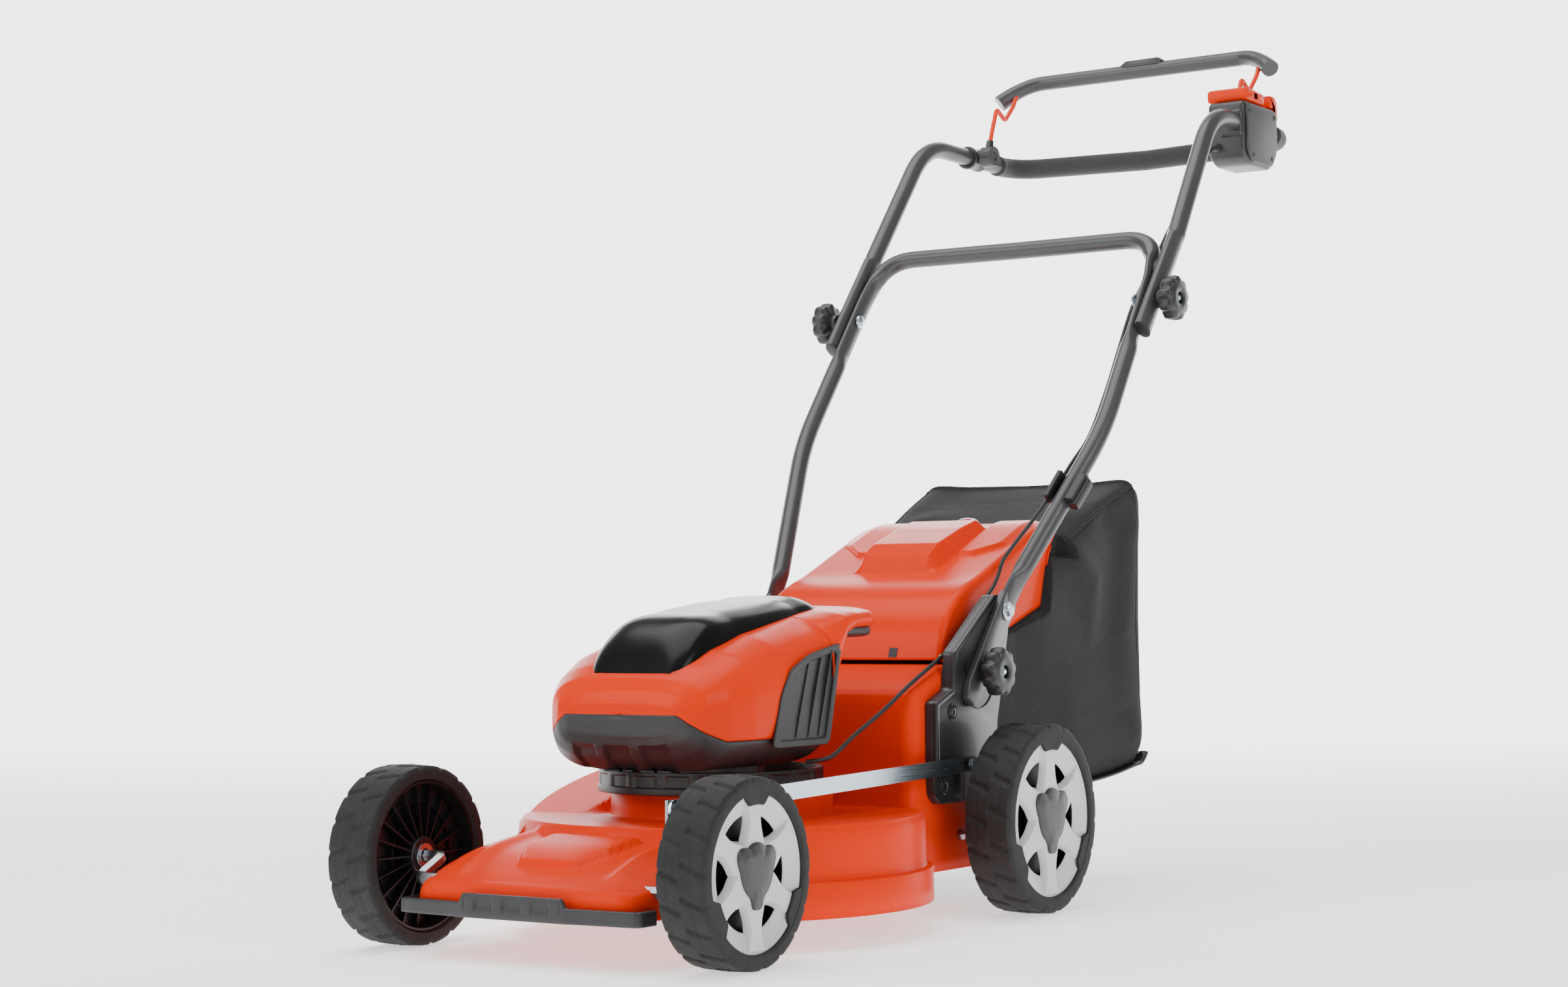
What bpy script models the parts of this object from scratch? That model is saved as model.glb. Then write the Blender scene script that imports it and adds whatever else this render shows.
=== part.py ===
"""Cordless lawn mower: a steel-decked battery mower with a folding two-part handle and a grass bag.

Metres, +Z up. The mower faces -Y, and +X is the side on the user's left hand.
The ground is Z = 0, and the frame's middle is the middle of the mower's own box.
"""

import math

import bmesh
import bpy
from mathutils import Matrix, Vector

# Overall places along the mower, each measured from the front axle
FRONT_AXLE_Y = -0.589
WHEELBASE = 0.535
REAR_AXLE_Y = FRONT_AXLE_Y + WHEELBASE
NOSE_HALF_WIDTH = 0.137
CLEARANCE = 0.0003
RUNNING_GAP = 0.0004
OFFSET = 0.0005
SHARP_ANGLE = math.radians(35)

# Wheels
FRONT_WHEEL_RADIUS = 0.0874
REAR_WHEEL_RADIUS = 0.100
TYRE_WIDTH = 0.0525
TYRE_SHOULDER = 0.006
TYRE_STEPS = 32
FRONT_RIM_RADIUS = 0.0731
REAR_RIM_RADIUS = 0.0835
RIM_WALL = 0.003
HUB_RADIUS = 0.017
COVER_RECESS = 0.003
COVER_THICKNESS = 0.004
COVER_EDGE = 0.0012
CAP_RADIUS = 0.021
CAP_HEIGHT = 0.0045
CAP_ROOT = 0.002
SPOKES = 6
FRONT_WHEEL_FACE_X = NOSE_HALF_WIDTH + 0.0818
REAR_WHEEL_FACE_X = FRONT_WHEEL_FACE_X + 0.0115

# Axles and the height linkage
AXLE_RADIUS = 0.006
STUB_BEYOND_MIDDLE = 0.018
CRANK_X = NOSE_HALF_WIDTH + 0.0105
CRANK_BEND = 0.007
CRANK_REACH_Y = 0.036
CRANK_DROP_Z = 0.0174
ARM_X = CRANK_X + 0.0009
ARM_THICKNESS = 0.003
ARM_HALF_WIDTH = 0.008
ARM_HEIGHT = 0.075
LINK_HEIGHT = 0.016
LINK_THICKNESS = 0.003
LINK_PIN_RADIUS = 0.003
PIN_HEAD_RADIUS = 0.0055
PIN_HEAD_THICKNESS = 0.002

# Deck
DRUM_Y = FRONT_AXLE_Y + 0.258
DRUM_RADIUS = 0.213
DRUM_STEP = 0.0085
DRUM_SHOULDER_RADIUS = DRUM_RADIUS - 0.018
DRUM_FRONT_Y = DRUM_Y - DRUM_RADIUS
DRUM_STEPS = 40
DECK_WALL = 0.003
SKIRT_Z = 0.030
SKIRT_LEDGE_Z = 0.064
DRUM_EDGE_Z = 0.108
DRUM_TOP_Z = 0.117
NECK_RADIUS = 0.112
NECK_TOP_Z = 0.1412
NOSE_FRONT_Y = FRONT_AXLE_Y - 0.067
NOSE_EDGE_Z = 0.045
NOSE_BACK_Y = DRUM_FRONT_Y + 0.115
PAD_FRONT_Y = NOSE_FRONT_Y + 0.022
PAD_LENGTH = 0.075
PAD_HALF_WIDTH = 0.05
RAMP_INNER_X = -0.115
RAMP_LOW_Z = 0.110
RAMP_HIGH_Z = 0.182
TUNNEL_HALF_WIDTH = 0.1367
TUNNEL_FRONT_Y = FRONT_AXLE_Y + 0.4065
TUNNEL_REAR_Y = FRONT_AXLE_Y + 0.560
TUNNEL_TOP_Z = 0.2615
TUNNEL_BOTTOM_Z = 0.047
CHUTE_FLOOR_Z = 0.0955
BUMPER_HALF_WIDTH = NOSE_HALF_WIDTH + 0.003
BUMPER_STEP_X = BUMPER_HALF_WIDTH - 0.065
BUMPER_MIDDLE_X = BUMPER_STEP_X - 0.018
BUMPER_HEIGHT = 0.014
BUMPER_MIDDLE_HEIGHT = 0.0225
BUMPER_DEPTH = 0.0115
BUMPER_LOW_Z = 0.0417

# Blade and motor
BLADE_HALF_LENGTH = 0.198
BLADE_WIDTH = 0.046
BLADE_THICKNESS = 0.003
BLADE_Z = 0.046
BLADE_BOLT_RADIUS = 0.004
ADAPTER_HEIGHT = 0.022
SHAFT_RADIUS = 0.006
SHAFT_END_Z = 0.056
STATOR_RADIUS = 0.043
STATOR_BORE = 0.031
STATOR_HEIGHT = 0.0585
MOTOR_WALL = 0.0025
MOTOR_HOLE_RADIUS = 0.030

# Hood: each section is (y from the front axle, half-width, low z, high z)
HOOD_SECTIONS = (
    (0.087, 0.067, 0.2000, 0.235), (0.090, 0.078, 0.1900, 0.245), (0.100, 0.093, 0.1780, 0.258),
    (0.120, 0.107, 0.1652, 0.270), (0.150, 0.115, 0.1652, 0.285), (0.200, 0.118, 0.1652, 0.300),
    (0.250, 0.118, 0.1652, 0.310), (0.280, 0.117, 0.1652, 0.3155), (0.300, 0.116, 0.2350, 0.318),
    (0.320, 0.112, 0.2880, 0.3205), (0.340, 0.108, 0.2975, 0.323), (0.370, 0.095, 0.2985, 0.325),
    (0.395, 0.070, 0.3000, 0.318),
)
HOOD_SQUARENESS = 3.5
HOOD_POINTS = 24
HOOD_BOTTOM_Z = 0.1652
HOOD_WALL = 0.0025
RING_RADIUS = 0.1137
RING_WALL = 0.008
RING_Y = FRONT_AXLE_Y + 0.239
SEAM_Z = 0.197
SEAM_STEP_X = 0.105
FRONT_SEAM_Z = 0.222
FRONT_SEAM_HALF_WIDTH = 0.067
SCOOP_HALF_WIDTH = 0.040
GRILLE_SLOTS = 6
GRILLE_PITCH = 0.0095
GRILLE_FRONT_SLOPE = 0.255
GRILLE_REAR_SLOPE = 0.294
GRILLE_INNER_X = 0.1125
GRILLE_OUTER_X = 0.1172

# Battery and hatch: sections as on the hood
HATCH_SECTIONS = (
    (0.1185, 0.044, 0.2615, 0.270), (0.130, 0.052, 0.2665, 0.290), (0.150, 0.058, 0.2745, 0.309),
    (0.200, 0.061, 0.2895, 0.321), (0.250, 0.062, 0.2985, 0.328), (0.300, 0.062, 0.3060, 0.332),
    (0.345, 0.060, 0.3120, 0.330), (0.357, 0.055, 0.3145, 0.319),
)
HATCH_WALL = 0.0025
HATCH_GAP = 0.0008
HATCH_HINGE_Y = FRONT_AXLE_Y + 0.112
HATCH_HINGE_Z = 0.273
BATTERY_HALF_WIDTH = 0.042
BATTERY_FRONT_Y = FRONT_AXLE_Y + 0.145
BATTERY_REAR_Y = FRONT_AXLE_Y + 0.278
BATTERY_HEIGHT = 0.072
CONTROLLER_HALF_WIDTH = 0.036

# Brackets that carry the handle, with their outline in side view
BRACKET_INNER_X = 0.137
BRACKET_OUTER_X = 0.148
BRACKET_OUTLINE = [
    (FRONT_AXLE_Y + y, z) for y, z in (
        (0.430, 0.128), (0.430, 0.2235), (0.463, 0.236), (0.4697, 0.2757), (0.5534, 0.335), (0.590, 0.335),
        (0.592, 0.300), (0.575, 0.235), (0.565, 0.200), (0.560, 0.118), (0.442, 0.118),
    )
]
FOLD_Y = FRONT_AXLE_Y + 0.573
FOLD_Z = 0.3174
FOLD_BOLT_RADIUS = 0.004

# Lower handle
LOWER_TUBE_RADIUS = 0.0105
LOWER_FLAT = 0.0058
TAB_X = 0.1525
TAB_THICKNESS = 0.008
TAB_WIDTH = 0.030
TAB_BEYOND_LOCK = 0.042
LOCK_Y = FRONT_AXLE_Y + 0.5205
LOCK_Z = 0.2535
STUD_RADIUS = 0.0035
HANDLE_LEAN = 0.737
ELBOW_X = 0.156
ELBOW_Z = 0.353
KNEE_X = 0.200
KNEE_Y = FRONT_AXLE_Y + 0.7204
KNEE_Z = 0.5173
LOWER_PINCH_Z = 0.610
LOWER_JOINT_X = 0.1945
CROSS_BAR_Z = 0.7535
CROSS_BAR_BEND = 0.045

# Upper handle: places are (x, y from the front axle, z)
UPPER_TUBE_RADIUS = 0.011
SOCKET_TUBE_RADIUS = 0.0125
UPPER_FLAT = 0.0083
UPPER_JOINT_X = 0.2093
UPPER_END = (0.2093, 0.804, 0.637)
COLLAR = (0.2093, 0.892, 0.748)
UPPER_TOP = (0.2015, 1.0176, 0.9185)
TOP_BEND = 0.050
HANDLEBAR_X = 0.198
HANDLEBAR_Y = FRONT_AXLE_Y + 1.252
HANDLEBAR_Z = 0.9155
HANDLEBAR_BEND = 0.045
GRIP_RADIUS = 0.0135
GRIP_START_Y = FRONT_AXLE_Y + 1.200
UPPER_BOLT_Y = FRONT_AXLE_Y + 0.832
UPPER_BOLT_Z = 0.6735
KNOB_BOLT_RADIUS = 0.003
KNOB_RADIUS = 0.026
KNOB_HEIGHT = 0.027

# Switch box, bail and cable
SWITCH_LOW = (0.165, FRONT_AXLE_Y + 1.085, 0.865)
SWITCH_HIGH = (0.2135, FRONT_AXLE_Y + 1.185, 0.945)
LEVER_PIVOT = (FRONT_AXLE_Y + 1.178, 0.952)
LEVER_PIN_RADIUS = 0.002
LEVER_LOW_X = SWITCH_HIGH[0] - 0.024
LEVER_HIGH_X = SWITCH_HIGH[0] - 0.003
LUG_THICKNESS = 0.0035
LEVER_OUTLINE = (
    (-0.0035, -0.0060), (0.003, -0.0056), (0.0105, -0.002), (0.014, -0.022), (0.0195, -0.020),
    (0.018, 0.004), (0.010, 0.010), (-0.0035, 0.010),
)
BAIL_AXIS_Y = FRONT_AXLE_Y + 1.140
BAIL_AXIS_Z = 0.9175
BAIL_WIRE_X = 0.1765
BAIL_WIRE_RADIUS = 0.0027
BAIL_GRIP_RADIUS = 0.0098
BAIL_STRAIGHT_X = 0.1427
BAIL_END_X = 0.198
HUB_OUTER_RADIUS = 0.0135
HUB_PIN_RADIUS = 0.004
HUB_LENGTH = 0.019
HUB_MIDDLE_X = 0.175
CLAMP_WALL = 0.0035
CABLE_RADIUS = 0.0022
CABLE_STEP = 0.0125
CLIP_OFFSET = 0.0155
CABLE_UPPER = (
    (0.178, 1.0846, 0.886), (0.178, 1.072, 0.884), (0.181, 1.048, 0.873), (0.185, 1.015, 0.848),
    (0.187, 0.985, 0.822), (0.187, 0.955, 0.797), (0.1865, 0.925, 0.766), (0.184, 0.910, 0.746),
)
CABLE_LOWER = (
    (0.1838, 0.9092, 0.7450), (0.181, 0.892, 0.722), (0.178, 0.868, 0.695), (0.1775, 0.840, 0.664),
    (0.180, 0.803, 0.617), (0.1835, 0.760, 0.563), (0.1815, 0.722, 0.512), (0.1725, 0.695, 0.480),
    (0.1653, 0.6745, 0.4549), (0.153, 0.645, 0.420), (0.1405, 0.6235, 0.3925), (0.1328, 0.6100, 0.3744),
    (0.132, 0.60317, 0.36386),
)
CABLE_DECK = (
    (0.132, 0.60296, 0.36353), (0.1315, 0.5948, 0.3510), (0.1305, 0.583, 0.339), (0.1295, 0.541, 0.309),
    (0.1285, 0.4968, 0.2785), (0.1275, 0.455, 0.2590), (0.1265, 0.4154, 0.2415), (0.1255, 0.365, 0.2170),
    (0.1245, 0.3129, 0.1950), (0.1235, 0.275, 0.177), (0.117, 0.261, 0.1725), (0.106, 0.251, 0.171),
)

# Rear flap, with its outlines in side view
FLAP_HALF_WIDTH = 0.120
FLAP_WALL = 0.0026
FLAP_HINGE_Y = FRONT_AXLE_Y + 0.497
FLAP_HINGE_Z = 0.2695
FLAP_ROD_RADIUS = 0.003
FLAP_TO_BAG = 0.0015
FLAP_TOP = (
    (0.4915, 0.2665), (0.498, 0.287), (0.515, 0.318), (0.545, 0.342), (0.594, 0.3605), (0.660, 0.388),
    (0.716, 0.411), (0.760, 0.4185),
)
FLAP_LOW = ((0.733, 0.3816), (0.717, 0.3226), (0.647, 0.300), (0.493, 0.2640))
FLAP_GRIP = (
    (0.594, 0.356), (0.6086, 0.3845), (0.630, 0.398), (0.7135, 0.4225), (0.7165, 0.408), (0.660, 0.384),
)

# Grass bag: sections as on the hood
BAG_WALL = 0.003
BAG_SQUARENESS = 5.0
BAG_SECTIONS = (
    (0.567, 0.126, 0.095, 0.2545), (0.600, 0.128, 0.096, 0.290), (0.650, 0.130, 0.098, 0.365),
    (0.700, 0.136, 0.101, 0.385), (0.750, 0.140, 0.105, 0.400), (0.850, 0.145, 0.118, 0.450),
    (0.920, 0.150, 0.130, 0.478), (0.935, 0.145, 0.150, 0.465),
)


def at(y):
    """Y in the shared frame, of a place measured from the front axle."""
    return FRONT_AXLE_Y + y


def clear_scene():
    for thing in list(bpy.data.objects):
        bpy.data.objects.remove(thing, do_unlink=True)
    for holder in list(bpy.data.collections):
        bpy.data.collections.remove(holder)


def new_collection(name):
    holder = bpy.data.collections.new(name)
    bpy.context.scene.collection.children.link(holder)
    return holder


clear_scene()
MOWER = new_collection("lawn_mower")
CUTTERS = new_collection("cutters")


def linear(channel):
    if channel <= 0.04045:
        return channel / 12.92
    return ((channel + 0.055) / 1.055) ** 2.4


def paint(name, colour, roughness, metallic=0.0):
    """A plain Principled material from an sRGB hex colour."""
    found = bpy.data.materials.get(name)
    if found:
        return found
    made = bpy.data.materials.new(name)
    made.use_nodes = True
    shader = made.node_tree.nodes["Principled BSDF"]
    parts = [linear(int(colour[i:i + 2], 16) / 255) for i in (0, 2, 4)]
    shader.inputs["Base Color"].default_value = (*parts, 1.0)
    shader.inputs["Roughness"].default_value = roughness
    shader.inputs["Metallic"].default_value = metallic
    made.diffuse_color = (*parts, 1.0)
    return made


def orange_paint():
    return paint("orange_paint", "F4511E", 0.28)


def orange_plastic():
    return paint("orange_plastic", "F4561F", 0.35)


def dark_plastic():
    return paint("dark_plastic", "4A4A4C", 0.55)


def black_plastic():
    return paint("black_plastic", "2A2A2C", 0.5)


def gloss_black():
    return paint("gloss_black", "1C1C1E", 0.12)


def grey_plastic():
    return paint("grey_plastic", "C9CACC", 0.4)


def tube_paint():
    return paint("tube_paint", "555557", 0.42)


def tyre_rubber():
    return paint("tyre_rubber", "2F3031", 0.8)


def zinc():
    return paint("zinc", "C4CBD1", 0.3, 1.0)


def bare_steel():
    return paint("bare_steel", "B9BCC0", 0.28, 1.0)


def aluminium():
    return paint("aluminium", "A9ACAF", 0.4, 1.0)


def bag_cloth():
    return paint("bag_cloth", "414243", 0.9)


def cable_rubber():
    return paint("cable_rubber", "1E1E1F", 0.5)


def register(thing, material, holder=None):
    thing.data.materials.clear()
    thing.data.materials.append(material)
    (holder or MOWER).objects.link(thing)
    return thing


def from_bmesh(name, bm, material):
    bmesh.ops.recalc_face_normals(bm, faces=bm.faces)
    data = bpy.data.meshes.new(name)
    bm.to_mesh(data)
    bm.free()
    data.shade_smooth()
    data.set_sharp_from_angle(angle=SHARP_ANGLE)
    return register(bpy.data.objects.new(name, data), material)


def box(name, low, high, material, bevel=0.0, segments=1):
    """A box between two corners, with its edges bevelled."""
    bm = bmesh.new()
    bmesh.ops.create_cube(bm, size=1.0)
    size = Vector(high) - Vector(low)
    middle = (Vector(high) + Vector(low)) / 2
    bmesh.ops.transform(bm, matrix=Matrix.Translation(middle) @ Matrix.Diagonal((*size, 1.0)), verts=bm.verts)
    if bevel:
        bmesh.ops.bevel(bm, geom=bm.edges[:], offset=bevel, segments=segments, affect="EDGES", profile=0.5)
    return from_bmesh(name, bm, material)


TURN = {
    "X": Matrix.Rotation(math.radians(90), 4, "Y"),
    "Y": Matrix.Rotation(math.radians(-90), 4, "X"),
    "Z": Matrix.Identity(4),
}


def rod(name, axis, middle, radius, length, material, sides=16, end_radius=None):
    """A cylinder or cone about an axis, centred on a point."""
    bm = bmesh.new()
    bmesh.ops.create_cone(
        bm, cap_ends=True, segments=sides, depth=length, radius1=radius,
        radius2=radius if end_radius is None else end_radius,
    )
    bmesh.ops.transform(bm, matrix=Matrix.Translation(middle) @ TURN[axis], verts=bm.verts)
    return from_bmesh(name, bm, material)


def turned(name, profile, axis, middle, material, steps=32, mirror=False):
    """A profile of (radius, height) points swept about an axis by a Screw modifier.

    The profile runs down its outer side, from the axis back to the axis, or round a closed
    loop that stays off the axis. mirror turns the heights the other way.
    """
    closed = profile[0][0] > 0 and profile[-1][0] > 0
    flip = -1 if mirror else 1
    points = [(radius, 0.0, flip * height) for radius, height in profile]
    if mirror:
        points.reverse()
    edges = [(i, i + 1) for i in range(len(points) - 1)]
    if closed:
        edges.append((len(points) - 1, 0))
    data = bpy.data.meshes.new(name)
    data.from_pydata(points, edges, [])
    thing = register(bpy.data.objects.new(name, data), material)
    thing.matrix_world = Matrix.Translation(middle) @ TURN[axis]
    screw = thing.modifiers.new("turn", "SCREW")
    screw.steps = steps
    screw.render_steps = steps
    screw.use_merge_vertices = True
    screw.merge_threshold = 0.00001
    return thing


def wire(name, points, radius, material, resolution=1, cyclic=False):
    """A tube along a line of points."""
    data = bpy.data.curves.new(name, "CURVE")
    data.dimensions = "3D"
    data.resolution_u = 1
    data.render_resolution_u = 0
    data.bevel_depth = radius
    data.bevel_resolution = resolution
    data.use_fill_caps = True
    spline = data.splines.new("POLY")
    spline.points.add(len(points) - 1)
    for slot, point in zip(spline.points, points):
        slot.co = (*point, 1.0)
    spline.use_cyclic_u = cyclic
    return register(bpy.data.objects.new(name, data), material)


FACING = {
    "X": Matrix(((0, 0, 1, 0), (1, 0, 0, 0), (0, 1, 0, 0), (0, 0, 0, 1))),
    "Y": Matrix(((1, 0, 0, 0), (0, 0, -1, 0), (0, 1, 0, 0), (0, 0, 0, 1))),
    "Z": Matrix.Identity(4),
}


def plate(name, outline, axis, low, high, material, bevel=0.0, holes=()):
    """A flat outline given a thickness along an axis, as a filled 2D curve.

    On X the outline is (y, z), on Y it is (x, z), and on Z it is (x, y).
    """
    data = bpy.data.curves.new(name, "CURVE")
    data.dimensions = "2D"
    data.fill_mode = "BOTH"
    data.resolution_u = 1
    data.render_resolution_u = 0
    data.extrude = abs(high - low) / 2 - bevel
    data.bevel_depth = bevel
    data.bevel_resolution = 0
    data.offset = -bevel
    for loop in (outline, *holes):
        spline = data.splines.new("POLY")
        spline.points.add(len(loop) - 1)
        for slot, point in zip(spline.points, loop):
            slot.co = (point[0], point[1], 0.0, 1.0)
        spline.use_cyclic_u = True
    thing = register(bpy.data.objects.new(name, data), material)
    shift = Vector([float(letter == axis) for letter in "XYZ"]) * (low + high) / 2
    thing.matrix_world = Matrix.Translation(shift) @ FACING[axis]
    return thing


def circle(middle, radius, count, start=0.0):
    """Points round a circle in an outline's own two axes."""
    turn = [start + 2 * math.pi * i / count for i in range(count)]
    return [(middle[0] + radius * math.cos(a), middle[1] + radius * math.sin(a)) for a in turn]


def rounded(corners, radius, steps=3):
    """An outline whose corners are rounded by an arc of a radius, given once or corner by corner."""
    count = len(corners)
    radii = [radius] * count if isinstance(radius, (int, float)) else radius
    points = []
    for i, corner in enumerate(corners):
        here = Vector(corner)
        before = (Vector(corners[i - 1]) - here).normalized()
        after = (Vector(corners[(i + 1) % count]) - here).normalized()
        half = before.angle(after) / 2
        if radii[i] <= 0 or half > math.radians(88):
            points.append(tuple(here))
            continue
        reach = radii[i] / math.tan(half)
        middle = here + (before + after).normalized() * (radii[i] / math.sin(half))
        first = here + before * reach - middle
        last = here + after * reach - middle
        sweep = first.angle(last)
        for k in range(steps + 1):
            share = k / steps
            blend = (first * math.sin((1 - share) * sweep) + last * math.sin(share * sweep)) / math.sin(sweep)
            points.append(tuple(middle + blend))
    return points


def bent(corners, radii, steps=4):
    """A 3D route whose inner corners are bent to given radii."""
    route = [tuple(corners[0])]
    for i in range(1, len(corners) - 1):
        here = Vector(corners[i])
        before = (Vector(corners[i - 1]) - here).normalized()
        after = (Vector(corners[i + 1]) - here).normalized()
        half = before.angle(after) / 2
        radius = radii[i - 1]
        reach = radius / math.tan(half)
        middle = here + (before + after).normalized() * (radius / math.sin(half))
        first = here + before * reach - middle
        last = here + after * reach - middle
        sweep = first.angle(last)
        for k in range(steps + 1):
            share = k / steps
            blend = (first * math.sin((1 - share) * sweep) + last * math.sin(share * sweep)) / math.sin(sweep)
            route.append(tuple(middle + blend))
    route.append(tuple(corners[-1]))
    return route


def loft(name, rings, material):
    """A closed solid through rings of points, each with the same count, capped at both ends."""
    count = len(rings[0])
    points = [point for ring in rings for point in ring]
    faces = [tuple(range(count)), tuple(reversed(range(len(points) - count, len(points))))]
    for start in range(0, len(points) - count, count):
        for i in range(count):
            after = (i + 1) % count
            faces.append((start + i, start + count + i, start + count + after, start + after))
    data = bpy.data.meshes.new(name)
    data.from_pydata(points, [], faces)
    bm = bmesh.new()
    bm.from_mesh(data)
    bpy.data.meshes.remove(data)
    bmesh.ops.triangulate(bm, faces=bm.faces, quad_method="FIXED")
    return from_bmesh(name, bm, material)


def oval(half_width, half_height, power, count):
    """Points round an oval with box-like corners: a signed power of the cosine and of the sine."""
    points = []
    for i in range(count):
        angle = 2 * math.pi * (i + 0.5) / count
        across = math.cos(angle)
        up = math.sin(angle)
        points.append((
            math.copysign(half_width * abs(across) ** (2 / power), across),
            math.copysign(half_height * abs(up) ** (2 / power), up),
        ))
    return points


def sweep(name, route, halves, material, sides=10, across=(1, 0, 0)):
    """A tube along a route. halves gives each point's half-size across and upwards.

    The section starts with its wide axis on across, and turns no more than the route does.
    """
    points = [Vector(point) for point in route]
    side = Vector(across)
    rings = []
    for i, point in enumerate(points):
        along = (points[min(i + 1, len(points) - 1)] - points[max(i - 1, 0)]).normalized()
        side = (side - along * side.dot(along)).normalized()
        up = along.cross(side)
        half_across, half_up = halves[i]
        ring = []
        for k in range(sides):
            angle = 2 * math.pi * (k + 0.5) / sides
            offset = side * (half_across * math.cos(angle)) + up * (half_up * math.sin(angle))
            ring.append(tuple(point + offset))
        rings.append(ring)
    return loft(name, rings, material)


def mirrored_route(half):
    """A left-hand route with its mirror image joined on, from the left end to the right end."""
    other = [(-x, y, z) for x, y, z in reversed(half) if abs(x) > 0.00001]
    return list(half) + other


def between(first, last, shares):
    """Points on a straight line, at shares of its length."""
    return [tuple(Vector(first).lerp(Vector(last), share)) for share in shares]


def shrunk(outline, gap):
    """A convex outline moved inwards by a gap along each edge's normal."""
    count = len(outline)
    middle = sum((Vector(point) for point in outline), Vector((0, 0))) / count
    result = []
    for i, corner in enumerate(outline):
        here = Vector(corner)
        before = (Vector(outline[i - 1]) - here).normalized()
        after = (Vector(outline[(i + 1) % count]) - here).normalized()
        inward = (before + after).normalized()
        if inward.dot(middle - here) < 0:
            inward = -inward
        result.append(tuple(here + inward * (gap / math.sin(before.angle(after) / 2))))
    return result


def hide_as_cutter(cutter):
    for holder in list(cutter.users_collection):
        holder.objects.unlink(cutter)
    CUTTERS.objects.link(cutter)
    cutter.hide_render = True
    cutter.display_type = "WIRE"


def boolean(target, tool, operation):
    modifier = target.modifiers.new(operation.lower() + "_" + tool.name, "BOOLEAN")
    modifier.operation = operation
    modifier.solver = "EXACT"
    modifier.object = tool
    hide_as_cutter(tool)
    return target


def cut(target, *tools):
    for tool in tools:
        boolean(target, tool, "DIFFERENCE")
    return target


def fuse(target, *tools):
    for tool in tools:
        boolean(target, tool, "UNION")
    return target


def common(target, tool):
    return boolean(target, tool, "INTERSECT")


def as_mesh(curve):
    """A curve's shape as a mesh with its caps welded, so that it can be cut and joined."""
    view = bpy.context.evaluated_depsgraph_get()
    data = bpy.data.meshes.new_from_object(curve.evaluated_get(view))
    bm = bmesh.new()
    bm.from_mesh(data)
    bmesh.ops.remove_doubles(bm, verts=bm.verts, dist=0.00001)
    name = curve.name
    place = curve.matrix_world.copy()
    material = curve.data.materials[0]
    bpy.data.objects.remove(curve)
    bpy.data.meshes.remove(data)
    made = from_bmesh(name, bm, material)
    made.matrix_world = place
    return made


def put_origin(thing, point):
    """Moves an object's origin to a point on its joint's axis, leaving its shape where it is."""
    old = thing.matrix_world.copy()
    new = old.copy()
    new.translation = point
    thing.data.transform(new.inverted() @ old)
    thing.matrix_world = new
    return thing


def slab(name, outline, axis, low, high, material, bevel=0.0, holes=()):
    """A plate as a mesh, for a piece that is cut or joined."""
    return as_mesh(plate(name, outline, axis, low, high, material, bevel, holes))


def pipe(name, points, radius, material, resolution=2):
    """A wire as a mesh, for a piece that is cut or joined."""
    return as_mesh(wire(name, points, radius, material, resolution))


SIDES = (("left", 1), ("right", -1))
WHEELS = (
    ("front", FRONT_AXLE_Y, FRONT_WHEEL_RADIUS, FRONT_RIM_RADIUS, FRONT_WHEEL_FACE_X),
    ("rear", REAR_AXLE_Y, REAR_WHEEL_RADIUS, REAR_RIM_RADIUS, REAR_WHEEL_FACE_X),
)


def tyre(name, middle, radius, rim):
    """A moulded tyre. One flat of its tread faces straight down, so the wheel stands on it."""
    half = TYRE_WIDTH / 2
    outer = radius / math.cos(math.pi / TYRE_STEPS)
    profile = [
        (rim, half), (outer - TYRE_SHOULDER, half), (outer, half - TYRE_SHOULDER),
        (outer, TYRE_SHOULDER - half), (outer - TYRE_SHOULDER, -half), (rim, -half),
    ]
    made = turned(name, profile, "X", middle, tyre_rubber(), TYRE_STEPS)
    made.rotation_euler.rotate_axis("Z", math.pi / TYRE_STEPS)
    return made


def wheel_rim(name, middle, rim, side):
    """The black wheel body: a hub with its bore, a web, and a barrel that the tyre sits on."""
    half = TYRE_WIDTH / 2
    inner = -half * 0.8
    seat = rim - CLEARANCE
    bore = AXLE_RADIUS + RUNNING_GAP
    barrel = seat - RIM_WALL
    cover_seat = half - COVER_RECESS - COVER_THICKNESS - CLEARANCE
    profile = [
        (bore, cover_seat), (HUB_RADIUS, cover_seat), (HUB_RADIUS, inner + RIM_WALL),
        (barrel, inner + RIM_WALL),
        (barrel, cover_seat), (seat, cover_seat), (seat, inner), (bore, inner),
    ]
    made = turned(name, profile, "X", middle, black_plastic(), TYRE_STEPS, mirror=side < 0)
    made.rotation_euler.rotate_axis("Z", math.pi / TYRE_STEPS)
    return made


def wheel_cover(name, middle, rim, side):
    """The light grey cover with six windows between its spokes, and the hub cap on it."""
    outer = rim - COVER_EDGE
    windows = []
    for k in range(SPOKES):
        turn = 2 * math.pi * k / SPOKES
        corners = []
        for radius, angle in ((0.42, -0.20), (0.88, -0.33), (0.88, 0.33), (0.42, 0.20)):
            place = (outer * radius * math.cos(turn + angle), outer * radius * math.sin(turn + angle))
            corners.append((middle[1] + place[0], middle[2] + place[1]))
        windows.append(corners)
    face = middle[0] + side * (TYRE_WIDTH / 2 - COVER_RECESS)
    back = face - side * COVER_THICKNESS
    low = min(face, back)
    high = max(face, back)
    made = slab(name, circle(middle[1:], outer, 24), "X", low, high, grey_plastic(), 0.0, windows)
    cap_middle = (face + side * (CAP_HEIGHT - CAP_ROOT) / 2, *middle[1:])
    cap = rod(name + "_cap", "X", cap_middle, CAP_RADIUS, CAP_HEIGHT + CAP_ROOT, dark_plastic(), 12)
    return fuse(made, cap)


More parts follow.
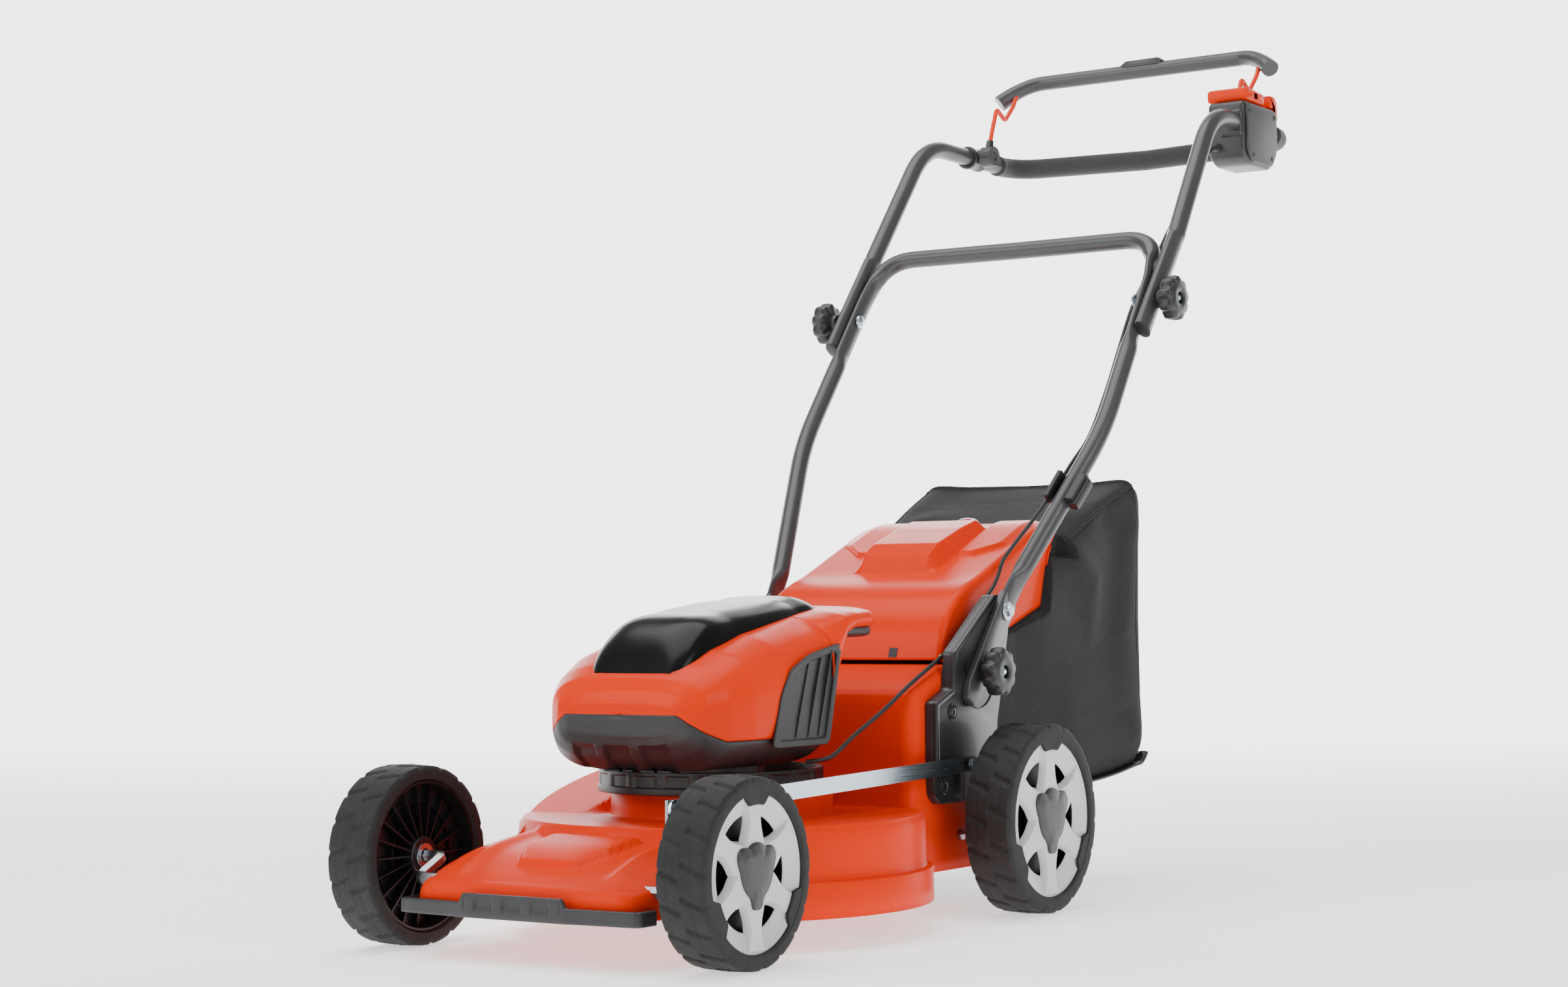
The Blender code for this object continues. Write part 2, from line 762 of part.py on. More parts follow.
def wheels():
    for end, y, radius, rim, face in WHEELS:
        for hand, side in SIDES:
            middle = (side * (face - TYRE_WIDTH / 2), y, radius)
            tyre(f"tyre_{end}_{hand}", middle, radius, rim)
            wheel_rim(f"wheel_rim_{end}_{hand}", middle, rim, side)
            put_origin(wheel_cover(f"wheel_cover_{end}_{hand}", middle, rim, side), middle)


def crank_pivot(y, radius):
    """Where an axle's cross rod turns in the deck, ahead of its wheels and lower."""
    return (0.0, y - CRANK_REACH_Y, radius - CRANK_DROP_Z)


def link_pin(y, radius):
    """Where the height link joins an axle's arm, in (y, z)."""
    pivot = crank_pivot(y, radius)
    return (pivot[1], pivot[2] + ARM_HEIGHT)


def cranked_axle(name, y, radius, face):
    """A bent steel rod: stub, crank, cross rod, crank and stub, with the arm for the height link."""
    pivot = crank_pivot(y, radius)
    pin = link_pin(y, radius)
    stub = face - TYRE_WIDTH / 2 + STUB_BEYOND_MIDDLE
    half = [(stub, y, radius), (CRANK_X, y, radius), (CRANK_X, pivot[1], pivot[2])]
    made = pipe(name, bent(mirrored_route(half), [CRANK_BEND] * 4, 3), AXLE_RADIUS, bare_steel(), 1)
    reach = Vector(pin) - Vector(pivot[1:])
    end = Vector(pin) + reach.normalized() * ARM_HALF_WIDTH
    start = Vector(pivot[1:]) - reach.normalized() * ARM_HALF_WIDTH
    across = Vector((reach.y, -reach.x)).normalized() * ARM_HALF_WIDTH
    corners = [start + across, end + across, end - across, start - across]
    low = ARM_X
    high = ARM_X + ARM_THICKNESS
    arm = slab(name + "_arm", [tuple(c) for c in corners], "X", low, high, bare_steel())
    shank_x = high + LINK_THICKNESS / 2
    shank = rod(name + "_pin", "X", (shank_x, *pin), LINK_PIN_RADIUS, LINK_THICKNESS * 2, zinc())
    head_x = high + LINK_THICKNESS + 2 * CLEARANCE + PIN_HEAD_THICKNESS / 2
    head = rod(name + "_pin_head", "X", (head_x, *pin), PIN_HEAD_RADIUS, PIN_HEAD_THICKNESS, zinc())
    fuse(made, arm, shank, head)
    return put_origin(made, pivot)


def link_rod():
    """The flat steel bar that makes the rear axle turn with the front one."""
    front = Vector(link_pin(FRONT_AXLE_Y, FRONT_WHEEL_RADIUS))
    rear = Vector(link_pin(REAR_AXLE_Y, REAR_WHEEL_RADIUS))
    along = (rear - front).normalized()
    across = Vector((-along.y, along.x)) * (LINK_HEIGHT / 2)
    start = front - along * LINK_HEIGHT / 2
    end = rear + along * LINK_HEIGHT / 2
    ends = (start - across, end - across, end + across, start + across)
    corners = rounded([tuple(c) for c in ends], 0.006, 2)
    holes = [circle(pin, LINK_PIN_RADIUS + RUNNING_GAP, 12) for pin in (front, rear)]
    low = ARM_X + ARM_THICKNESS + CLEARANCE
    made = slab("link_rod", corners, "X", low, low + LINK_THICKNESS, zinc(), 0.0, holes)
    return put_origin(made, (low, *front))


def running_gear():
    wheels()
    for end, y, radius, rim, face in WHEELS:
        cranked_axle(f"{end}_axle", y, radius, face)
    link_rod()


def upright_cylinder(name, radius, low, high, steps=DRUM_STEPS):
    middle = (0, DRUM_Y, (low + high) / 2)
    return rod(name, "Z", middle, radius, high - low, orange_paint(), steps)


def drum_profile(inset, bottom):
    """The blade chamber's outline from its top down its side, moved inwards by a wall."""
    ledge = DRUM_RADIUS - DRUM_STEP
    return [
        (0.0, NECK_TOP_Z - inset), (NECK_RADIUS - inset / 2, NECK_TOP_Z - inset),
        (DRUM_SHOULDER_RADIUS - inset / 2, DRUM_TOP_Z - inset), (ledge - inset, DRUM_EDGE_Z - inset / 2),
        (ledge - inset, SKIRT_LEDGE_Z + DRUM_STEP - inset), (DRUM_RADIUS - inset, SKIRT_LEDGE_Z - inset),
        (DRUM_RADIUS - inset, bottom), (0.0, bottom),
    ]


def nose_outline(inset, bottom):
    """The deck's nose in side view, as (y, z), moved inwards by a wall."""
    return [
        (NOSE_FRONT_Y + inset, bottom), (NOSE_FRONT_Y - 0.001 + inset, NOSE_EDGE_Z + 0.017),
        (NOSE_FRONT_Y + 0.017, NOSE_EDGE_Z + 0.030 - inset), (FRONT_AXLE_Y, NOSE_EDGE_Z + 0.050 - inset),
        (DRUM_FRONT_Y + 0.035, NOSE_EDGE_Z + 0.062 - inset), (NOSE_BACK_Y, DRUM_TOP_Z - 0.004 - inset),
        (NOSE_BACK_Y, bottom),
    ]


def deck_shell():
    """The pressed steel deck: blade chamber, nose, raised discharge side and rear outlet tunnel."""
    wall = DECK_WALL
    under = SKIRT_Z - 0.02
    outer = turned("deck_shell", drum_profile(0.0, SKIRT_Z), "Z", (0, DRUM_Y, 0), orange_paint(), DRUM_STEPS)
    nose_half = NOSE_HALF_WIDTH
    nose = slab("nose", nose_outline(0.0, NOSE_EDGE_Z), "X", -nose_half, nose_half, orange_paint(), 0.004)
    pad_back = PAD_FRONT_Y + PAD_LENGTH
    pad_outline = [
        (PAD_FRONT_Y, NOSE_EDGE_Z + 0.030), (PAD_FRONT_Y, NOSE_EDGE_Z + 0.041),
        (pad_back, NOSE_EDGE_Z + 0.065), (pad_back, NOSE_EDGE_Z + 0.050),
    ]
    pad = slab("nose_pad", pad_outline, "X", -PAD_HALF_WIDTH, PAD_HALF_WIDTH, orange_paint(), 0.002)
    half = TUNNEL_HALF_WIDTH
    tunnel_outline = [
        (TUNNEL_FRONT_Y, SKIRT_Z + 0.050), (TUNNEL_FRONT_Y, TUNNEL_TOP_Z - 0.030),
        (TUNNEL_FRONT_Y + 0.0435, TUNNEL_TOP_Z - 0.012), (TUNNEL_FRONT_Y + 0.0805, TUNNEL_TOP_Z),
        (TUNNEL_REAR_Y, TUNNEL_TOP_Z), (TUNNEL_REAR_Y, TUNNEL_BOTTOM_Z), (TUNNEL_FRONT_Y, TUNNEL_BOTTOM_Z),
    ]
    tunnel = slab("tunnel", tunnel_outline, "X", -half, half, orange_paint(), 0.003)
    ramp_outline = [
        (at(0.130), RAMP_LOW_Z - 0.010), (at(0.150), RAMP_LOW_Z), (TUNNEL_FRONT_Y + 0.01, RAMP_HIGH_Z),
        (TUNNEL_FRONT_Y + 0.01, RAMP_LOW_Z - 0.010),
    ]
    ramp = slab("ramp", ramp_outline, "X", -0.21, RAMP_INNER_X, orange_paint())
    common(ramp, upright_cylinder("ramp_limit", DRUM_RADIUS - DRUM_STEP - OFFSET, 0.0, 0.30))
    fuse(outer, nose, pad, tunnel, ramp)

    chamber = turned("chamber", drum_profile(wall, under), "Z", (0, DRUM_Y, 0), orange_paint(), DRUM_STEPS)
    nose_inside = slab(
        "nose_inside", nose_outline(wall, under), "X", wall - nose_half, nose_half - wall, orange_paint(),
    )
    cut(nose_inside, upright_cylinder("nose_limit", DRUM_RADIUS - DRUM_STEP + OFFSET, 0.0, 0.30))
    duct_outline = [
        (at(0.380), CHUTE_FLOOR_Z), (at(0.380), DRUM_TOP_Z - 0.010), (TUNNEL_FRONT_Y + wall, DRUM_TOP_Z),
        (TUNNEL_FRONT_Y + wall, TUNNEL_TOP_Z - 0.030 - wall),
        (TUNNEL_FRONT_Y + 0.0435, TUNNEL_TOP_Z - 0.012 - wall), (TUNNEL_FRONT_Y + 0.0805, TUNNEL_TOP_Z - wall),
        (TUNNEL_REAR_Y + 0.01, TUNNEL_TOP_Z - wall),
        (TUNNEL_REAR_Y + 0.01, CHUTE_FLOOR_Z),
    ]
    duct = slab("duct", duct_outline, "X", wall - half, half - wall, orange_paint())
    rear_space = box(
        "rear_space", (wall - half, at(0.400), under),
        (half - wall, TUNNEL_REAR_Y + 0.01, CHUTE_FLOOR_Z - wall), orange_paint(),
    )
    cut(rear_space, upright_cylinder("rear_limit", DRUM_RADIUS + OFFSET, 0.0, 0.30))
    ramp_inside_outline = [
        (at(0.140), RAMP_LOW_Z - 0.020), (at(0.150) + wall, RAMP_LOW_Z - wall),
        (TUNNEL_FRONT_Y + 0.02, RAMP_HIGH_Z - wall), (TUNNEL_FRONT_Y + 0.02, RAMP_LOW_Z - 0.020),
    ]
    ramp_inside = slab("ramp_inside", ramp_inside_outline, "X", -0.21, RAMP_INNER_X - wall, orange_paint())
    ramp_reach = DRUM_RADIUS - DRUM_STEP - wall - OFFSET
    common(ramp_inside, upright_cylinder("ramp_inside_limit", ramp_reach, 0.0, 0.30))
    motor_hole = upright_cylinder("motor_hole", MOTOR_HOLE_RADIUS, NECK_TOP_Z - 0.02, NECK_TOP_Z + 0.01, 24)
    cut(outer, chamber, nose_inside, duct, rear_space, ramp_inside, motor_hole)
    for end, y, radius, rim, face in WHEELS:
        pivot = crank_pivot(y, radius)
        cut(outer, rod(f"{end}_axle_hole", "X", pivot, AXLE_RADIUS + RUNNING_GAP, 0.3, orange_paint()))
    return outer


def front_bumper():
    """The grey moulding that wraps round the bottom of the nose."""
    inner = NOSE_HALF_WIDTH + CLEARANCE
    outer = BUMPER_HALF_WIDTH
    front = NOSE_FRONT_Y - 0.001 - CLEARANCE
    back = NOSE_FRONT_Y + 0.021
    step = BUMPER_STEP_X
    outline = [
        (outer, back), (outer, front + 0.004), (outer - 0.006, front - 0.004), (step, front - 0.0085),
        (step - 0.015, front - BUMPER_DEPTH), (0.015 - step, front - BUMPER_DEPTH), (-step, front - 0.0085),
        (0.006 - outer, front - 0.004), (-outer, front + 0.004), (-outer, back), (-inner, back),
        (-inner, front), (inner, front), (inner, back),
    ]
    top = BUMPER_LOW_Z + BUMPER_HEIGHT
    made = slab("front_bumper", outline, "Z", BUMPER_LOW_Z, top, dark_plastic(), 0.0008)
    raised = box(
        "bumper_middle", (-BUMPER_MIDDLE_X, front - BUMPER_DEPTH + 0.002, BUMPER_LOW_Z + 0.006),
        (BUMPER_MIDDLE_X, front, BUMPER_LOW_Z + BUMPER_MIDDLE_HEIGHT), dark_plastic(), 0.0015,
    )
    return fuse(made, raised)


def neck_ring():
    """The black collar between the deck's top and the hood."""
    low = NECK_TOP_Z + CLEARANCE
    high = HOOD_BOTTOM_Z - CLEARANCE
    inner = RING_RADIUS - RING_WALL
    profile = [(inner, high), (RING_RADIUS, high), (RING_RADIUS, low), (inner, low)]
    return turned("neck_ring", profile, "Z", (0, RING_Y, 0), black_plastic(), 40)


def deck():
    deck_shell()
    front_bumper()
    neck_ring()


def motor():
    """A brushless motor on the deck's top: a closed stator can with the rotor and shaft inside."""
    low = NECK_TOP_Z + CLEARANCE
    high = low + STATOR_HEIGHT
    seat = SHAFT_RADIUS + RUNNING_GAP
    can = [
        (seat, high), (STATOR_RADIUS - 0.004, high), (STATOR_RADIUS, high - 0.004), (STATOR_RADIUS, low),
        (seat, low), (seat, low + MOTOR_WALL), (STATOR_BORE, low + MOTOR_WALL),
        (STATOR_BORE, high - MOTOR_WALL),
        (seat, high - MOTOR_WALL),
    ]
    turned("motor_stator", can, "Z", (0, DRUM_Y, 0), aluminium(), 24)
    shaft_top = high - 0.001
    magnet = STATOR_BORE - RUNNING_GAP
    rotor_low = low + MOTOR_WALL + 0.004
    rotor_high = high - MOTOR_WALL - 0.004
    profile = [
        (0, shaft_top), (SHAFT_RADIUS, shaft_top), (SHAFT_RADIUS, rotor_high), (magnet, rotor_high),
        (magnet, rotor_low), (SHAFT_RADIUS, rotor_low), (SHAFT_RADIUS, SHAFT_END_Z), (0, SHAFT_END_Z),
    ]
    turned("motor_rotor", profile, "Z", (0, DRUM_Y, 0), bare_steel(), 24)


def blade_set():
    """The cutting blade, the adapter that carries it on the motor shaft, and its bolt."""
    half = BLADE_HALF_LENGTH
    width = BLADE_WIDTH / 2
    outline = [
        (half, DRUM_Y + width * 0.55), (half, DRUM_Y - width), (0.6 * half, DRUM_Y - width),
        (0.45 * half, DRUM_Y - width * 0.8), (-half, DRUM_Y - width * 0.55), (-half, DRUM_Y + width),
        (-0.6 * half, DRUM_Y + width), (-0.45 * half, DRUM_Y + width * 0.8),
    ]
    top = BLADE_Z + BLADE_THICKNESS
    bolt = BLADE_BOLT_RADIUS
    hole = circle((0, DRUM_Y), bolt + CLEARANCE, 16)
    put_origin(slab("blade", outline, "Z", BLADE_Z, top, bare_steel(), 0.0, [hole]), (0, DRUM_Y, BLADE_Z))
    seat = top + CLEARANCE
    bore = SHAFT_RADIUS + CLEARANCE
    adapter = [
        (bore, seat + ADAPTER_HEIGHT), (0.012, seat + ADAPTER_HEIGHT), (0.014, seat + 0.008),
        (0.026, seat + 0.005),
        (0.026, seat), (bolt + CLEARANCE, seat), (bolt + CLEARANCE, SHAFT_END_Z - CLEARANCE - 0.002),
        (bore, SHAFT_END_Z - CLEARANCE - 0.002),
    ]
    turned("blade_adapter", adapter, "Z", (0, DRUM_Y, 0), aluminium(), 24)
    head_top = BLADE_Z - CLEARANCE
    profile = [
        (0, SHAFT_END_Z - CLEARANCE), (bolt, SHAFT_END_Z - CLEARANCE), (bolt, head_top), (0.015, head_top),
        (0.015, head_top - 0.0015), (0.0085, head_top - 0.002), (0.0085, head_top - 0.008),
        (0, head_top - 0.008),
    ]
    turned("blade_bolt", profile, "Z", (0, DRUM_Y, 0), zinc(), 12)


def hood_rings(inset):
    """The hood's cross-sections, moved inwards by a wall."""
    rings = []
    last = len(HOOD_SECTIONS) - 1
    for index, (y, half, low, high) in enumerate(HOOD_SECTIONS):
        shift = inset if index == 0 else (-inset if index == last else 0.0)
        middle = (low + high) / 2
        shape = oval(half - inset, (high - low) / 2 - inset, HOOD_SQUARENESS, HOOD_POINTS)
        rings.append([(x, at(y) + shift, middle + z) for x, z in shape])
    return rings


def hatch_rings(inset, drop):
    """The hatch's cross-sections: flat below and rounded above. drop lowers the flat side."""
    rings = []
    last = len(HATCH_SECTIONS) - 1
    for index, (y, half, low, high) in enumerate(HATCH_SECTIONS):
        shift = inset if index == 0 else (-inset if index == last else 0.0)
        floor = low - drop
        height = high - inset - low
        shape = oval(half - inset, height, 4.0, HOOD_POINTS)
        rings.append([(x, at(y) + shift, low + z if z > 0 else floor) for x, z in shape])
    return rings


def base_outline(rise):
    """The seam between the hood's base and its shell in front view, as (x, z)."""
    wide = 0.2
    return [
        (-wide, 0.10), (wide, 0.10), (wide, SEAM_Z + rise), (SEAM_STEP_X, SEAM_Z + rise),
        (FRONT_SEAM_HALF_WIDTH, FRONT_SEAM_Z + rise), (-FRONT_SEAM_HALF_WIDTH, FRONT_SEAM_Z + rise),
        (-SEAM_STEP_X, SEAM_Z + rise), (-wide, SEAM_Z + rise),
    ]


def grille_window():
    """The left window's outline in side view, as (y, z)."""
    return [(at(0.2095), 0.2035), (at(0.2765), 0.2035), (at(0.300), 0.2835), (at(0.2257), 0.267)]


def hood():
    """The hood over motor and battery: base, shell, and a grille in each side window."""
    base = loft("hood_base", hood_rings(0.0), dark_plastic())
    common(base, slab("base_zone", base_outline(0.0), "Y", at(0.05), at(0.42), dark_plastic()))
    motor_top = NECK_TOP_Z + STATOR_HEIGHT
    can_top = motor_top + 3 * OFFSET
    motor_clear = upright_cylinder("motor_clear", STATOR_RADIUS + OFFSET, NECK_TOP_Z, can_top, 24)
    cut(base, loft("base_inside", hood_rings(HOOD_WALL), dark_plastic()), motor_clear)

    shell = loft("hood_shell", hood_rings(0.0), orange_plastic())
    zone = slab("shell_zone", base_outline(CLEARANCE), "Y", at(0.05), at(0.42), orange_plastic())
    inside = loft("shell_inside", hood_rings(HOOD_WALL), orange_plastic())
    footprint = loft("hatch_footprint", hatch_rings(-HATCH_GAP, HATCH_GAP), orange_plastic())
    windows = slab("side_windows", grille_window(), "X", -0.13, 0.13, orange_plastic())
    scoop = box(
        "finger_scoop", (-SCOOP_HALF_WIDTH, at(0.3635), 0.27), (SCOOP_HALF_WIDTH, at(0.3815), 0.34),
        orange_plastic(), 0.004,
    )
    cut(shell, zone, inside, footprint, windows, scoop)

    slots = []
    corner_z = grille_window()[0][1]
    for k in range(GRILLE_SLOTS):
        low = corner_z + 0.005 + k * GRILLE_PITCH
        high = low + GRILLE_PITCH * 0.55
        rows = [
            (at(0.2145) + (z - corner_z) * GRILLE_FRONT_SLOPE, at(0.2715) + (z - corner_z) * GRILLE_REAR_SLOPE)
            for z in (low, high)
        ]
        slots.append([(rows[0][0], low), (rows[0][1], low), (rows[1][1], high), (rows[1][0], high)])
    panel = shrunk(grille_window(), CLEARANCE)
    for hand, side in SIDES:
        faces = sorted((side * GRILLE_INNER_X, side * GRILLE_OUTER_X))
        plate(f"side_grille_{hand}", panel, "X", faces[0], faces[1], black_plastic(), 0.0, slots)


def power():
    """Battery tray, battery pack, controller and the hatch over them."""
    tray_floor = NECK_TOP_Z + CLEARANCE + STATOR_HEIGHT + CLEARANCE
    wall = 0.0025
    tray = box(
        "battery_tray", (-BATTERY_HALF_WIDTH - 0.003, BATTERY_FRONT_Y - 0.003, tray_floor),
        (BATTERY_HALF_WIDTH + 0.003, BATTERY_REAR_Y + 0.003, tray_floor + 0.060), black_plastic(),
    )
    inside = box(
        "tray_inside", (-BATTERY_HALF_WIDTH - 0.0005, BATTERY_FRONT_Y - 0.0005, tray_floor + wall),
        (BATTERY_HALF_WIDTH + 0.0005, BATTERY_REAR_Y + 0.0005, tray_floor + 0.08), black_plastic(),
    )
    cut(tray, inside)
    seat = tray_floor + wall + CLEARANCE
    pack = box(
        "battery_pack", (-BATTERY_HALF_WIDTH, BATTERY_FRONT_Y, seat),
        (BATTERY_HALF_WIDTH, BATTERY_REAR_Y, seat + BATTERY_HEIGHT), dark_plastic(), 0.003,
    )
    top = seat + BATTERY_HEIGHT
    grip = box("battery_grip", (-0.012, BATTERY_FRONT_Y + 0.04, top - 0.002),
               (0.012, BATTERY_REAR_Y - 0.04, top + 0.009), dark_plastic(), 0.002)
    fuse(pack, grip)
    put_origin(pack, (0, (BATTERY_FRONT_Y + BATTERY_REAR_Y) / 2, seat))
    floor = HOOD_BOTTOM_Z + HOOD_WALL + 0.0008
    half = CONTROLLER_HALF_WIDTH
    box("controller", (-half, at(0.135), floor), (half, at(0.200), floor + 0.024), aluminium(), 0.002)

    hatch = loft("battery_hatch", hatch_rings(0.0, 0.0), gloss_black())
    cut(hatch, loft("hatch_inside", hatch_rings(HATCH_WALL, 0.02), gloss_black()))
    put_origin(hatch, (0, HATCH_HINGE_Y, HATCH_HINGE_Z))


def handle_brackets():
    """The two dark brackets bolted to the tunnel's sides, and the fold bolt in each."""
    for hand, side in SIDES:
        faces = sorted((side * BRACKET_INNER_X, side * BRACKET_OUTER_X))
        outline = rounded(BRACKET_OUTLINE, 0.005, 2)
        holes = [
            circle((FOLD_Y, FOLD_Z), FOLD_BOLT_RADIUS + CLEARANCE, 12),
            circle((LOCK_Y, LOCK_Z), STUD_RADIUS + CLEARANCE, 12),
            circle((FLAP_HINGE_Y, FLAP_HINGE_Z), FLAP_ROD_RADIUS + CLEARANCE, 12),
        ]
        plate(f"handle_bracket_{hand}", outline, "X", faces[0], faces[1], dark_plastic(), 0.0, holes)
        seat = TAB_X + TAB_THICKNESS / 2 + CLEARANCE
        profile = [
            (0, seat + 0.005), (0.0065, seat + 0.005), (0.0065, seat + 0.0015), (0.0095, seat),
            (FOLD_BOLT_RADIUS, seat),
            (FOLD_BOLT_RADIUS, BRACKET_INNER_X + 0.001), (0, BRACKET_INNER_X + 0.001),
        ]
        turned(f"fold_bolt_{hand}", profile, "X", (0, FOLD_Y, FOLD_Z), zinc(), 12, mirror=side < 0)


def knob_profile(seat, stud_end):
    """A clamping knob with its stud: the stud reaches inwards to stud_end."""
    return [
        (0, seat + KNOB_HEIGHT), (KNOB_RADIUS * 0.72, seat + KNOB_HEIGHT),
        (KNOB_RADIUS, seat + KNOB_HEIGHT * 0.8), (KNOB_RADIUS * 0.96, seat + KNOB_HEIGHT * 0.3),
        (KNOB_RADIUS * 0.5, seat + 0.003), (KNOB_RADIUS * 0.42, seat),
        (STUD_RADIUS, seat), (STUD_RADIUS, stud_end), (0, stud_end),
    ]


def knobs():
    """Two locking knobs on the brackets, and two on the bolts between the handles."""
    for hand, side in SIDES:
        seat = TAB_X + TAB_THICKNESS / 2 + CLEARANCE
        profile = knob_profile(seat, BRACKET_INNER_X + 0.001)
        turned(f"lower_knob_{hand}", profile, "X", (0, LOCK_Y, LOCK_Z), black_plastic(), 16, mirror=side < 0)
        seat = UPPER_JOINT_X + UPPER_FLAT + CLEARANCE
        bolt_end = seat + KNOB_HEIGHT * 0.5
        inner = LOWER_JOINT_X - LOWER_FLAT - CLEARANCE
        bore = KNOB_BOLT_RADIUS + CLEARANCE
        knob = [
            (0, seat + KNOB_HEIGHT), (KNOB_RADIUS * 0.72, seat + KNOB_HEIGHT),
            (KNOB_RADIUS, seat + KNOB_HEIGHT * 0.8), (KNOB_RADIUS * 0.96, seat + KNOB_HEIGHT * 0.3),
            (KNOB_RADIUS * 0.5, seat + 0.003), (KNOB_RADIUS * 0.42, seat), (bore, seat),
            (bore, bolt_end + CLEARANCE),
            (0, bolt_end + CLEARANCE),
        ]
        place = (0, UPPER_BOLT_Y, UPPER_BOLT_Z)
        turned(f"upper_knob_{hand}", knob, "X", place, black_plastic(), 16, mirror=side < 0)
        bolt = [
            (0, bolt_end), (KNOB_BOLT_RADIUS, bolt_end), (KNOB_BOLT_RADIUS, inner), (0.008, inner),
            (0.008, inner - 0.0045), (0, inner - 0.0045),
        ]
        turned(f"upper_bolt_{hand}", bolt, "X", place, zinc(), 12, mirror=side < 0)


def lower_tube(z):
    """The lower handle's middle line on its left side, above the knee."""
    share = z - KNEE_Z
    bend = LOWER_PINCH_Z
    x = KNEE_X + (LOWER_JOINT_X - KNEE_X) * min(1.0, share / (bend - KNEE_Z))
    return (x, KNEE_Y + HANDLE_LEAN * share, z)


def lower_handle():
    """The lower handle: two flat tabs, cranked legs and a cross bar, bent from one tube."""
    elbow = (ELBOW_X, FOLD_Y + 0.0265, ELBOW_Z)
    knee = (KNEE_X, KNEE_Y, KNEE_Z)
    start = (TAB_X, FOLD_Y + 0.006, FOLD_Z + 0.0075)
    bends = bent([start, elbow, knee, lower_tube(LOWER_PINCH_Z)], [0.03, 0.06], 3)
    legs = [*bends[:5], *between(bends[4], bends[5], (0.14,)), *bends[5:]]
    pinched = [lower_tube(LOWER_PINCH_Z + step) for step in (0.018, 0.045, 0.070, 0.090)]
    corner = (LOWER_JOINT_X - 0.010, lower_tube(CROSS_BAR_Z)[1] - 0.002, CROSS_BAR_Z)
    arc = bent([pinched[-1], corner, (0.0, corner[1] + 0.004, CROSS_BAR_Z)], [CROSS_BAR_BEND], 5)[1:]
    half = legs + pinched + arc
    route = mirrored_route(half)
    round_tube = (LOWER_TUBE_RADIUS, LOWER_TUBE_RADIUS)
    halves = []
    for x, y, z in route:
        if z < ELBOW_Z - 0.012:
            halves.append((TAB_THICKNESS / 2, TAB_WIDTH / 2 - 0.001))
        elif z < ELBOW_Z + 0.004:
            halves.append((0.007, 0.013))
        elif LOWER_PINCH_Z + 0.01 < z < CROSS_BAR_Z - 0.020:
            halves.append((LOWER_FLAT, LOWER_TUBE_RADIUS + 0.002))
        else:
            halves.append(round_tube)
    made = sweep("lower_handle", route, halves, tube_paint())
    fold = Vector((FOLD_Y, FOLD_Z))
    lock = Vector((LOCK_Y, LOCK_Z))
    down = (lock - fold).normalized()
    across = Vector((down.y, -down.x))
    tip = lock + down * TAB_BEYOND_LOCK
    back = fold - down * 0.017
    half_width = TAB_WIDTH / 2
    tail = half_width * 0.5
    corners = [
        back - across * half_width, tip - across * half_width - down * 0.012, tip - across * tail,
        tip + across * tail,
        tip + across * half_width - down * 0.012, back + across * half_width,
    ]
    front = across if across.x < 0 else -across
    for hand, side in SIDES:
        faces = sorted((side * (TAB_X - TAB_THICKNESS / 2), side * (TAB_X + TAB_THICKNESS / 2)))
        side_view = [tuple(c) for c in corners]
        tab = slab(f"handle_tab_{hand}", side_view, "X", faces[0], faces[1], tube_paint(), 0.001)
        fuse(made, tab)
        gap = STUD_RADIUS + 0.001
        mouth = front * 0.03
        ends = [lock - down * gap, lock + down * gap, lock + down * gap + mouth, lock - down * gap + mouth]
        slot_view = [tuple(c) for c in ends]
        slot = slab(f"tab_slot_{hand}", slot_view, "X", faces[0] - 0.01, faces[1] + 0.01, tube_paint())
        end = rod(f"slot_end_{hand}", "X", (side * TAB_X, *lock), gap, 0.03, tube_paint(), 12)
        fold_hole = FOLD_BOLT_RADIUS + CLEARANCE
        hole = rod(f"fold_hole_{hand}", "X", (side * TAB_X, *fold), fold_hole, 0.03, tube_paint(), 12)
        place = (side * LOWER_JOINT_X, UPPER_BOLT_Y, UPPER_BOLT_Z)
        knob_hole = KNOB_BOLT_RADIUS + CLEARANCE
        bolt_hole = rod(f"lower_bolt_hole_{hand}", "X", place, knob_hole, 0.04, tube_paint(), 12)
        cut(made, slot, end, hole, bolt_hole)
    return put_origin(made, (0, FOLD_Y, FOLD_Z))


def upper_route():
    """The upper handle's middle line from its left end to the middle of the handlebar."""
    low = (UPPER_JOINT_X, at(UPPER_END[1]), UPPER_END[2])
    joint = (UPPER_JOINT_X, UPPER_BOLT_Y, UPPER_BOLT_Z)
    collar = (UPPER_JOINT_X, at(COLLAR[1]), COLLAR[2])
    top = (UPPER_TOP[0], at(UPPER_TOP[1]), UPPER_TOP[2])
    bar = (HANDLEBAR_X, HANDLEBAR_Y, HANDLEBAR_Z)
    bends = bent([collar, top, bar, (0.0, HANDLEBAR_Y, HANDLEBAR_Z - 0.005)], [TOP_BEND, HANDLEBAR_BEND], 5)
    first = between(collar, bends[1], (0.06, 0.12))
    level = between(bends[6], bends[7], (0.3, 0.6, 0.9))
    lower_end = [low, *between(low, joint, (0.5,)), joint, *between(joint, collar, (0.5,)), collar, *first]
    return [*lower_end, *bends[1:7], *level, *bends[7:]]


def upright_x(y):
    """How far out the level part of the upper handle lies at a place along the mower."""
    share = (y - at(UPPER_TOP[1])) / (HANDLEBAR_Y - at(UPPER_TOP[1]))
    return UPPER_TOP[0] + (HANDLEBAR_X - UPPER_TOP[0]) * share


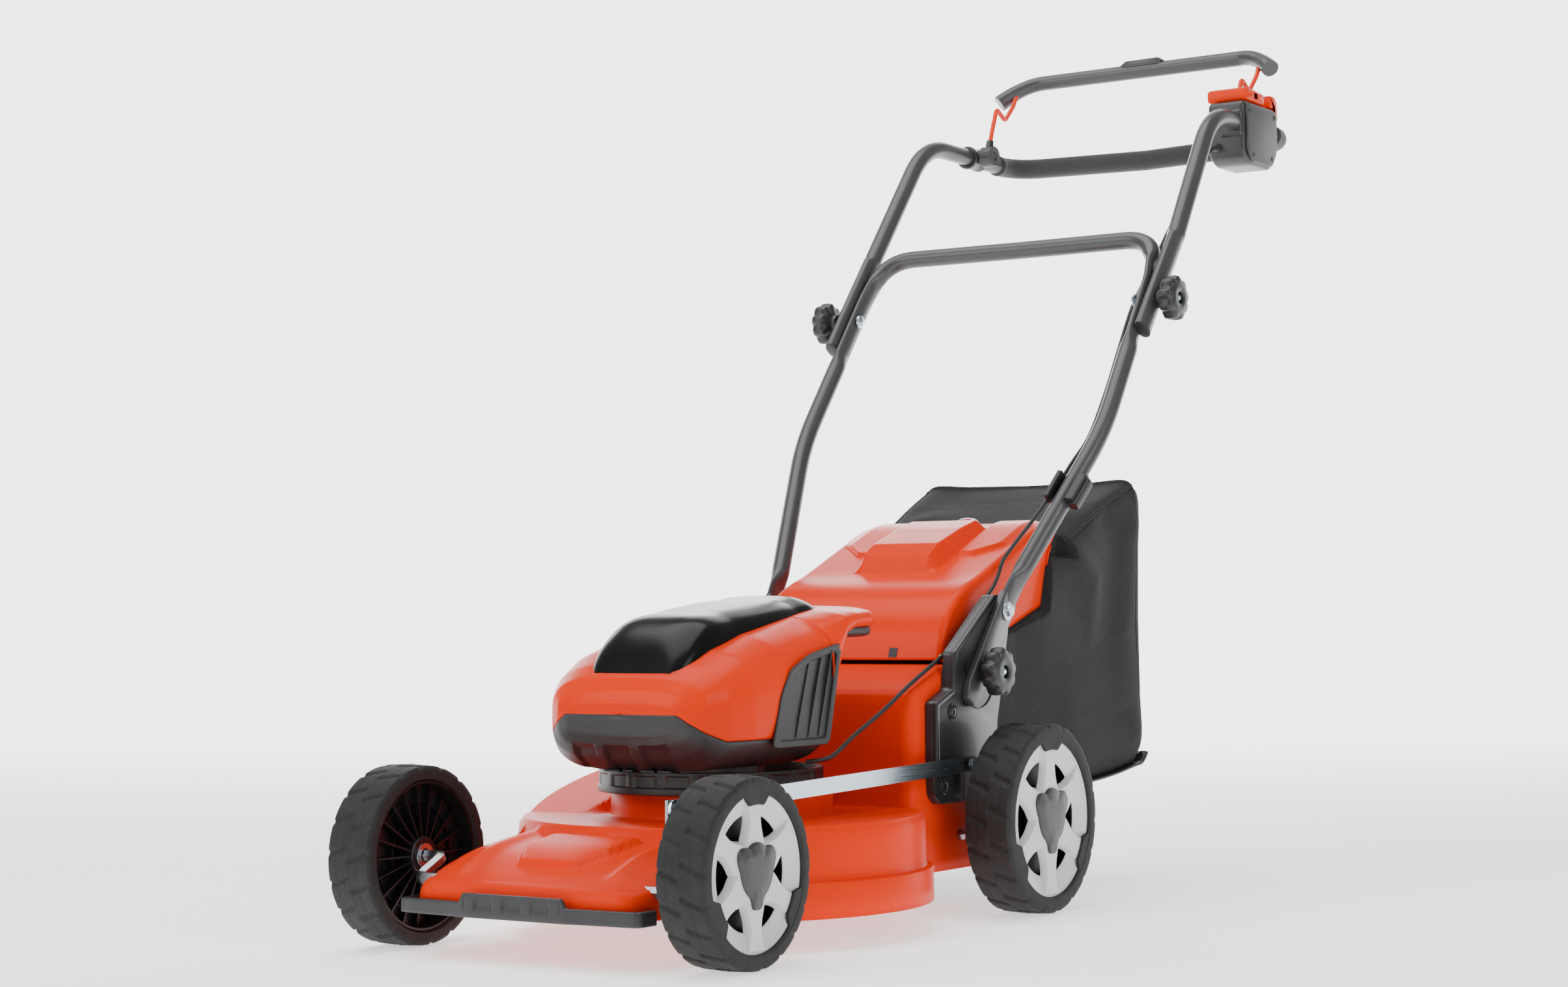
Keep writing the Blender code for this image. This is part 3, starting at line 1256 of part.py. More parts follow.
def upper_handle():
    """The upper handle: flat ends beside the lower handle, uprights, and the handlebar."""
    half = upper_route()
    route = mirrored_route(half)
    end_y = at(COLLAR[1]) + 0.003
    halves = []
    for x, y, z in route:
        if y < end_y:
            halves.append((UPPER_FLAT, SOCKET_TUBE_RADIUS + 0.0015))
        elif y < end_y + 0.012:
            halves.append((SOCKET_TUBE_RADIUS * 0.9, SOCKET_TUBE_RADIUS))
        else:
            halves.append((UPPER_TUBE_RADIUS, UPPER_TUBE_RADIUS))
    made = sweep("upper_handle", route, halves, tube_paint())
    for hand, side in SIDES:
        place = (side * UPPER_JOINT_X, UPPER_BOLT_Y, UPPER_BOLT_Z)
        knob_hole = KNOB_BOLT_RADIUS + CLEARANCE
        cut(made, rod(f"upper_bolt_hole_{hand}", "X", place, knob_hole, 0.04, tube_paint(), 12))
    return put_origin(made, (0, UPPER_BOLT_Y, UPPER_BOLT_Z))


def handlebar_grip():
    """The foam sleeve round the handlebar and its two bends."""
    route = [point for point in upper_route() if point[1] > GRIP_START_Y]
    route = mirrored_route(route)
    outer = [(GRIP_RADIUS, GRIP_RADIUS)] * len(route)
    bore = UPPER_TUBE_RADIUS + CLEARANCE
    made = sweep("handlebar_grip", route, outer, black_plastic(), 12)
    longer = mirrored_route([point for point in upper_route() if point[1] > GRIP_START_Y - 0.1])
    return cut(made, sweep("grip_bore", longer, [(bore, bore)] * len(longer), black_plastic()))


def switch_box():
    """The switch box clamped round the left upright, its cover plate, cap and start lever."""
    x_low = SWITCH_LOW[0]
    made = box("switch_box", SWITCH_LOW, SWITCH_HIGH, gloss_black(), 0.003, 2)
    tube_line = [point for point in upper_route() if point[1] > at(0.95)]
    bore = UPPER_TUBE_RADIUS + CLEARANCE
    both_sides = mirrored_route(tube_line)
    tube = sweep("box_bore", both_sides, [(bore, bore)] * len(both_sides), gloss_black())
    slot = box(
        "wire_slot", (BAIL_WIRE_X - 0.004, BAIL_AXIS_Y - 0.006, BAIL_AXIS_Z - 0.008),
        (BAIL_WIRE_X + 0.004, SWITCH_HIGH[1] + 0.01, SWITCH_HIGH[2] + 0.01), gloss_black(),
    )
    pin_hole = rod("pin_hole", "X", (BAIL_WIRE_X + 0.004, BAIL_AXIS_Y, BAIL_AXIS_Z),
                   BAIL_WIRE_RADIUS + RUNNING_GAP, 0.018, gloss_black(), 12)
    works = box("switch_space", (x_low + 0.003, SWITCH_LOW[1] + 0.008, SWITCH_LOW[2] + 0.004),
                (SWITCH_HIGH[0] + 0.003, SWITCH_HIGH[1] - 0.01, BAIL_AXIS_Z - 0.017), gloss_black())
    pivot_y, pivot_z = LEVER_PIVOT
    lug_high = LEVER_LOW_X - OFFSET
    lug = box("lever_lug", (lug_high - LUG_THICKNESS, pivot_y - 0.005, SWITCH_HIGH[2] - 0.003),
              (lug_high, pivot_y + 0.005, pivot_z + 0.005), gloss_black(), 0.001)
    pin_length = LEVER_HIGH_X - lug_high
    pin_x = lug_high + pin_length / 2 - 0.001
    pin = rod("lever_pin", "X", (pin_x, *LEVER_PIVOT), LEVER_PIN_RADIUS, pin_length, gloss_black(), 12)
    fuse(made, lug, pin)
    cut(made, tube, slot, pin_hole, works)
    cover_x = SWITCH_HIGH[0] + CLEARANCE
    box("switch_cover", (cover_x, SWITCH_LOW[1] + 0.003, SWITCH_LOW[2] + 0.003),
        (cover_x + 0.003, SWITCH_HIGH[1] - 0.003, SWITCH_HIGH[2] - 0.003), black_plastic(), 0.001)
    cap_low = SWITCH_HIGH[2] + CLEARANCE
    cap = box("switch_cap", (x_low - 0.008, at(1.100), cap_low),
              (SWITCH_HIGH[0] - 0.002, at(1.170), cap_low + 0.022), orange_plastic(), 0.006, 2)
    cap_slot = box(
        "cap_slot", (BAIL_WIRE_X - 0.004, BAIL_AXIS_Y - 0.004, cap_low - 0.01),
        (BAIL_WIRE_X + 0.004, at(1.200), cap_low + 0.04), orange_plastic(),
    )
    cut(cap, cap_slot)
    outline = [(y + LEVER_PIVOT[0], z + LEVER_PIVOT[1]) for y, z in LEVER_OUTLINE]
    bore = circle(LEVER_PIVOT, LEVER_PIN_RADIUS + RUNNING_GAP, 12)
    lever = slab("start_lever", outline, "X", LEVER_LOW_X, LEVER_HIGH_X, orange_plastic(), 0.0, [bore])
    put_origin(lever, (LEVER_LOW_X, *LEVER_PIVOT))


def bail_line():
    """The bail wire's left half, from its foot to the middle of the grip."""
    foot = (BAIL_WIRE_X, BAIL_AXIS_Y, BAIL_AXIS_Z)
    low = (BAIL_WIRE_X, at(1.1526), BAIL_AXIS_Z + 0.0255)
    high = (BAIL_WIRE_X, at(1.2066), BAIL_AXIS_Z + 0.0765)
    under = (BAIL_WIRE_X, at(1.2185), BAIL_AXIS_Z + 0.0935)
    return foot, low, high, under


def bail_bar(x):
    """The bail grip's middle line: straight in the middle and drooping towards its ends."""
    share = max(0.0, (abs(x) - BAIL_STRAIGHT_X) / (BAIL_END_X - BAIL_STRAIGHT_X))
    rise = 0.0055 * max(0.0, 1 - abs(x) / BAIL_STRAIGHT_X)
    return (x, at(1.2388) - 0.0308 * share, BAIL_AXIS_Z + 0.1111 + rise - 0.0286 * share)


def bail():
    """The bail that the hand holds: a steel wire with a moulded grip, its far hub and clamp."""
    foot, low, high, under = bail_line()
    bar = [bail_bar(x) for x in (0.160, BAIL_STRAIGHT_X, 0.0)]
    pin = (BAIL_WIRE_X + 0.0105, BAIL_AXIS_Y, BAIL_AXIS_Z)
    half = bent([pin, foot, low, high, under, *bar], [0.004, 0.02, 0.02, 0.006, 0.02, 0.03], 2)
    far = [(-x, y, z) for x, y, z in reversed(half[:-1])]
    far = [point for point in far if point[2] > BAIL_AXIS_Z + 0.014]
    route = half + far + [(-BAIL_WIRE_X, BAIL_AXIS_Y + 0.0035, BAIL_AXIS_Z + 0.0075)]
    axis = (0, BAIL_AXIS_Y, BAIL_AXIS_Z)
    put_origin(pipe("bail_wire", route, BAIL_WIRE_RADIUS, orange_paint(), 1), axis)

    bar_x = (BAIL_END_X, 0.18, 0.160, BAIL_STRAIGHT_X, 0.0)
    grip_line = mirrored_route([bail_bar(x) for x in bar_x])
    across_grip = [(BAIL_GRIP_RADIUS, BAIL_GRIP_RADIUS)] * len(grip_line)
    grip = sweep("bail_grip", grip_line, across_grip, dark_plastic(), 12, across=(0, 1, 0))
    channel = pipe("bail_channel", route, BAIL_WIRE_RADIUS + CLEARANCE, dark_plastic(), 1)
    cut(grip, channel)
    put_origin(grip, axis)

    hub_middle = (-HUB_MIDDLE_X, BAIL_AXIS_Y, BAIL_AXIS_Z)
    hub = rod("bail_hub", "X", hub_middle, HUB_OUTER_RADIUS, HUB_LENGTH, dark_plastic(), 24)
    last = Vector(route[-1])
    deeper = last + (last - Vector(route[-2])).normalized() * 3 * CLEARANCE
    wire_bore = BAIL_WIRE_RADIUS + CLEARANCE
    wire_clear = pipe("hub_channel", [*route[:-1], tuple(deeper)], wire_bore, dark_plastic(), 1)
    hub_bore = rod("hub_bore", "X", hub_middle, HUB_PIN_RADIUS + RUNNING_GAP, 0.03, dark_plastic(), 16)
    cut(hub, wire_clear, hub_bore)
    put_origin(hub, axis)

    ring_middle = (-upright_x(BAIL_AXIS_Y), BAIL_AXIS_Y, BAIL_AXIS_Z)
    clamp = rod("bail_clamp", "Y", ring_middle, UPPER_TUBE_RADIUS + CLAMP_WALL, 0.034, black_plastic(), 24)
    end_x = hub_middle[0] + HUB_LENGTH / 2
    start_x = ring_middle[0] + UPPER_TUBE_RADIUS + CLAMP_WALL / 2
    pin_middle = ((start_x + end_x) / 2, BAIL_AXIS_Y, BAIL_AXIS_Z)
    hub_pin = rod("hub_pin", "X", pin_middle, HUB_PIN_RADIUS, end_x - start_x, black_plastic(), 16)
    fuse(clamp, hub_pin)
    tube_line = [(-x, y, z) for x, y, z in upper_route() if y > at(0.95)][:-1]
    bore = UPPER_TUBE_RADIUS + CLEARANCE
    cut(clamp, sweep("clamp_bore", tube_line, [(bore, bore)] * len(tube_line), black_plastic()))


def smooth_route(points, spacing):
    """A Catmull-Rom curve through points, read off at an even spacing."""
    dense = []
    ends = [points[0], *points, points[-1]]
    for i in range(len(points) - 1):
        a, b, c, d = (Vector(ends[i + k]) for k in range(4))
        for k in range(20):
            t = k / 20
            dense.append(0.5 * ((2 * b) + (c - a) * t + (2 * a - 5 * b + 4 * c - d) * t * t
                                + (3 * b - a - 3 * c + d) * t ** 3))
    dense.append(Vector(points[-1]))
    length = sum((q - p).length for p, q in zip(dense, dense[1:]))
    count = max(2, round(length / spacing))
    step = length / count
    result = [tuple(dense[0])]
    walked = 0.0
    for p, q in zip(dense, dense[1:]):
        span = (q - p).length
        while len(result) <= count - 1 and walked + span >= step * len(result):
            result.append(tuple(p.lerp(q, (step * len(result) - walked) / span)))
        walked += span
    return result + [tuple(dense[-1])]


def cable_route(points):
    return smooth_route([(x, at(y), z) for x, y, z in points], CABLE_STEP)


def control_cable():
    """The cable from the switch box to the hood, in three stretches that meet near the fold axes."""
    for name, points in (
        ("control_cable_upper", CABLE_UPPER), ("control_cable_lower", CABLE_LOWER),
        ("control_cable_deck", CABLE_DECK),
    ):
        wire(name, cable_route(points), CABLE_RADIUS, cable_rubber(), 2)
    elbow = Vector((ELBOW_X, FOLD_Y + 0.0265, ELBOW_Z))
    knee = Vector((KNEE_X, KNEE_Y, KNEE_Z))
    low = tuple(elbow.lerp(knee, 0.57))
    high = tuple(elbow.lerp(knee, 0.67))
    clip = pipe("cable_clip", [low, high], LOWER_TUBE_RADIUS + 0.0025, black_plastic(), 4)
    beside = [(x - CLIP_OFFSET, y, z) for x, y, z in (low, high)]
    holder = pipe("clip_holder", beside, 0.0055, black_plastic(), 2)
    fuse(clip, holder)
    clear = LOWER_TUBE_RADIUS + 2 * CLEARANCE
    bore = sweep("clip_bore", between(elbow, knee, (0.3, 0.9)), [(clear, clear)] * 2, black_plastic(), 24)
    eye = pipe("clip_eye", cable_route(CABLE_LOWER), CABLE_RADIUS + 2 * CLEARANCE, black_plastic(), 2)
    cut(clip, bore, eye)


def flap_outline(inset):
    """The rear flap in side view, as (y, z): its arched top and its straight lower edge."""
    top = [(at(y), z - inset) for y, z in FLAP_TOP]
    if inset:
        top = [(y + inset, z) for y, z in top[1:-1]] + [(at(0.775), 0.4185 - inset)]
    low = [(at(y), z - (0.03 if inset else 0.0)) for y, z in FLAP_LOW]
    if inset:
        low = [(at(0.775), 0.370), *low[1:-1], (at(0.512), 0.24)]
    return top + low


def rear_flap():
    """The sprung flap over the outlet, with its grip block, on a rod between the brackets."""
    half = FLAP_HALF_WIDTH
    made = slab("rear_flap", flap_outline(0.0), "X", -half, half, orange_plastic(), 0.002)
    grip = slab("flap_grip", [(at(y), z) for y, z in FLAP_GRIP], "X", -0.045, 0.045, orange_plastic(), 0.002)
    inner_half = half - FLAP_WALL
    inside = slab("flap_inside", flap_outline(FLAP_WALL), "X", -inner_half, inner_half, orange_plastic())
    rod_bore = FLAP_ROD_RADIUS + RUNNING_GAP
    hole = rod("flap_rod_hole", "X", (0, FLAP_HINGE_Y, FLAP_HINGE_Z), rod_bore, 0.3, zinc(), 12)
    fuse(made, grip)
    cut(made, inside, hole)
    put_origin(made, (0, FLAP_HINGE_Y, FLAP_HINGE_Z))
    reach = BRACKET_INNER_X + 0.004
    rod("flap_rod", "X", (0, FLAP_HINGE_Y, FLAP_HINGE_Z), FLAP_ROD_RADIUS, 2 * reach, zinc(), 12)


def bag_rings(inset):
    rings = []
    last = len(BAG_SECTIONS) - 1
    for index, (y, half, low, high) in enumerate(BAG_SECTIONS):
        shift = (-0.02 if index == 0 else (-inset if index == last else 0.0)) if inset else 0.0
        shape = oval(half - inset, (high - low) / 2 - inset, BAG_SQUARENESS, 20)
        middle = (low + high) / 2
        rings.append([(x, at(y) + shift, middle + z) for x, z in shape])
    return rings


def grass_bag():
    """The fabric bag as one hollow form with its mouth forward, and the frame round the mouth."""
    made = loft("grass_bag", bag_rings(0.0), bag_cloth())
    cut(made, loft("bag_inside", bag_rings(BAG_WALL), bag_cloth()))
    under_flap = [(at(y), z - FLAP_TO_BAG) for y, z in reversed(FLAP_LOW)]
    lower = [
        (at(0.40), FLAP_LOW[-1][1] - 0.002), *under_flap, (at(0.765), FLAP_LOW[0][1] - 0.0026),
        (at(0.765), 0.60), (at(0.40), 0.60),
    ]
    for hand, side in SIDES:
        faces = sorted((side * (FLAP_HALF_WIDTH - FLAP_WALL - FLAP_TO_BAG), side * 0.20))
        cut(made, slab(f"shoulder_{hand}", lower, "X", faces[0], faces[1], bag_cloth()))
    y, half, low, high = BAG_SECTIONS[0]
    frame_low = TUNNEL_REAR_Y + CLEARANCE
    frame_high = at(y) - CLEARANCE
    outer = rounded([(-half, low), (half, low), (half, high), (-half, high)], 0.012, 3)
    inner = rounded([(0.012 - half, low + 0.012), (half - 0.012, low + 0.012), (half - 0.012, high - 0.012),
                     (0.012 - half, high - 0.012)], 0.008, 3)
    plate("bag_frame", outer, "Y", frame_low, frame_high, black_plastic(), 0.0, [inner])


running_gear()
deck()
motor()
blade_set()
hood()
power()
handle_brackets()
knobs()
lower_handle()
upper_handle()
handlebar_grip()
switch_box()
bail()
control_cable()
rear_flap()
grass_bag()
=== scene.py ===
"""Dresses the cordless lawn mower: smooth surfaces over its CAD bodies, and procedural finishes,
in a pale studio.

Metres, +Z up. The mower faces -Y, and +X is the side on the user's left hand."""

import math

import bmesh
import bpy
import numpy as np
from mathutils import Matrix, Vector


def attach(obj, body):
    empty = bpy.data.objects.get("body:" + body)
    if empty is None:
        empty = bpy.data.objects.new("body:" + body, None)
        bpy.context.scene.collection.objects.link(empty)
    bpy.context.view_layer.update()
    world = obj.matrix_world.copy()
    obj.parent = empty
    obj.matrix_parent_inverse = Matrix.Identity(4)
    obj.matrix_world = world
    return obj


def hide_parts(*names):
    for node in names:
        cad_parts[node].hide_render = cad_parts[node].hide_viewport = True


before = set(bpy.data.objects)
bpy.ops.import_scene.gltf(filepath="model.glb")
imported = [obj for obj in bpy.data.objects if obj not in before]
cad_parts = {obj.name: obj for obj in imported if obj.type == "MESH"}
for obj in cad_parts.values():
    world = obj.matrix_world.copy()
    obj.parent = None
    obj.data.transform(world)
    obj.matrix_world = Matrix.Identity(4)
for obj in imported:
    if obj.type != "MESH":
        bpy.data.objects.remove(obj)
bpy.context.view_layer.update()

# Camera: a long lens ahead of the mower's left front corner, at the height of the hood and tilted
# up a little, as in the photograph. Its place and turn were worked out from the wheels, the handles
# and the deck.
CAMERA_PLACE = (1.587, -2.609, 0.324)
CAMERA_TURN = (-33.52, 2.37, -0.49)
FOCAL_PIXELS = 4202
PHOTO_WIDTH = 2408

yaw, pitch, roll = np.radians(CAMERA_TURN)
ahead = Vector((math.sin(yaw) * math.cos(pitch), math.cos(yaw) * math.cos(pitch), math.sin(pitch)))
level = ahead.cross(Vector((0, 0, 1))).normalized()
upright = level.cross(ahead)
right = math.cos(roll) * level + math.sin(roll) * upright
above = math.cos(roll) * upright - math.sin(roll) * level
lens = bpy.data.cameras.new("studio_camera")
lens.lens = FOCAL_PIXELS / PHOTO_WIDTH * lens.sensor_width
lens.clip_end = 100
camera = bpy.data.objects.new("studio_camera", lens)
camera.matrix_world = Matrix.Translation(CAMERA_PLACE) \
    @ Matrix((right, above, -ahead)).transposed().to_4x4()
bpy.context.scene.collection.objects.link(camera)
bpy.context.scene.camera = camera


# Studio: a plain pale floor that rolls up into the backdrop, under a wide overhead softbox and
# three more round the mower. Matt board, so the eye sees only soft shadows under the mower; it also
# glows by itself as painted light, dim grey near the mower and white far behind it.
FLOOR_HALF = 14.0
FLOOR_RISE_START = 6.0
FLOOR_RISE = 9.0
FLOOR_COLUMNS = 25
FLOOR_ROWS = 97
BOARD_GLOW = 3.4
ROOM_LIGHT = 0.35
SOFTBOX_AIM = Vector((0, -0.1, 0.35))


def linear(code):
    """The linear colour of an sRGB hex code, by each channel's standard decoding curve."""
    channels = np.array([int(code[i:i + 2], 16) for i in (0, 2, 4)]) / 255
    decoded = np.where(channels <= 0.04045, channels / 12.92, ((channels + 0.055) / 1.055) ** 2.4)
    return (*(float(channel) for channel in decoded), 1.0)


def add_node(tree, kind, settings, links=()):
    """Adds one shader node. A setting is one of its properties or an input's value; a link is
    (input, output)."""
    node = tree.nodes.new(kind)
    for key, value in settings.items():
        if isinstance(key, str) and hasattr(node, key):
            setattr(node, key, value)
        else:
            node.inputs[key].default_value = value
    for key, output in links:
        tree.links.new(output, node.inputs[key])
    return node


def new_finish(name, settings):
    """A material with one shader whose sockets hold the finish's constant values."""
    made = bpy.data.materials.new(name)
    made.use_nodes = True
    shader = made.node_tree.nodes["Principled BSDF"]
    for key, value in settings.items():
        shader.inputs[key].default_value = value
    return made, made.node_tree, shader


def colour_blend(tree, share, first, second):
    """Runs from the first hex colour to the second as share goes from 0 to 1."""
    blend = add_node(tree, "ShaderNodeMix",
                     {"data_type": "RGBA", 6: linear(first), 7: linear(second)}, [(0, share)])
    return blend.outputs[2]


board, tree, shader = new_finish("glowing_white_board",
                                 {"Roughness": 0.95, "Specular IOR Level": 0.0,
                                  "Emission Strength": BOARD_GLOW})
place = add_node(tree, "ShaderNodeTexCoord", {}).outputs["Object"]
cloud = add_node(tree, "ShaderNodeTexNoise", {"Scale": 0.7, "Detail": 2.0}, [("Vector", place)])
tree.links.new(colour_blend(tree, cloud.outputs["Fac"], "F6F6F6", "F9F9F9"),
               shader.inputs["Base Color"])
# Painted light: the board's own glow runs from grey near the mower to white far behind it.
depth = add_node(tree, "ShaderNodeSeparateXYZ", {}, [("Vector", place)])
glow_by_depth = add_node(tree, "ShaderNodeMapRange",
                     {"From Min": 0.4, "From Max": 4.5, "To Min": 0.0, "To Max": 1.0,
                      "interpolation_type": "SMOOTHSTEP"}, [("Value", depth.outputs["Y"])])
tree.links.new(colour_blend(tree, glow_by_depth.outputs["Result"], "8E8E8E", "FFFFFF"),
               shader.inputs["Emission Color"])

across, along = np.meshgrid(np.linspace(-FLOOR_HALF, FLOOR_HALF, FLOOR_COLUMNS),
                            np.linspace(-FLOOR_HALF, FLOOR_HALF, FLOOR_ROWS))
rise = np.clip((along - FLOOR_RISE_START) / (FLOOR_HALF - FLOOR_RISE_START), 0, 1) ** 2 * FLOOR_RISE
floor_mesh = bpy.data.meshes.new("studio_floor")
corner = np.arange((FLOOR_ROWS - 1) * FLOOR_COLUMNS).reshape(-1, FLOOR_COLUMNS)[:, :-1].ravel()
floor_mesh.from_pydata(
    np.stack([across, along, rise], -1).reshape(-1, 3).tolist(), [],
    np.stack([corner, corner + 1, corner + FLOOR_COLUMNS + 1, corner + FLOOR_COLUMNS], -1).tolist(),
)
floor_mesh.shade_smooth()
floor_mesh.materials.append(board)
floor = bpy.data.objects.new("studio_floor", floor_mesh)
floor.rotation_euler.z = -float(yaw)
bpy.context.scene.collection.objects.link(floor)

for name, place, size, watts in (
    ("overhead_softbox", (-0.6, -0.4, 3.6), 3.0, 110),
    ("front_softbox", (-1.9, -3.4, 2.3), 2.0, 62),
    ("left_softbox", (3.4, -1.2, 2.0), 2.0, 50),
    ("rear_softbox", (-1.5, 3.2, 2.6), 2.4, 40),
):
    light = bpy.data.lights.new(name, "AREA")
    light.shape = "SQUARE"
    light.size = size
    light.energy = watts
    lamp = bpy.data.objects.new(name, light)
    lamp.location = place
    lamp.rotation_euler = (SOFTBOX_AIM - Vector(place)).to_track_quat("-Z", "Y").to_euler()
    bpy.context.scene.collection.objects.link(lamp)

sky = bpy.data.worlds.new("white_room")
sky.use_nodes = True
sky.node_tree.nodes["Background"].inputs["Color"].default_value = linear("FFFFFF")
sky.node_tree.nodes["Background"].inputs["Strength"].default_value = ROOM_LIGHT
bpy.context.scene.world = sky


# Deck: the cutting chamber with its nose, pressed from 2 mm sheet steel and sprayed with gloss
# orange enamel. A raised side channel on the far side leads the clippings round to the tunnel at
# the back.
FRONT_AXLE_Y = -0.589
DRUM_Y = FRONT_AXLE_Y + 0.258
DRUM_RADIUS = 0.213
DRUM_TOP_Z = 0.117
NECK_Z = 0.1412
SKIRT_Z = 0.030
NOSE_HALF = 0.137
NOSE_REACH = 0.325
NOSE_EDGE_Z = 0.045
STEEL_SHEET = 0.002
DECK_TURNS = 432
CROWN_REACH = 0.2025
SHOULDER_REACH = 0.199
SHOULDER_DROP = 0.009
PAD_HEIGHT = 0.0065
RIDGE_HEIGHT = 0.0045
RIDGE_X = 0.089
RAMP_SLOPE = 0.27
JOIN_WIDTH = 0.006
JOIN_HEIGHT = 0.0015
NOSE_POWER = 14
DRUM_POWER = 50
OUTLET_HALF = 0.130
OUTLET_START = 0.412
OUTLET_LOW_Z = 0.098


def smooth_step(values):
    """0 below 0, 1 above 1, and 3v^2 - 2v^3 between."""
    values = np.clip(values, 0, 1)
    return values * values * (3 - 2 * values)


def table(values, places, heights):
    """A smooth line through a table: cubic pieces that share their slope at each place."""
    places, heights = np.asarray(places, float), np.asarray(heights, float)
    slopes = np.gradient(heights, places)
    values = np.clip(values, places[0], places[-1])
    i = np.clip(np.searchsorted(places, values) - 1, 0, len(places) - 2)
    gap = places[i + 1] - places[i]
    t = (values - places[i]) / gap
    return ((2 * t ** 3 - 3 * t ** 2 + 1) * heights[i] + (t ** 3 - 2 * t ** 2 + t) * gap * slopes[i]
            + (3 * t ** 2 - 2 * t ** 3) * heights[i + 1] + (t ** 3 - t ** 2) * gap * slopes[i + 1])


def skin(points, round_rows=False, round_columns=False, caps=False, keep=None):
    """Quads over a grid of points, as (points, faces). A round direction joins its end to its
    start, caps closes the first and last row with a face each, and keep is a mask of the quads
    that stay."""
    points = np.asarray(points, float)
    rows, columns = points.shape[:2]
    i, j = np.meshgrid(np.arange(rows - (not round_rows)), np.arange(columns - (not round_columns)),
                       indexing="ij")
    here, there, after = i * columns, (i + 1) % rows * columns, (j + 1) % columns
    quads = np.stack([here + j, here + after, there + after, there + j], -1)
    faces = (quads.reshape(-1, 4) if keep is None else quads[keep]).tolist()
    if caps:
        faces += [list(range(columns))[::-1], list(range((rows - 1) * columns, rows * columns))]
    return points.reshape(-1, 3), faces


def piece(name, skins, finish, body, stands_for=(), sharp=32, wall=0.0):
    """Welds skins into one named mesh with its faces outwards, gives it a wall inwards, and fits
    it to its body."""
    starts = np.cumsum([0] + [len(points) for points, faces in skins])
    faces = [[v + int(start) for v in face] for (points, some),
             start in zip(skins, starts) for face in some]
    mesh = bpy.data.meshes.new(name)
    mesh.from_pydata(np.concatenate([points for points, some in skins]).tolist(), [], faces)
    work = bmesh.new()
    work.from_mesh(mesh)
    bmesh.ops.remove_doubles(work, verts=work.verts, dist=0.000002)
    bmesh.ops.recalc_face_normals(work, faces=work.faces)
    work.to_mesh(mesh)
    work.free()
    mesh.materials.append(finish)
    mesh.shade_smooth()
    mesh.set_sharp_from_angle(angle=math.radians(sharp))
    thing = bpy.data.objects.new(name, mesh)
    bpy.context.scene.collection.objects.link(thing)
    if wall:
        sheet = thing.modifiers.new("wall", "SOLIDIFY")
        sheet.thickness = wall
        sheet.offset = -1
    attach(thing, body)
    if stands_for:
        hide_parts(*stands_for)
    return thing


def deck_height(x, y):
    """The deck's top over a place: the highest of the drum's flat top, the nose's slope and the
    side channel's ramp, with the nose's pressed pad and ridges added on, and a small fillet
    where two of them meet."""
    ahead_y = y - FRONT_AXLE_Y
    reach = np.hypot(x, y - DRUM_Y)
    shoulder = SHOULDER_DROP * smooth_step((reach - SHOULDER_REACH) / 0.007)
    dome = DRUM_TOP_Z - shoulder - np.maximum(reach - 0.2055, 0) * 5
    slope = table(ahead_y, (-0.067, -0.060, -0.050, -0.030, 0, 0.040, 0.080, 0.160),
                  (0.0660, 0.0705, 0.0752, 0.0835, 0.0945, 0.1022, 0.1065, 0.112))
    slope = slope - 0.014 * np.clip((np.abs(x) - 0.100) / 0.037, 0, 1) ** 2
    pad_half = 0.035 + 0.019 * np.clip((ahead_y + 0.026) / 0.030, 0, 1)
    pad = smooth_step((pad_half - np.abs(x)) / 0.006) * smooth_step((ahead_y + 0.030) / 0.007) \
        * smooth_step((0.058 - ahead_y) / 0.010)
    ridge = np.exp(-((np.abs(x) - RIDGE_X) / 0.008) ** 2) * smooth_step((ahead_y + 0.052) / 0.02)
    slope = slope + PAD_HEIGHT * pad + RIDGE_HEIGHT * ridge
    ramp = 0.110 + (ahead_y - 0.150) * RAMP_SLOPE
    ramp = np.where(x < 0, DRUM_TOP_Z + (ramp - DRUM_TOP_Z) * smooth_step((-0.108 - x) / 0.008), 0)
    top = np.where(ramp > DRUM_TOP_Z, np.maximum(dome, ramp - shoulder), dome)
    high, low = np.maximum(top, slope), np.minimum(top, slope)
    join = np.clip(1 - (high - low) / JOIN_WIDTH, 0, 1)
    return high + JOIN_HEIGHT * join ** 2


turn = np.linspace(0, 2 * np.pi, DECK_TURNS, endpoint=False)[:, None]
aside, onward = np.sin(turn), np.cos(turn)
nose_line = ((np.abs(aside) / NOSE_HALF) ** NOSE_POWER
             + (np.maximum(onward, 0) / NOSE_REACH) ** NOSE_POWER) ** (-1 / NOSE_POWER)
nose_line = np.where(onward > 0, nose_line, 0)
deck_line = DRUM_RADIUS * (1 + (nose_line / DRUM_RADIUS) ** DRUM_POWER) ** (1 / DRUM_POWER)
nose_share = smooth_step((deck_line - DRUM_RADIUS - 0.0015) / 0.022)
top_reach = np.concatenate([np.linspace(0.1145, 0.19, 22),
                            np.linspace(0.193, CROWN_REACH, 10)])[None, :]
top_rings = top_reach.shape[1]
out_share = np.linspace(0, 1, 42)[None, 1:] ** 0.8
reach = np.concatenate([
    np.broadcast_to(top_reach, (DECK_TURNS, top_rings)),
    (1 - nose_share) * (CROWN_REACH + 0.0018 * out_share)
    + nose_share * (CROWN_REACH + (deck_line - 0.2145) * out_share),
], 1)
top_x, top_y = aside * reach, DRUM_Y - onward * reach
top_z = deck_height(top_x, top_y)
edge_z = deck_height(aside * CROWN_REACH, DRUM_Y - onward * CROWN_REACH)
drum_z = edge_z - 0.003 * out_share ** 2
top_z[:, top_rings:] = (1 - nose_share) * drum_z + nose_share * top_z[:, top_rings:]
last_z = top_z[:, -1:]
drum_wall_reach = np.array([0.2049, 0.2052, 0.2053, 0.2053, 0.2053, 0.2056, 0.2064, 0.2105, 0.2122,
                            0.213, 0.213, 0.213])
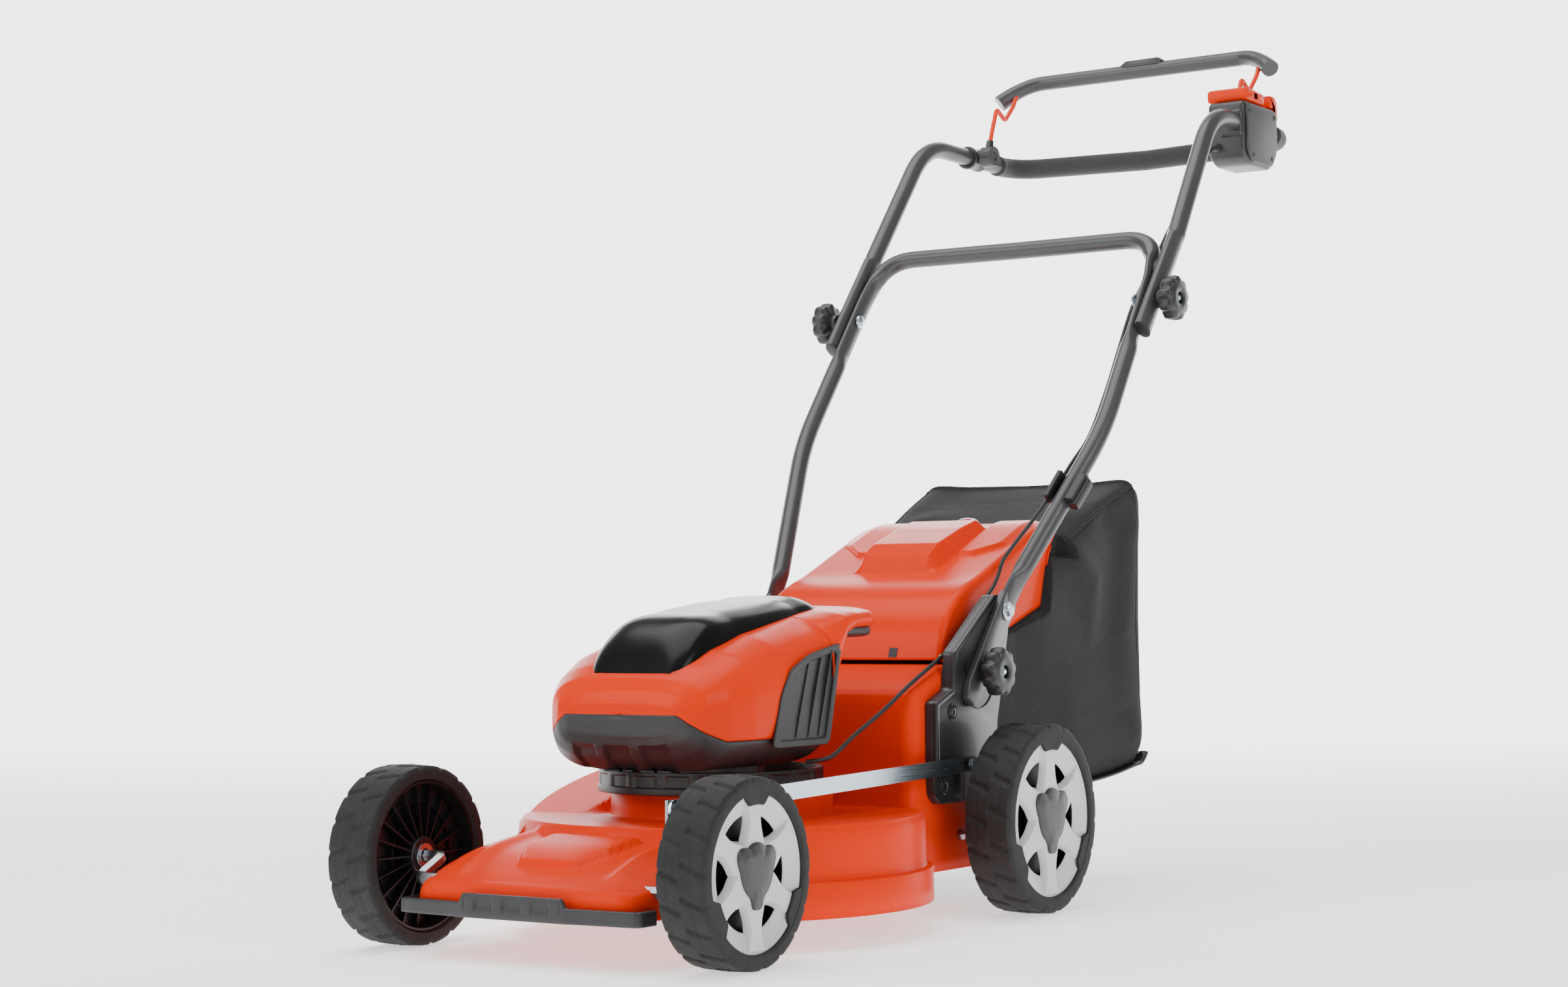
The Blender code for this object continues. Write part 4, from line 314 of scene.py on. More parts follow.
drum_wall_drop = np.array([0.006, 0.011, 0.018, 0.030, 0, 0, 0, 0, 0, 0, 0, 0])
drum_wall_z = np.array([0, 0, 0, 0, 0.0715, 0.0670, 0.0650, 0.0643, 0.0638, 0.0620, 0.046, SKIRT_Z])
wall_z = np.where(drum_wall_drop > 0, last_z - drum_wall_drop, drum_wall_z)
nose_wall_reach = deck_line - np.array([0.0085, 0.0052, 0.0025, 0.0008, 0, 0, 0, 0, 0, 0, 0, 0])
shares = np.array([0.03, 0.10, 0.22, 0.38, 0.5, 0.6, 0.7, 0.78, 0.84, 0.9, 0.95, 1.0])
nose_wall_z = last_z + (NOSE_EDGE_Z - last_z) * shares
wall_reach = (1 - nose_share) * drum_wall_reach + nose_share * nose_wall_reach
wall_z = (1 - nose_share) * wall_z + nose_share * nose_wall_z
neck_reach = np.array([0.030, 0.1100, 0.1113, 0.1120, 0.1122, 0.1126, 0.1133])
neck_z = np.array([NECK_Z, NECK_Z, 0.1409, 0.1398, 0.1250, 0.1195, 0.1177])
deck_reach = np.concatenate([np.broadcast_to(neck_reach, (DECK_TURNS, len(neck_reach))), reach,
                             wall_reach], 1)
deck_z = np.concatenate([np.broadcast_to(neck_z, (DECK_TURNS, len(neck_z))), top_z, wall_z], 1)
deck_points = np.stack([aside * deck_reach, DRUM_Y - onward * deck_reach, deck_z], -1)
pairs = deck_points + np.roll(deck_points, -1, 0)
middles = pairs[:, :-1] / 4 + pairs[:, 1:] / 4
outlet = (np.abs(middles[..., 0]) < OUTLET_HALF) & (middles[..., 1] > FRONT_AXLE_Y + OUTLET_START) \
    & (middles[..., 2] > OUTLET_LOW_Z)

TUNNEL_HALF = 0.1367
TUNNEL_FRONT = 0.4065
TUNNEL_REAR = 0.560
TUNNEL_LOW_Z = 0.047
CORNER = 0.016
ROOF_BEND = 0.014
CHUTE_HALF = 0.1345
CHUTE_FRONT = 0.395
CHUTE_Z = 0.0955
stations = np.concatenate([[TUNNEL_REAR, 0.559, 0.53, 0.50], np.linspace(0.49, 0.43, 9),
                           TUNNEL_FRONT
                           + CORNER * (1 - np.sin(np.linspace(0.02, np.pi / 2, 9)))])[:, None]
roof = table(stations, (0.4065, 0.4085, 0.415, 0.425, 0.450, 0.475, 0.487, 0.500, 0.560),
             (0.2215, 0.2285, 0.2350, 0.2395, 0.2495, 0.2585, 0.2610, 0.2615, 0.2615))
depth = np.clip(CORNER - (stations - TUNNEL_FRONT), 0, CORNER)
half = TUNNEL_HALF - CORNER + np.sqrt(CORNER ** 2 - depth ** 2)
quarter = np.linspace(0, np.pi / 2, 8)
side_z = np.linspace(0, 1, 16)
legs_z = TUNNEL_LOW_Z + (roof - ROOF_BEND - TUNNEL_LOW_Z) * side_z
roof_x = np.linspace(-1, 1, 22)[1:-1]
u_x = np.concatenate([np.broadcast_to(-half, legs_z.shape),
                      -half + ROOF_BEND * (1 - np.cos(quarter[1:])), (half - ROOF_BEND) * roof_x,
                      half - ROOF_BEND * (1 - np.cos(quarter[::-1][:-1])),
                      np.broadcast_to(half, legs_z.shape)], 1)
u_z = np.concatenate([legs_z, roof - ROOF_BEND + ROOF_BEND * np.sin(quarter[1:]),
                      np.broadcast_to(roof, (len(stations), len(roof_x))),
                      roof - ROOF_BEND + ROOF_BEND * np.sin(quarter[::-1][:-1]), legs_z[:, ::-1]],
                     1)
flare = 0.010 * np.clip((0.165 - u_z) / 0.05, 0, 1) ** 2 * np.clip((0.45 - stations) / 0.04, 0, 1)
tunnel = np.stack([u_x * (1 + 0.4 * flare / TUNNEL_HALF), FRONT_AXLE_Y + stations - flare, u_z], -1)
shrink = np.array([0.985, 0.95, 0.8, 0.4, 0.02])[:, None, None]
front_wall = tunnel[-1:] * np.stack([shrink, np.ones_like(shrink), shrink], -1)[..., 0, :]
front_wall[..., 2] += 0.10 * (1 - shrink[..., 0])
floor_x, floor_y = np.meshgrid(np.linspace(-CHUTE_HALF, CHUTE_HALF, 12),
                               np.linspace(CHUTE_FRONT, TUNNEL_REAR, 10))
chute = np.stack([floor_x, FRONT_AXLE_Y + floor_y, np.full_like(floor_x, CHUTE_Z)], -1)


def patterned(name, settings, noise, colours, rub=(), relief=(), stretch=()):
    """A finish whose colour runs between two hex codes with a noise read on the piece. rub is
    the roughness where that noise is lowest and highest. relief is a bump: its own noise, or
    None for the same one, its strength and its height in metres. stretch scales the places along
    each axis, so that the marks run one way."""
    made, tree, shader = new_finish(name, settings)
    place = add_node(tree, "ShaderNodeTexCoord", {}).outputs["Object"]
    if stretch:
        place = add_node(tree, "ShaderNodeMapping", {"Scale": stretch},
                         [("Vector", place)]).outputs["Vector"]
    drift = add_node(tree, "ShaderNodeTexNoise", noise, [("Vector", place)]).outputs["Fac"]
    tree.links.new(colour_blend(tree, drift, *colours), shader.inputs["Base Color"])
    if rub:
        rubbed = add_node(tree, "ShaderNodeMapRange", {"To Min": rub[0], "To Max": rub[1]},
                          [("Value", drift)])
        tree.links.new(rubbed.outputs["Result"], shader.inputs["Roughness"])
    if relief:
        grain, strength, height = relief
        if grain:
            drift = add_node(tree, "ShaderNodeTexNoise", grain, [("Vector", place)]).outputs["Fac"]
        bump = add_node(tree, "ShaderNodeBump", {"Strength": strength, "Distance": height},
                        [("Height", drift)])
        tree.links.new(bump.outputs["Normal"], shader.inputs["Normal"])
    return made


# Enamel baked on steel: an even deep orange under a soft gloss, with the faint waves of sprayed
# paint.
gloss_enamel = patterned("sprayed_orange_enamel_on_steel",
                         {"Roughness": 0.30, "IOR": 1.5, "Specular IOR Level": 0.05},
                         {"Scale": 6.0, "Detail": 3.0}, ("E02C00", "E83200"), (0.30, 0.38),
                         ({"Scale": 450.0, "Detail": 1.0}, 0.035, 0.001))
piece("pressed_deck", [skin(deck_points, round_rows=True, keep=~outlet), skin(chute)], gloss_enamel,
      "chassis", ("deck_shell",), wall=STEEL_SHEET)
piece("discharge_tunnel", [skin(np.concatenate([tunnel, front_wall]))], gloss_enamel, "chassis",
      wall=STEEL_SHEET)


# Bumper: a dark grey moulding clipped round the nose's lower edge, thicker and taller in the
# middle. Injection-moulded polypropylene with a fine spark texture, and three shallow pockets in
# its raised middle.
BUMPER_LOW_Z = 0.0417
BUMPER_HEIGHT = 0.0140
BUMPER_RISE = 0.0085
BUMPER_BACK = 0.004
RAISED_HALF = 0.0635
POCKET_PITCH = 0.033
POCKET_HALF = 0.0115
POCKET_DEPTH = 0.0022
NOSE_FRONT_Y = -0.6573


def moulded(name, dark, light, roughness, grain_mm, grain_depth, coat=0.0, shine=0.5):
    """A moulded plastic: its colour drifts between two hex codes, and its grain is a fine bump
    of a real size."""
    settings = {"Roughness": roughness, "IOR": 1.49, "Specular IOR Level": shine,
                "Coat Weight": coat, "Coat Roughness": 0.08}
    return patterned(name, settings, {"Scale": 14.0, "Detail": 4.0}, (dark, light),
                     (roughness - 0.06, roughness + 0.06),
                     ({"Scale": 1000 / grain_mm, "Detail": 2.0}, grain_depth, 0.0005))


def rounded_route(corners, bends, steps=8):
    """A line through corners, each cut off by a smooth bend that starts and ends its own length
    from the corner."""
    corners = np.asarray(corners, float)
    line = [corners[:1]]
    t = np.linspace(0, 1, steps)[:, None]
    for here, before, after, bend in zip(corners[1:-1], corners[:-2], corners[2:], bends):
        first = here + (before - here) / np.linalg.norm(before - here) * bend
        last = here + (after - here) / np.linalg.norm(after - here) * bend
        line.append((1 - t) ** 2 * first + 2 * t * (1 - t) * here + t ** 2 * last)
    return np.concatenate(line + [corners[-1:]])


def evenly(line, count):
    """Points at even distances along a line."""
    line = np.asarray(line, float)
    walked = np.concatenate([[0], np.cumsum(np.linalg.norm(np.diff(line, axis=0), axis=1))])
    at = np.linspace(0, walked[-1], count)
    return np.stack([np.interp(at, walked, line[:, k]) for k in range(line.shape[1])], -1)


textured_grey = moulded("spark_textured_grey_polypropylene", "252628", "303133", 0.46, 0.45, 0.20)
left_line = [(0.1400, -0.635), (0.1400, NOSE_FRONT_Y - 0.002), (0.1290, NOSE_FRONT_Y - 0.0052),
             (0.0750, NOSE_FRONT_Y - 0.0085), (0.0600, NOSE_FRONT_Y - 0.0115)]
bumper_line = rounded_route(left_line + [(-x, y) for x, y in left_line[::-1]],
                            (0.009, 0.006, 0.01, 0.006) * 2)
bumper_line = evenly(bumper_line, 260)
heading = np.gradient(bumper_line, axis=0)
outward = np.stack([-heading[:, 1], heading[:, 0]], -1) / np.linalg.norm(heading, axis=1)[:, None]
outward *= np.where((outward * bumper_line).sum(1) < 0, -1, 1)[:, None]
raised = smooth_step((RAISED_HALF - np.abs(bumper_line[:, :1])) / 0.007)
level_share = np.array([0, 0.03, 0.08, 0.22, 0.30, 0.45, 0.62, 0.74, 0.82, 0.93, 0.98, 1.0])
inset = np.array([0.0015, 0.0004, 0, 0, 0, 0, 0, 0, 0, 0.0002, 0.0010, 0.0020])
from_pocket = np.abs((np.abs(bumper_line[:, :1]) + POCKET_PITCH / 2) % POCKET_PITCH
                     - POCKET_PITCH / 2)
pocket_x = smooth_step((POCKET_HALF - from_pocket) / 0.003) * (raised > 0.99)
pocket = pocket_x * smooth_step((level_share - 0.30) / 0.05) \
    * smooth_step((0.90 - level_share) / 0.05)
bumper_z = BUMPER_LOW_Z + (BUMPER_HEIGHT + BUMPER_RISE * raised) * level_share
outside = -inset - POCKET_DEPTH * pocket
bumper_xy = bumper_line[:, None] + outward[:, None] * outside[..., None]
back_xy = bumper_line[:, None] - outward[:, None] * np.full(2, BUMPER_BACK)[None, :, None]
bumper_points = np.concatenate([
    np.concatenate([bumper_xy, bumper_z[..., None]], -1),
    np.concatenate([back_xy, np.stack([bumper_z[:, -1], bumper_z[:, 0]], -1)[..., None]], -1),
], 1)
piece("nose_bumper", [skin(bumper_points, round_columns=True, caps=True)], textured_grey, "chassis",
      ("front_bumper",))


# Neck ring: the dark collar that joins the hood to the deck, moulded in two steps with small ribs
# round it. Glass-filled nylon, bolted through the deck's neck.
RING_RIBS = 20
RING_RIB_HEIGHT = 0.0013
RING_Y = FRONT_AXLE_Y + 0.239
ring_turn = np.linspace(0, 2 * np.pi, 288, endpoint=False)[:, None]
ring_reach = np.array([0.1050, 0.1050, 0.1122, 0.1134, 0.1137, 0.1137, 0.1128, 0.1118, 0.1118,
                       0.1130, 0.1130, 0.1120])
ring_z = np.array([0.1645, 0.1420, 0.1420, 0.1424, 0.1432, 0.1485, 0.1494, 0.1500, 0.1600, 0.1612,
                   0.1640, 0.1648])
rib = smooth_step((0.16 - np.abs((ring_turn * RING_RIBS / (2 * np.pi)) % 1 - 0.5)) / 0.05)
ring_reach = ring_reach \
    + RING_RIB_HEIGHT * rib * ((ring_z > 0.1498) & (ring_z < 0.1605) & (ring_reach > 0.11))
ring = np.stack([np.sin(ring_turn) * ring_reach, RING_Y + np.cos(ring_turn) * ring_reach,
                 np.broadcast_to(ring_z, ring_reach.shape)], -1)
satin_black = moulded("satin_black_glass_filled_nylon", "161719", "1D1E20", 0.42, 0.6, 0.12)
piece("hood_collar", [skin(ring, round_rows=True, round_columns=True)], satin_black, "chassis",
      ("neck_ring",))


# Wheels: a black nylon wheel body with a moulded tyre, a silver-grey cover with six spokes, and a
# dark hub cap. The tyre's blocks stand in two staggered rows, and three of its tabs lock over the
# cover's edge.
TYRE_HALF = 0.02625
TREAD_BLOCKS = 18
TREAD_DEPTH = 0.0021
TREAD_HALF = 0.0216
STEPS_PER_BLOCK = 14
INNER_RIBS = 20
SPOKES = 6
CAP_TURNS = (0, 20, 27, 38, 46, 63, 74, 84, 98, 112, 135, 152, 160, 168, 180)
CAP_REACHES = (0.39, 0.385, 0.376, 0.43, 0.474, 0.470, 0.405, 0.362, 0.34, 0.33, 0.322, 0.329, 0.36,
               0.435, 0.445)
# Each wheel: its axle's place along the mower, its radius, its rim's radius, and its outer face's
# distance from the middle
FRONT_WHEEL = (FRONT_AXLE_Y, 0.0874, 0.0731, 0.2188)
REAR_WHEEL = (FRONT_AXLE_Y + 0.535, 0.100, 0.0835, 0.2303)


def on_wheel(middle, side, reach, out, angle):
    """Wheel coordinates to places: reach and angle from the top in the wheel's plane, out along
    its axle."""
    reach, out, angle = np.broadcast_arrays(reach, out, angle)
    return np.stack([middle[0] + side * out, middle[1] + reach * np.sin(angle),
                     middle[2] + reach * np.cos(angle)], -1)


def turned_ring(middle, side, outline, steps):
    """An outline of (reach, out) turned once round the axle into a closed ring."""
    outline = np.asarray(outline, float)
    angle = np.linspace(0, 2 * np.pi, steps, endpoint=False)[:, None]
    return skin(on_wheel(middle, side, outline[:, 0], outline[:, 1], angle), True, True)


def blocks(lows, highs):
    """Boxes from their lowest and highest corners, each with six faces."""
    lows, highs = np.atleast_2d(lows), np.atleast_2d(highs)
    pick = np.array([[0, 0, 0], [1, 0, 0], [1, 1, 0], [0, 1, 0], [0, 0, 1], [1, 0, 1], [1, 1, 1],
                     [0, 1, 1]])
    points = lows[:, None] * (1 - pick) + highs[:, None] * pick
    six = np.array([[0, 3, 2, 1], [4, 5, 6, 7], [0, 1, 5, 4], [1, 2, 6, 5], [2, 3, 7, 6],
                    [3, 0, 4, 7]])
    faces = (six + 8 * np.arange(len(points))[:, None, None]).reshape(-1, 4).tolist()
    return points.reshape(-1, 3), faces


rubber, tree, shader = new_finish("moulded_tyre_rubber", {"Roughness": 0.75, "IOR": 1.5})
place = add_node(tree, "ShaderNodeTexCoord", {}).outputs["Object"]
scuff = add_node(tree, "ShaderNodeTexNoise", {"Scale": 60.0, "Detail": 6.0, "Roughness": 0.7},
                 [("Vector", place)])
dusty = add_node(tree, "ShaderNodeMapRange", {"From Min": 0.45, "From Max": 0.75},
                 [("Value", scuff.outputs["Fac"])])
tree.links.new(colour_blend(tree, dusty.outputs["Result"], "151617", "212223"),
               shader.inputs["Base Color"])
pores = add_node(tree, "ShaderNodeTexNoise", {"Scale": 900.0, "Detail": 3.0}, [("Vector", place)])
pore_bump = add_node(tree, "ShaderNodeBump", {"Strength": 0.35, "Distance": 0.0006},
                     [("Height", pores.outputs["Fac"])])
tree.links.new(pore_bump.outputs["Normal"], shader.inputs["Normal"])
black_nylon = moulded("moulded_black_nylon", "0F1011", "161718", 0.40, 0.5, 0.10)
silver_abs = moulded("silver_grey_moulded_abs", "C6C8CA", "D0D2D4", 0.36, 0.35, 0.10)
hub_grey = moulded("satin_dark_grey_abs", "2A2C2E", "323436", 0.38, 0.4, 0.10)
# Bright zinc plate: bluish and shiny, with the cloudy smears that handling leaves.
bright_zinc = patterned("bright_zinc_plated_steel", {"Metallic": 1.0, "Roughness": 0.26},
                        {"Scale": 90.0, "Detail": 4.0, "Distortion": 0.6}, ("B9C4CC", "D9E2E8"),
                        (0.18, 0.38))

for end, (axle_y, radius, rim, face_x) in (("front", FRONT_WHEEL), ("rear", REAR_WHEEL)):
    for hand, side in (("left", 1), ("right", -1)):
        middle = (side * (face_x - TYRE_HALF), axle_y, radius)
        wheel = f"{end}_{hand}_wheel"
        angle = np.linspace(0, 2 * np.pi, TREAD_BLOCKS * STEPS_PER_BLOCK, endpoint=False)[:, None]
        from_tab = np.abs((angle + np.pi / 3) % (2 * np.pi / 3) - np.pi / 3)
        tab = np.clip((0.275 - from_tab) / 0.09, 0, 1)
        across = np.linspace(TREAD_HALF, -TREAD_HALF, 21)[None, :]
        count = angle * TREAD_BLOCKS / (2 * np.pi) + 12 * across + 0.5 * (across > 0)
        groove = smooth_step((0.115 - np.abs(count % 1 - 0.5)) / 0.045)
        seam = np.exp(-(across / 0.0012) ** 2)
        sipe = 0.25 * smooth_step((0.0016 - np.abs(np.abs(across) - 0.0125)) / 0.0008)
        tread = radius - 0.0006 * (across / 0.02) ** 2 - 0.0004 + 0.0004 * seam \
            - TREAD_DEPTH * np.maximum(groove * (1 - 0.55 * seam), sipe)
        last = groove[:, [0, 0, 0, -1, -1, -1]]
        shoulder = radius - np.array([0.0070, 0.0036, 0.0014, 0.0014, 0.0036, 0.0070]) \
            - last * np.array([0.0004, 0.0016, 0.0020, 0.0020, 0.0016, 0.0004])
        lip = rim - 0.0018 - 0.0100 * tab
        bead = np.broadcast_to([rim + 0.0022, rim + 0.0010], (len(angle), 2))
        reach = np.concatenate([np.broadcast_to([rim - 0.0002], (len(angle), 1)), lip, lip,
                                lip + 0.0012, bead, shoulder[:, :3], tread, shoulder[:, 3:],
                                bead[:, ::-1], np.broadcast_to([rim - 0.0002], (len(angle), 1))], 1)
        out = np.concatenate([[0.0228, 0.0228, 0.0252, 0.02600, 0.02600, 0.02625, 0.02625, 0.0256,
                               0.0238], across[0],
                              [-0.0238, -0.0256, -0.02625, -0.02625, -0.0258, -0.0228]])
        piece(f"tyre_with_tread_{end}_{hand}",
              [skin(on_wheel(middle, side, reach, out, angle), True, True)], rubber, wheel,
              (f"tyre_{end}_{hand}",))

        body = turned_ring(middle, side,
                           [(0.0064, 0.0180), (0.0170, 0.0180), (0.0190, 0.0070),
                            (rim - 0.0065, 0.0050), (rim - 0.0036, 0.0100), (rim - 0.0034, 0.0225),
                            (rim - 0.0006, 0.0225), (rim - 0.0006, -0.0222),
                            (rim - 0.0012, -0.0232), (rim - 0.0034, -0.0232),
                            (rim - 0.0052, -0.0060), (0.0208, -0.0040), (0.0180, -0.0205),
                            (0.0168, -0.0215), (0.0064, -0.0215)], 144)
        steps = np.arange(INNER_RIBS) * 2 * np.pi / INNER_RIBS
        lean = np.array([[0.0178, -0.0190], [rim - 0.0040, -0.0120], [rim - 0.0040, -0.0045],
                         [0.0178, -0.0035]])
        thick = np.array([-0.0007, 0.0007])
        fins = on_wheel(middle, side, lean[None, None, :, 0], lean[None, None, :, 1],
                        steps[:, None, None]
                        + thick[None, :, None] / np.array([0.0178, 0.05, 0.05, 0.0178]))
        fin_faces = np.array([[0, 1, 2, 3], [7, 6, 5, 4], [0, 4, 5, 1], [1, 5, 6, 2], [2, 6, 7, 3],
                              [3, 7, 4, 0]])
        fin_faces = (fin_faces + 8 * np.arange(INNER_RIBS)[:, None, None]).reshape(-1, 4).tolist()
        rings = [turned_ring(middle, side,
                             [(r - 0.0007, -0.0045), (r + 0.0007, -0.0045), (r + 0.0007, -depth),
                              (r - 0.0007, -depth)], 96)
                 for r, depth in ((0.034, 0.0105), (0.052, 0.0085))]
        piece(f"wheel_body_{end}_{hand}", [body, (fins.reshape(-1, 3), fin_faces), *rings],
              black_nylon, wheel, (f"wheel_rim_{end}_{hand}",))
        piece(f"hub_washer_{end}_{hand}",
              [turned_ring(middle, side,
                           [(0.0066, -0.0217), (0.0115, -0.0217), (0.0118, -0.0221),
                            (0.0115, -0.0229), (0.0066, -0.0229)], 48)], bright_zinc, wheel)

        outer = rim - 0.0012
        hoop = turned_ring(middle, side, [
            (outer, 0.0195), (outer, 0.0226), (outer - 0.0008, 0.02325), (outer - 0.0022, 0.02325),
            (outer - 0.0032, 0.0222), (0.75 * outer, 0.0172), (0.735 * outer, 0.0160),
            (0.75 * outer, 0.0152), (outer - 0.0060, 0.0185)], 144)
        disc = turned_ring(middle, side,
                           [(0.0005, 0.0165), (0.0005, 0.0236), (0.37 * outer, 0.0236),
                            (0.39 * outer, 0.0228), (0.41 * outer, 0.0165)], 96)
        share = np.linspace(0, 1, 15)[:, None]
        arm_reach = 0.0195 + (outer - 0.0035 - 0.0195) * share
        arm_half = table(share, (0, 0.22, 0.45, 0.85, 1),
                         (0.0150, 0.0132, 0.0096, 0.0104, 0.0140)) * outer / 0.072
        arm_across = np.array([-1.26, -1.24, -0.98, -0.92, 0, 0.92, 0.98, 1.24, 1.26, 0.9, 0, -0.9])
        arm_out = np.array([0.0160, 0.0172, 0.0226, 0.0233, 0.0234, 0.0233, 0.0226, 0.0172, 0.0160,
                            0.0158, 0.0158, 0.0158])
        arms = []
        for k in range(SPOKES):
            arm_turn = 2 * np.pi * k / SPOKES
            arm = on_wheel(middle, side, np.hypot(arm_reach, arm_half * arm_across), arm_out,
                           arm_turn + np.arctan2(arm_half * arm_across, arm_reach))
            arms.append(skin(arm, round_columns=True, caps=True))
        piece(f"spoked_cover_{end}_{hand}", [hoop, disc, *arms], silver_abs, wheel,
              (f"wheel_cover_{end}_{hand}",), sharp=28)

        angle = np.linspace(0, 2 * np.pi, 96, endpoint=False)[:, None]
        turned = np.degrees(np.abs(np.angle(np.exp(1j * angle))))
        edge = outer * table(turned, CAP_TURNS, CAP_REACHES)
        rows = np.array([1.0, 1.0, 0.97, 0.90, 0.78, 0.74, 0.60, 0.40, 0.20, 0.01])
        lift = np.array([0.0225, 0.0245, 0.0255, 0.0262, 0.0264, 0.0268, 0.0272, 0.0274, 0.0275,
                         0.0275])
        piece(f"hub_cap_{end}_{hand}",
              [skin(on_wheel(middle, side, edge * rows, lift, angle), round_rows=True)], hub_grey,
              wheel)

# Axles and height link: bent bright steel rods that turn in the deck, joined by a flat zinc-plated
# bar. They keep their CAD shapes; drawing marks run along the rods, and the bar shows its plating's
# bluish sheen.
drawn_steel = patterned("cold_drawn_steel", {"Metallic": 1.0, "Roughness": 0.32},
                        {"Scale": 1.0, "Detail": 3.0}, ("8E9194", "B4B7BA"),
                        relief=(None, 0.15, 0.0003), stretch=(30.0, 900.0, 900.0))
plated_bar = patterned("blue_white_zinc_plated_bar", {"Metallic": 1.0, "Roughness": 0.24},
                       {"Scale": 1.0, "Detail": 5.0}, ("B8CAD6", "E2EDF4"), (0.14, 0.34),
                       stretch=(200.0, 12.0, 500.0))


def refinish(finish, *names):
    """Gives CAD nodes, whose shapes stay, a better finish."""
    for name in names:
        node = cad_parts[name]
        for slot_of_node in node.material_slots:
            slot_of_node.material = finish


refinish(drawn_steel, "front_axle", "rear_axle", "motor_rotor", "blade")
refinish(plated_bar, "link_rod")
refinish(bright_zinc, "blade_bolt", "flap_rod")


# Hood: a gloss orange ABS shell over a textured dark grey base, closed round the motor and the
# battery bay. Both are injection mouldings that meet in one seam, with three cooling recesses at
# the base's front.
HOOD_PLACES = (0.087, 0.090, 0.100, 0.120, 0.150, 0.200, 0.250, 0.280, 0.300, 0.320, 0.340, 0.370,
               0.395)
HOOD_HALF = (0.0660, 0.0780, 0.0930, 0.1070, 0.1150, 0.1180, 0.1180, 0.1170, 0.1160, 0.1140, 0.1130,
             0.1120, 0.0980)
HOOD_LOW = (0.2000, 0.1900, 0.1780, 0.1652, 0.1652, 0.1652, 0.1652, 0.1652, 0.2350, 0.2880, 0.2975,
            0.2985, 0.3000)
HOOD_HIGH = (0.235, 0.245, 0.258, 0.270, 0.285, 0.300, 0.310, 0.3155, 0.318, 0.3205, 0.323, 0.325,
             0.318)
HOOD_POWER = 3.5
HOOD_FRONT = 0.0868
HOOD_BACK = 0.3948
HOOD_END_DEPTH = 0.0016
PLASTIC_WALL = 0.0022
BASE_END = 0.300
RECESSES = ((-0.062, -0.032), (-0.024, 0.010), (0.020, 0.056))
RECESS_DEPTH = 0.0055
RECESS_LEAN = 0.25
DRAIN_SLOTS = ((-0.040, -0.022), (-0.018, -0.006), (0.004, 0.020), (0.024, 0.040))
SEAM_Z = 0.197
FRONT_SEAM_Z = 0.222
GRILLE_CORNERS = ((0.1830, 0.1990), (0.2715, 0.1990), (0.2990, 0.2830), (0.2430, 0.2710),
                  (0.2115, 0.2580), (0.1970, 0.2380))
HATCH_PLACES = (0.1010, 0.118, 0.145, 0.200, 0.250, 0.300, 0.345, 0.357)
HATCH_HALF = (0.046, 0.056, 0.062, 0.065, 0.066, 0.065, 0.062, 0.056)
HATCH_LOW = (0.2480, 0.2590, 0.2720, 0.2890, 0.2985, 0.3060, 0.3120, 0.3145)
HATCH_HIGH = (0.2560, 0.2830, 0.3080, 0.3210, 0.3280, 0.3320, 0.3300, 0.3190)


def signed_power(values, power):
    """Each value's size raised to a power, with its sign kept."""
    return np.sign(values) * np.abs(values) ** power


def hood_ring(ahead_y, share, upper):
    """A place on the hood: a superellipse across it, read from one end of the seam over the top
    (or under the bottom) to the other end as share runs from 0 to 1."""
    half, low, high = (np.interp(ahead_y, HOOD_PLACES, values)
                       for values in (HOOD_HALF, HOOD_LOW, HOOD_HIGH))
    middle, rise = (low + high) / 2, (high - low) / 2
    seam = np.interp(half, (0.067, 0.105), (FRONT_SEAM_Z, SEAM_Z))
    level_share = np.clip((seam - middle) / rise, -1, 1)
    start = np.arcsin(signed_power(level_share, HOOD_POWER / 2))
    angle = start + (np.pi - 2 * start) * share if upper else start - (np.pi + 2 * start) * share
    x = half * signed_power(np.cos(angle), 2 / HOOD_POWER)
    z = middle + rise * signed_power(np.sin(angle), 2 / HOOD_POWER)
    return x, z, seam


def even_hood(ahead_y, count, upper):
    """Rings with points at even distances, so that no corner of a superellipse is left coarse."""
    fine = np.linspace(0, 1, 721)[None, :]
    x, z, seam = hood_ring(ahead_y, fine, upper)
    steps = np.hypot(np.diff(x, axis=1), np.diff(z, axis=1))
    walked = np.concatenate([np.zeros((len(x), 1)), np.cumsum(steps, axis=1)], 1)
    walked /= np.maximum(walked[:, -1:], 0.000001)
    wanted = np.linspace(0, 1, count)
    share = np.stack([np.interp(wanted, row, fine[0]) for row in walked])
    x, z, seam = hood_ring(ahead_y, share, upper)
    return x, z, seam


def in_outline(y, z, outline):
    """True inside an outline of (y, z): the even-odd rule over its edges."""
    inside = np.zeros(np.shape(y), bool)
    for (ay, az), (by, bz) in zip(outline, outline[1:] + outline[:1]):
        crosses = ((az > z) != (bz > z)) & (y < (by - ay) * (z - az) / (bz - az + 1e-12) + ay)
        inside ^= crosses
    return inside


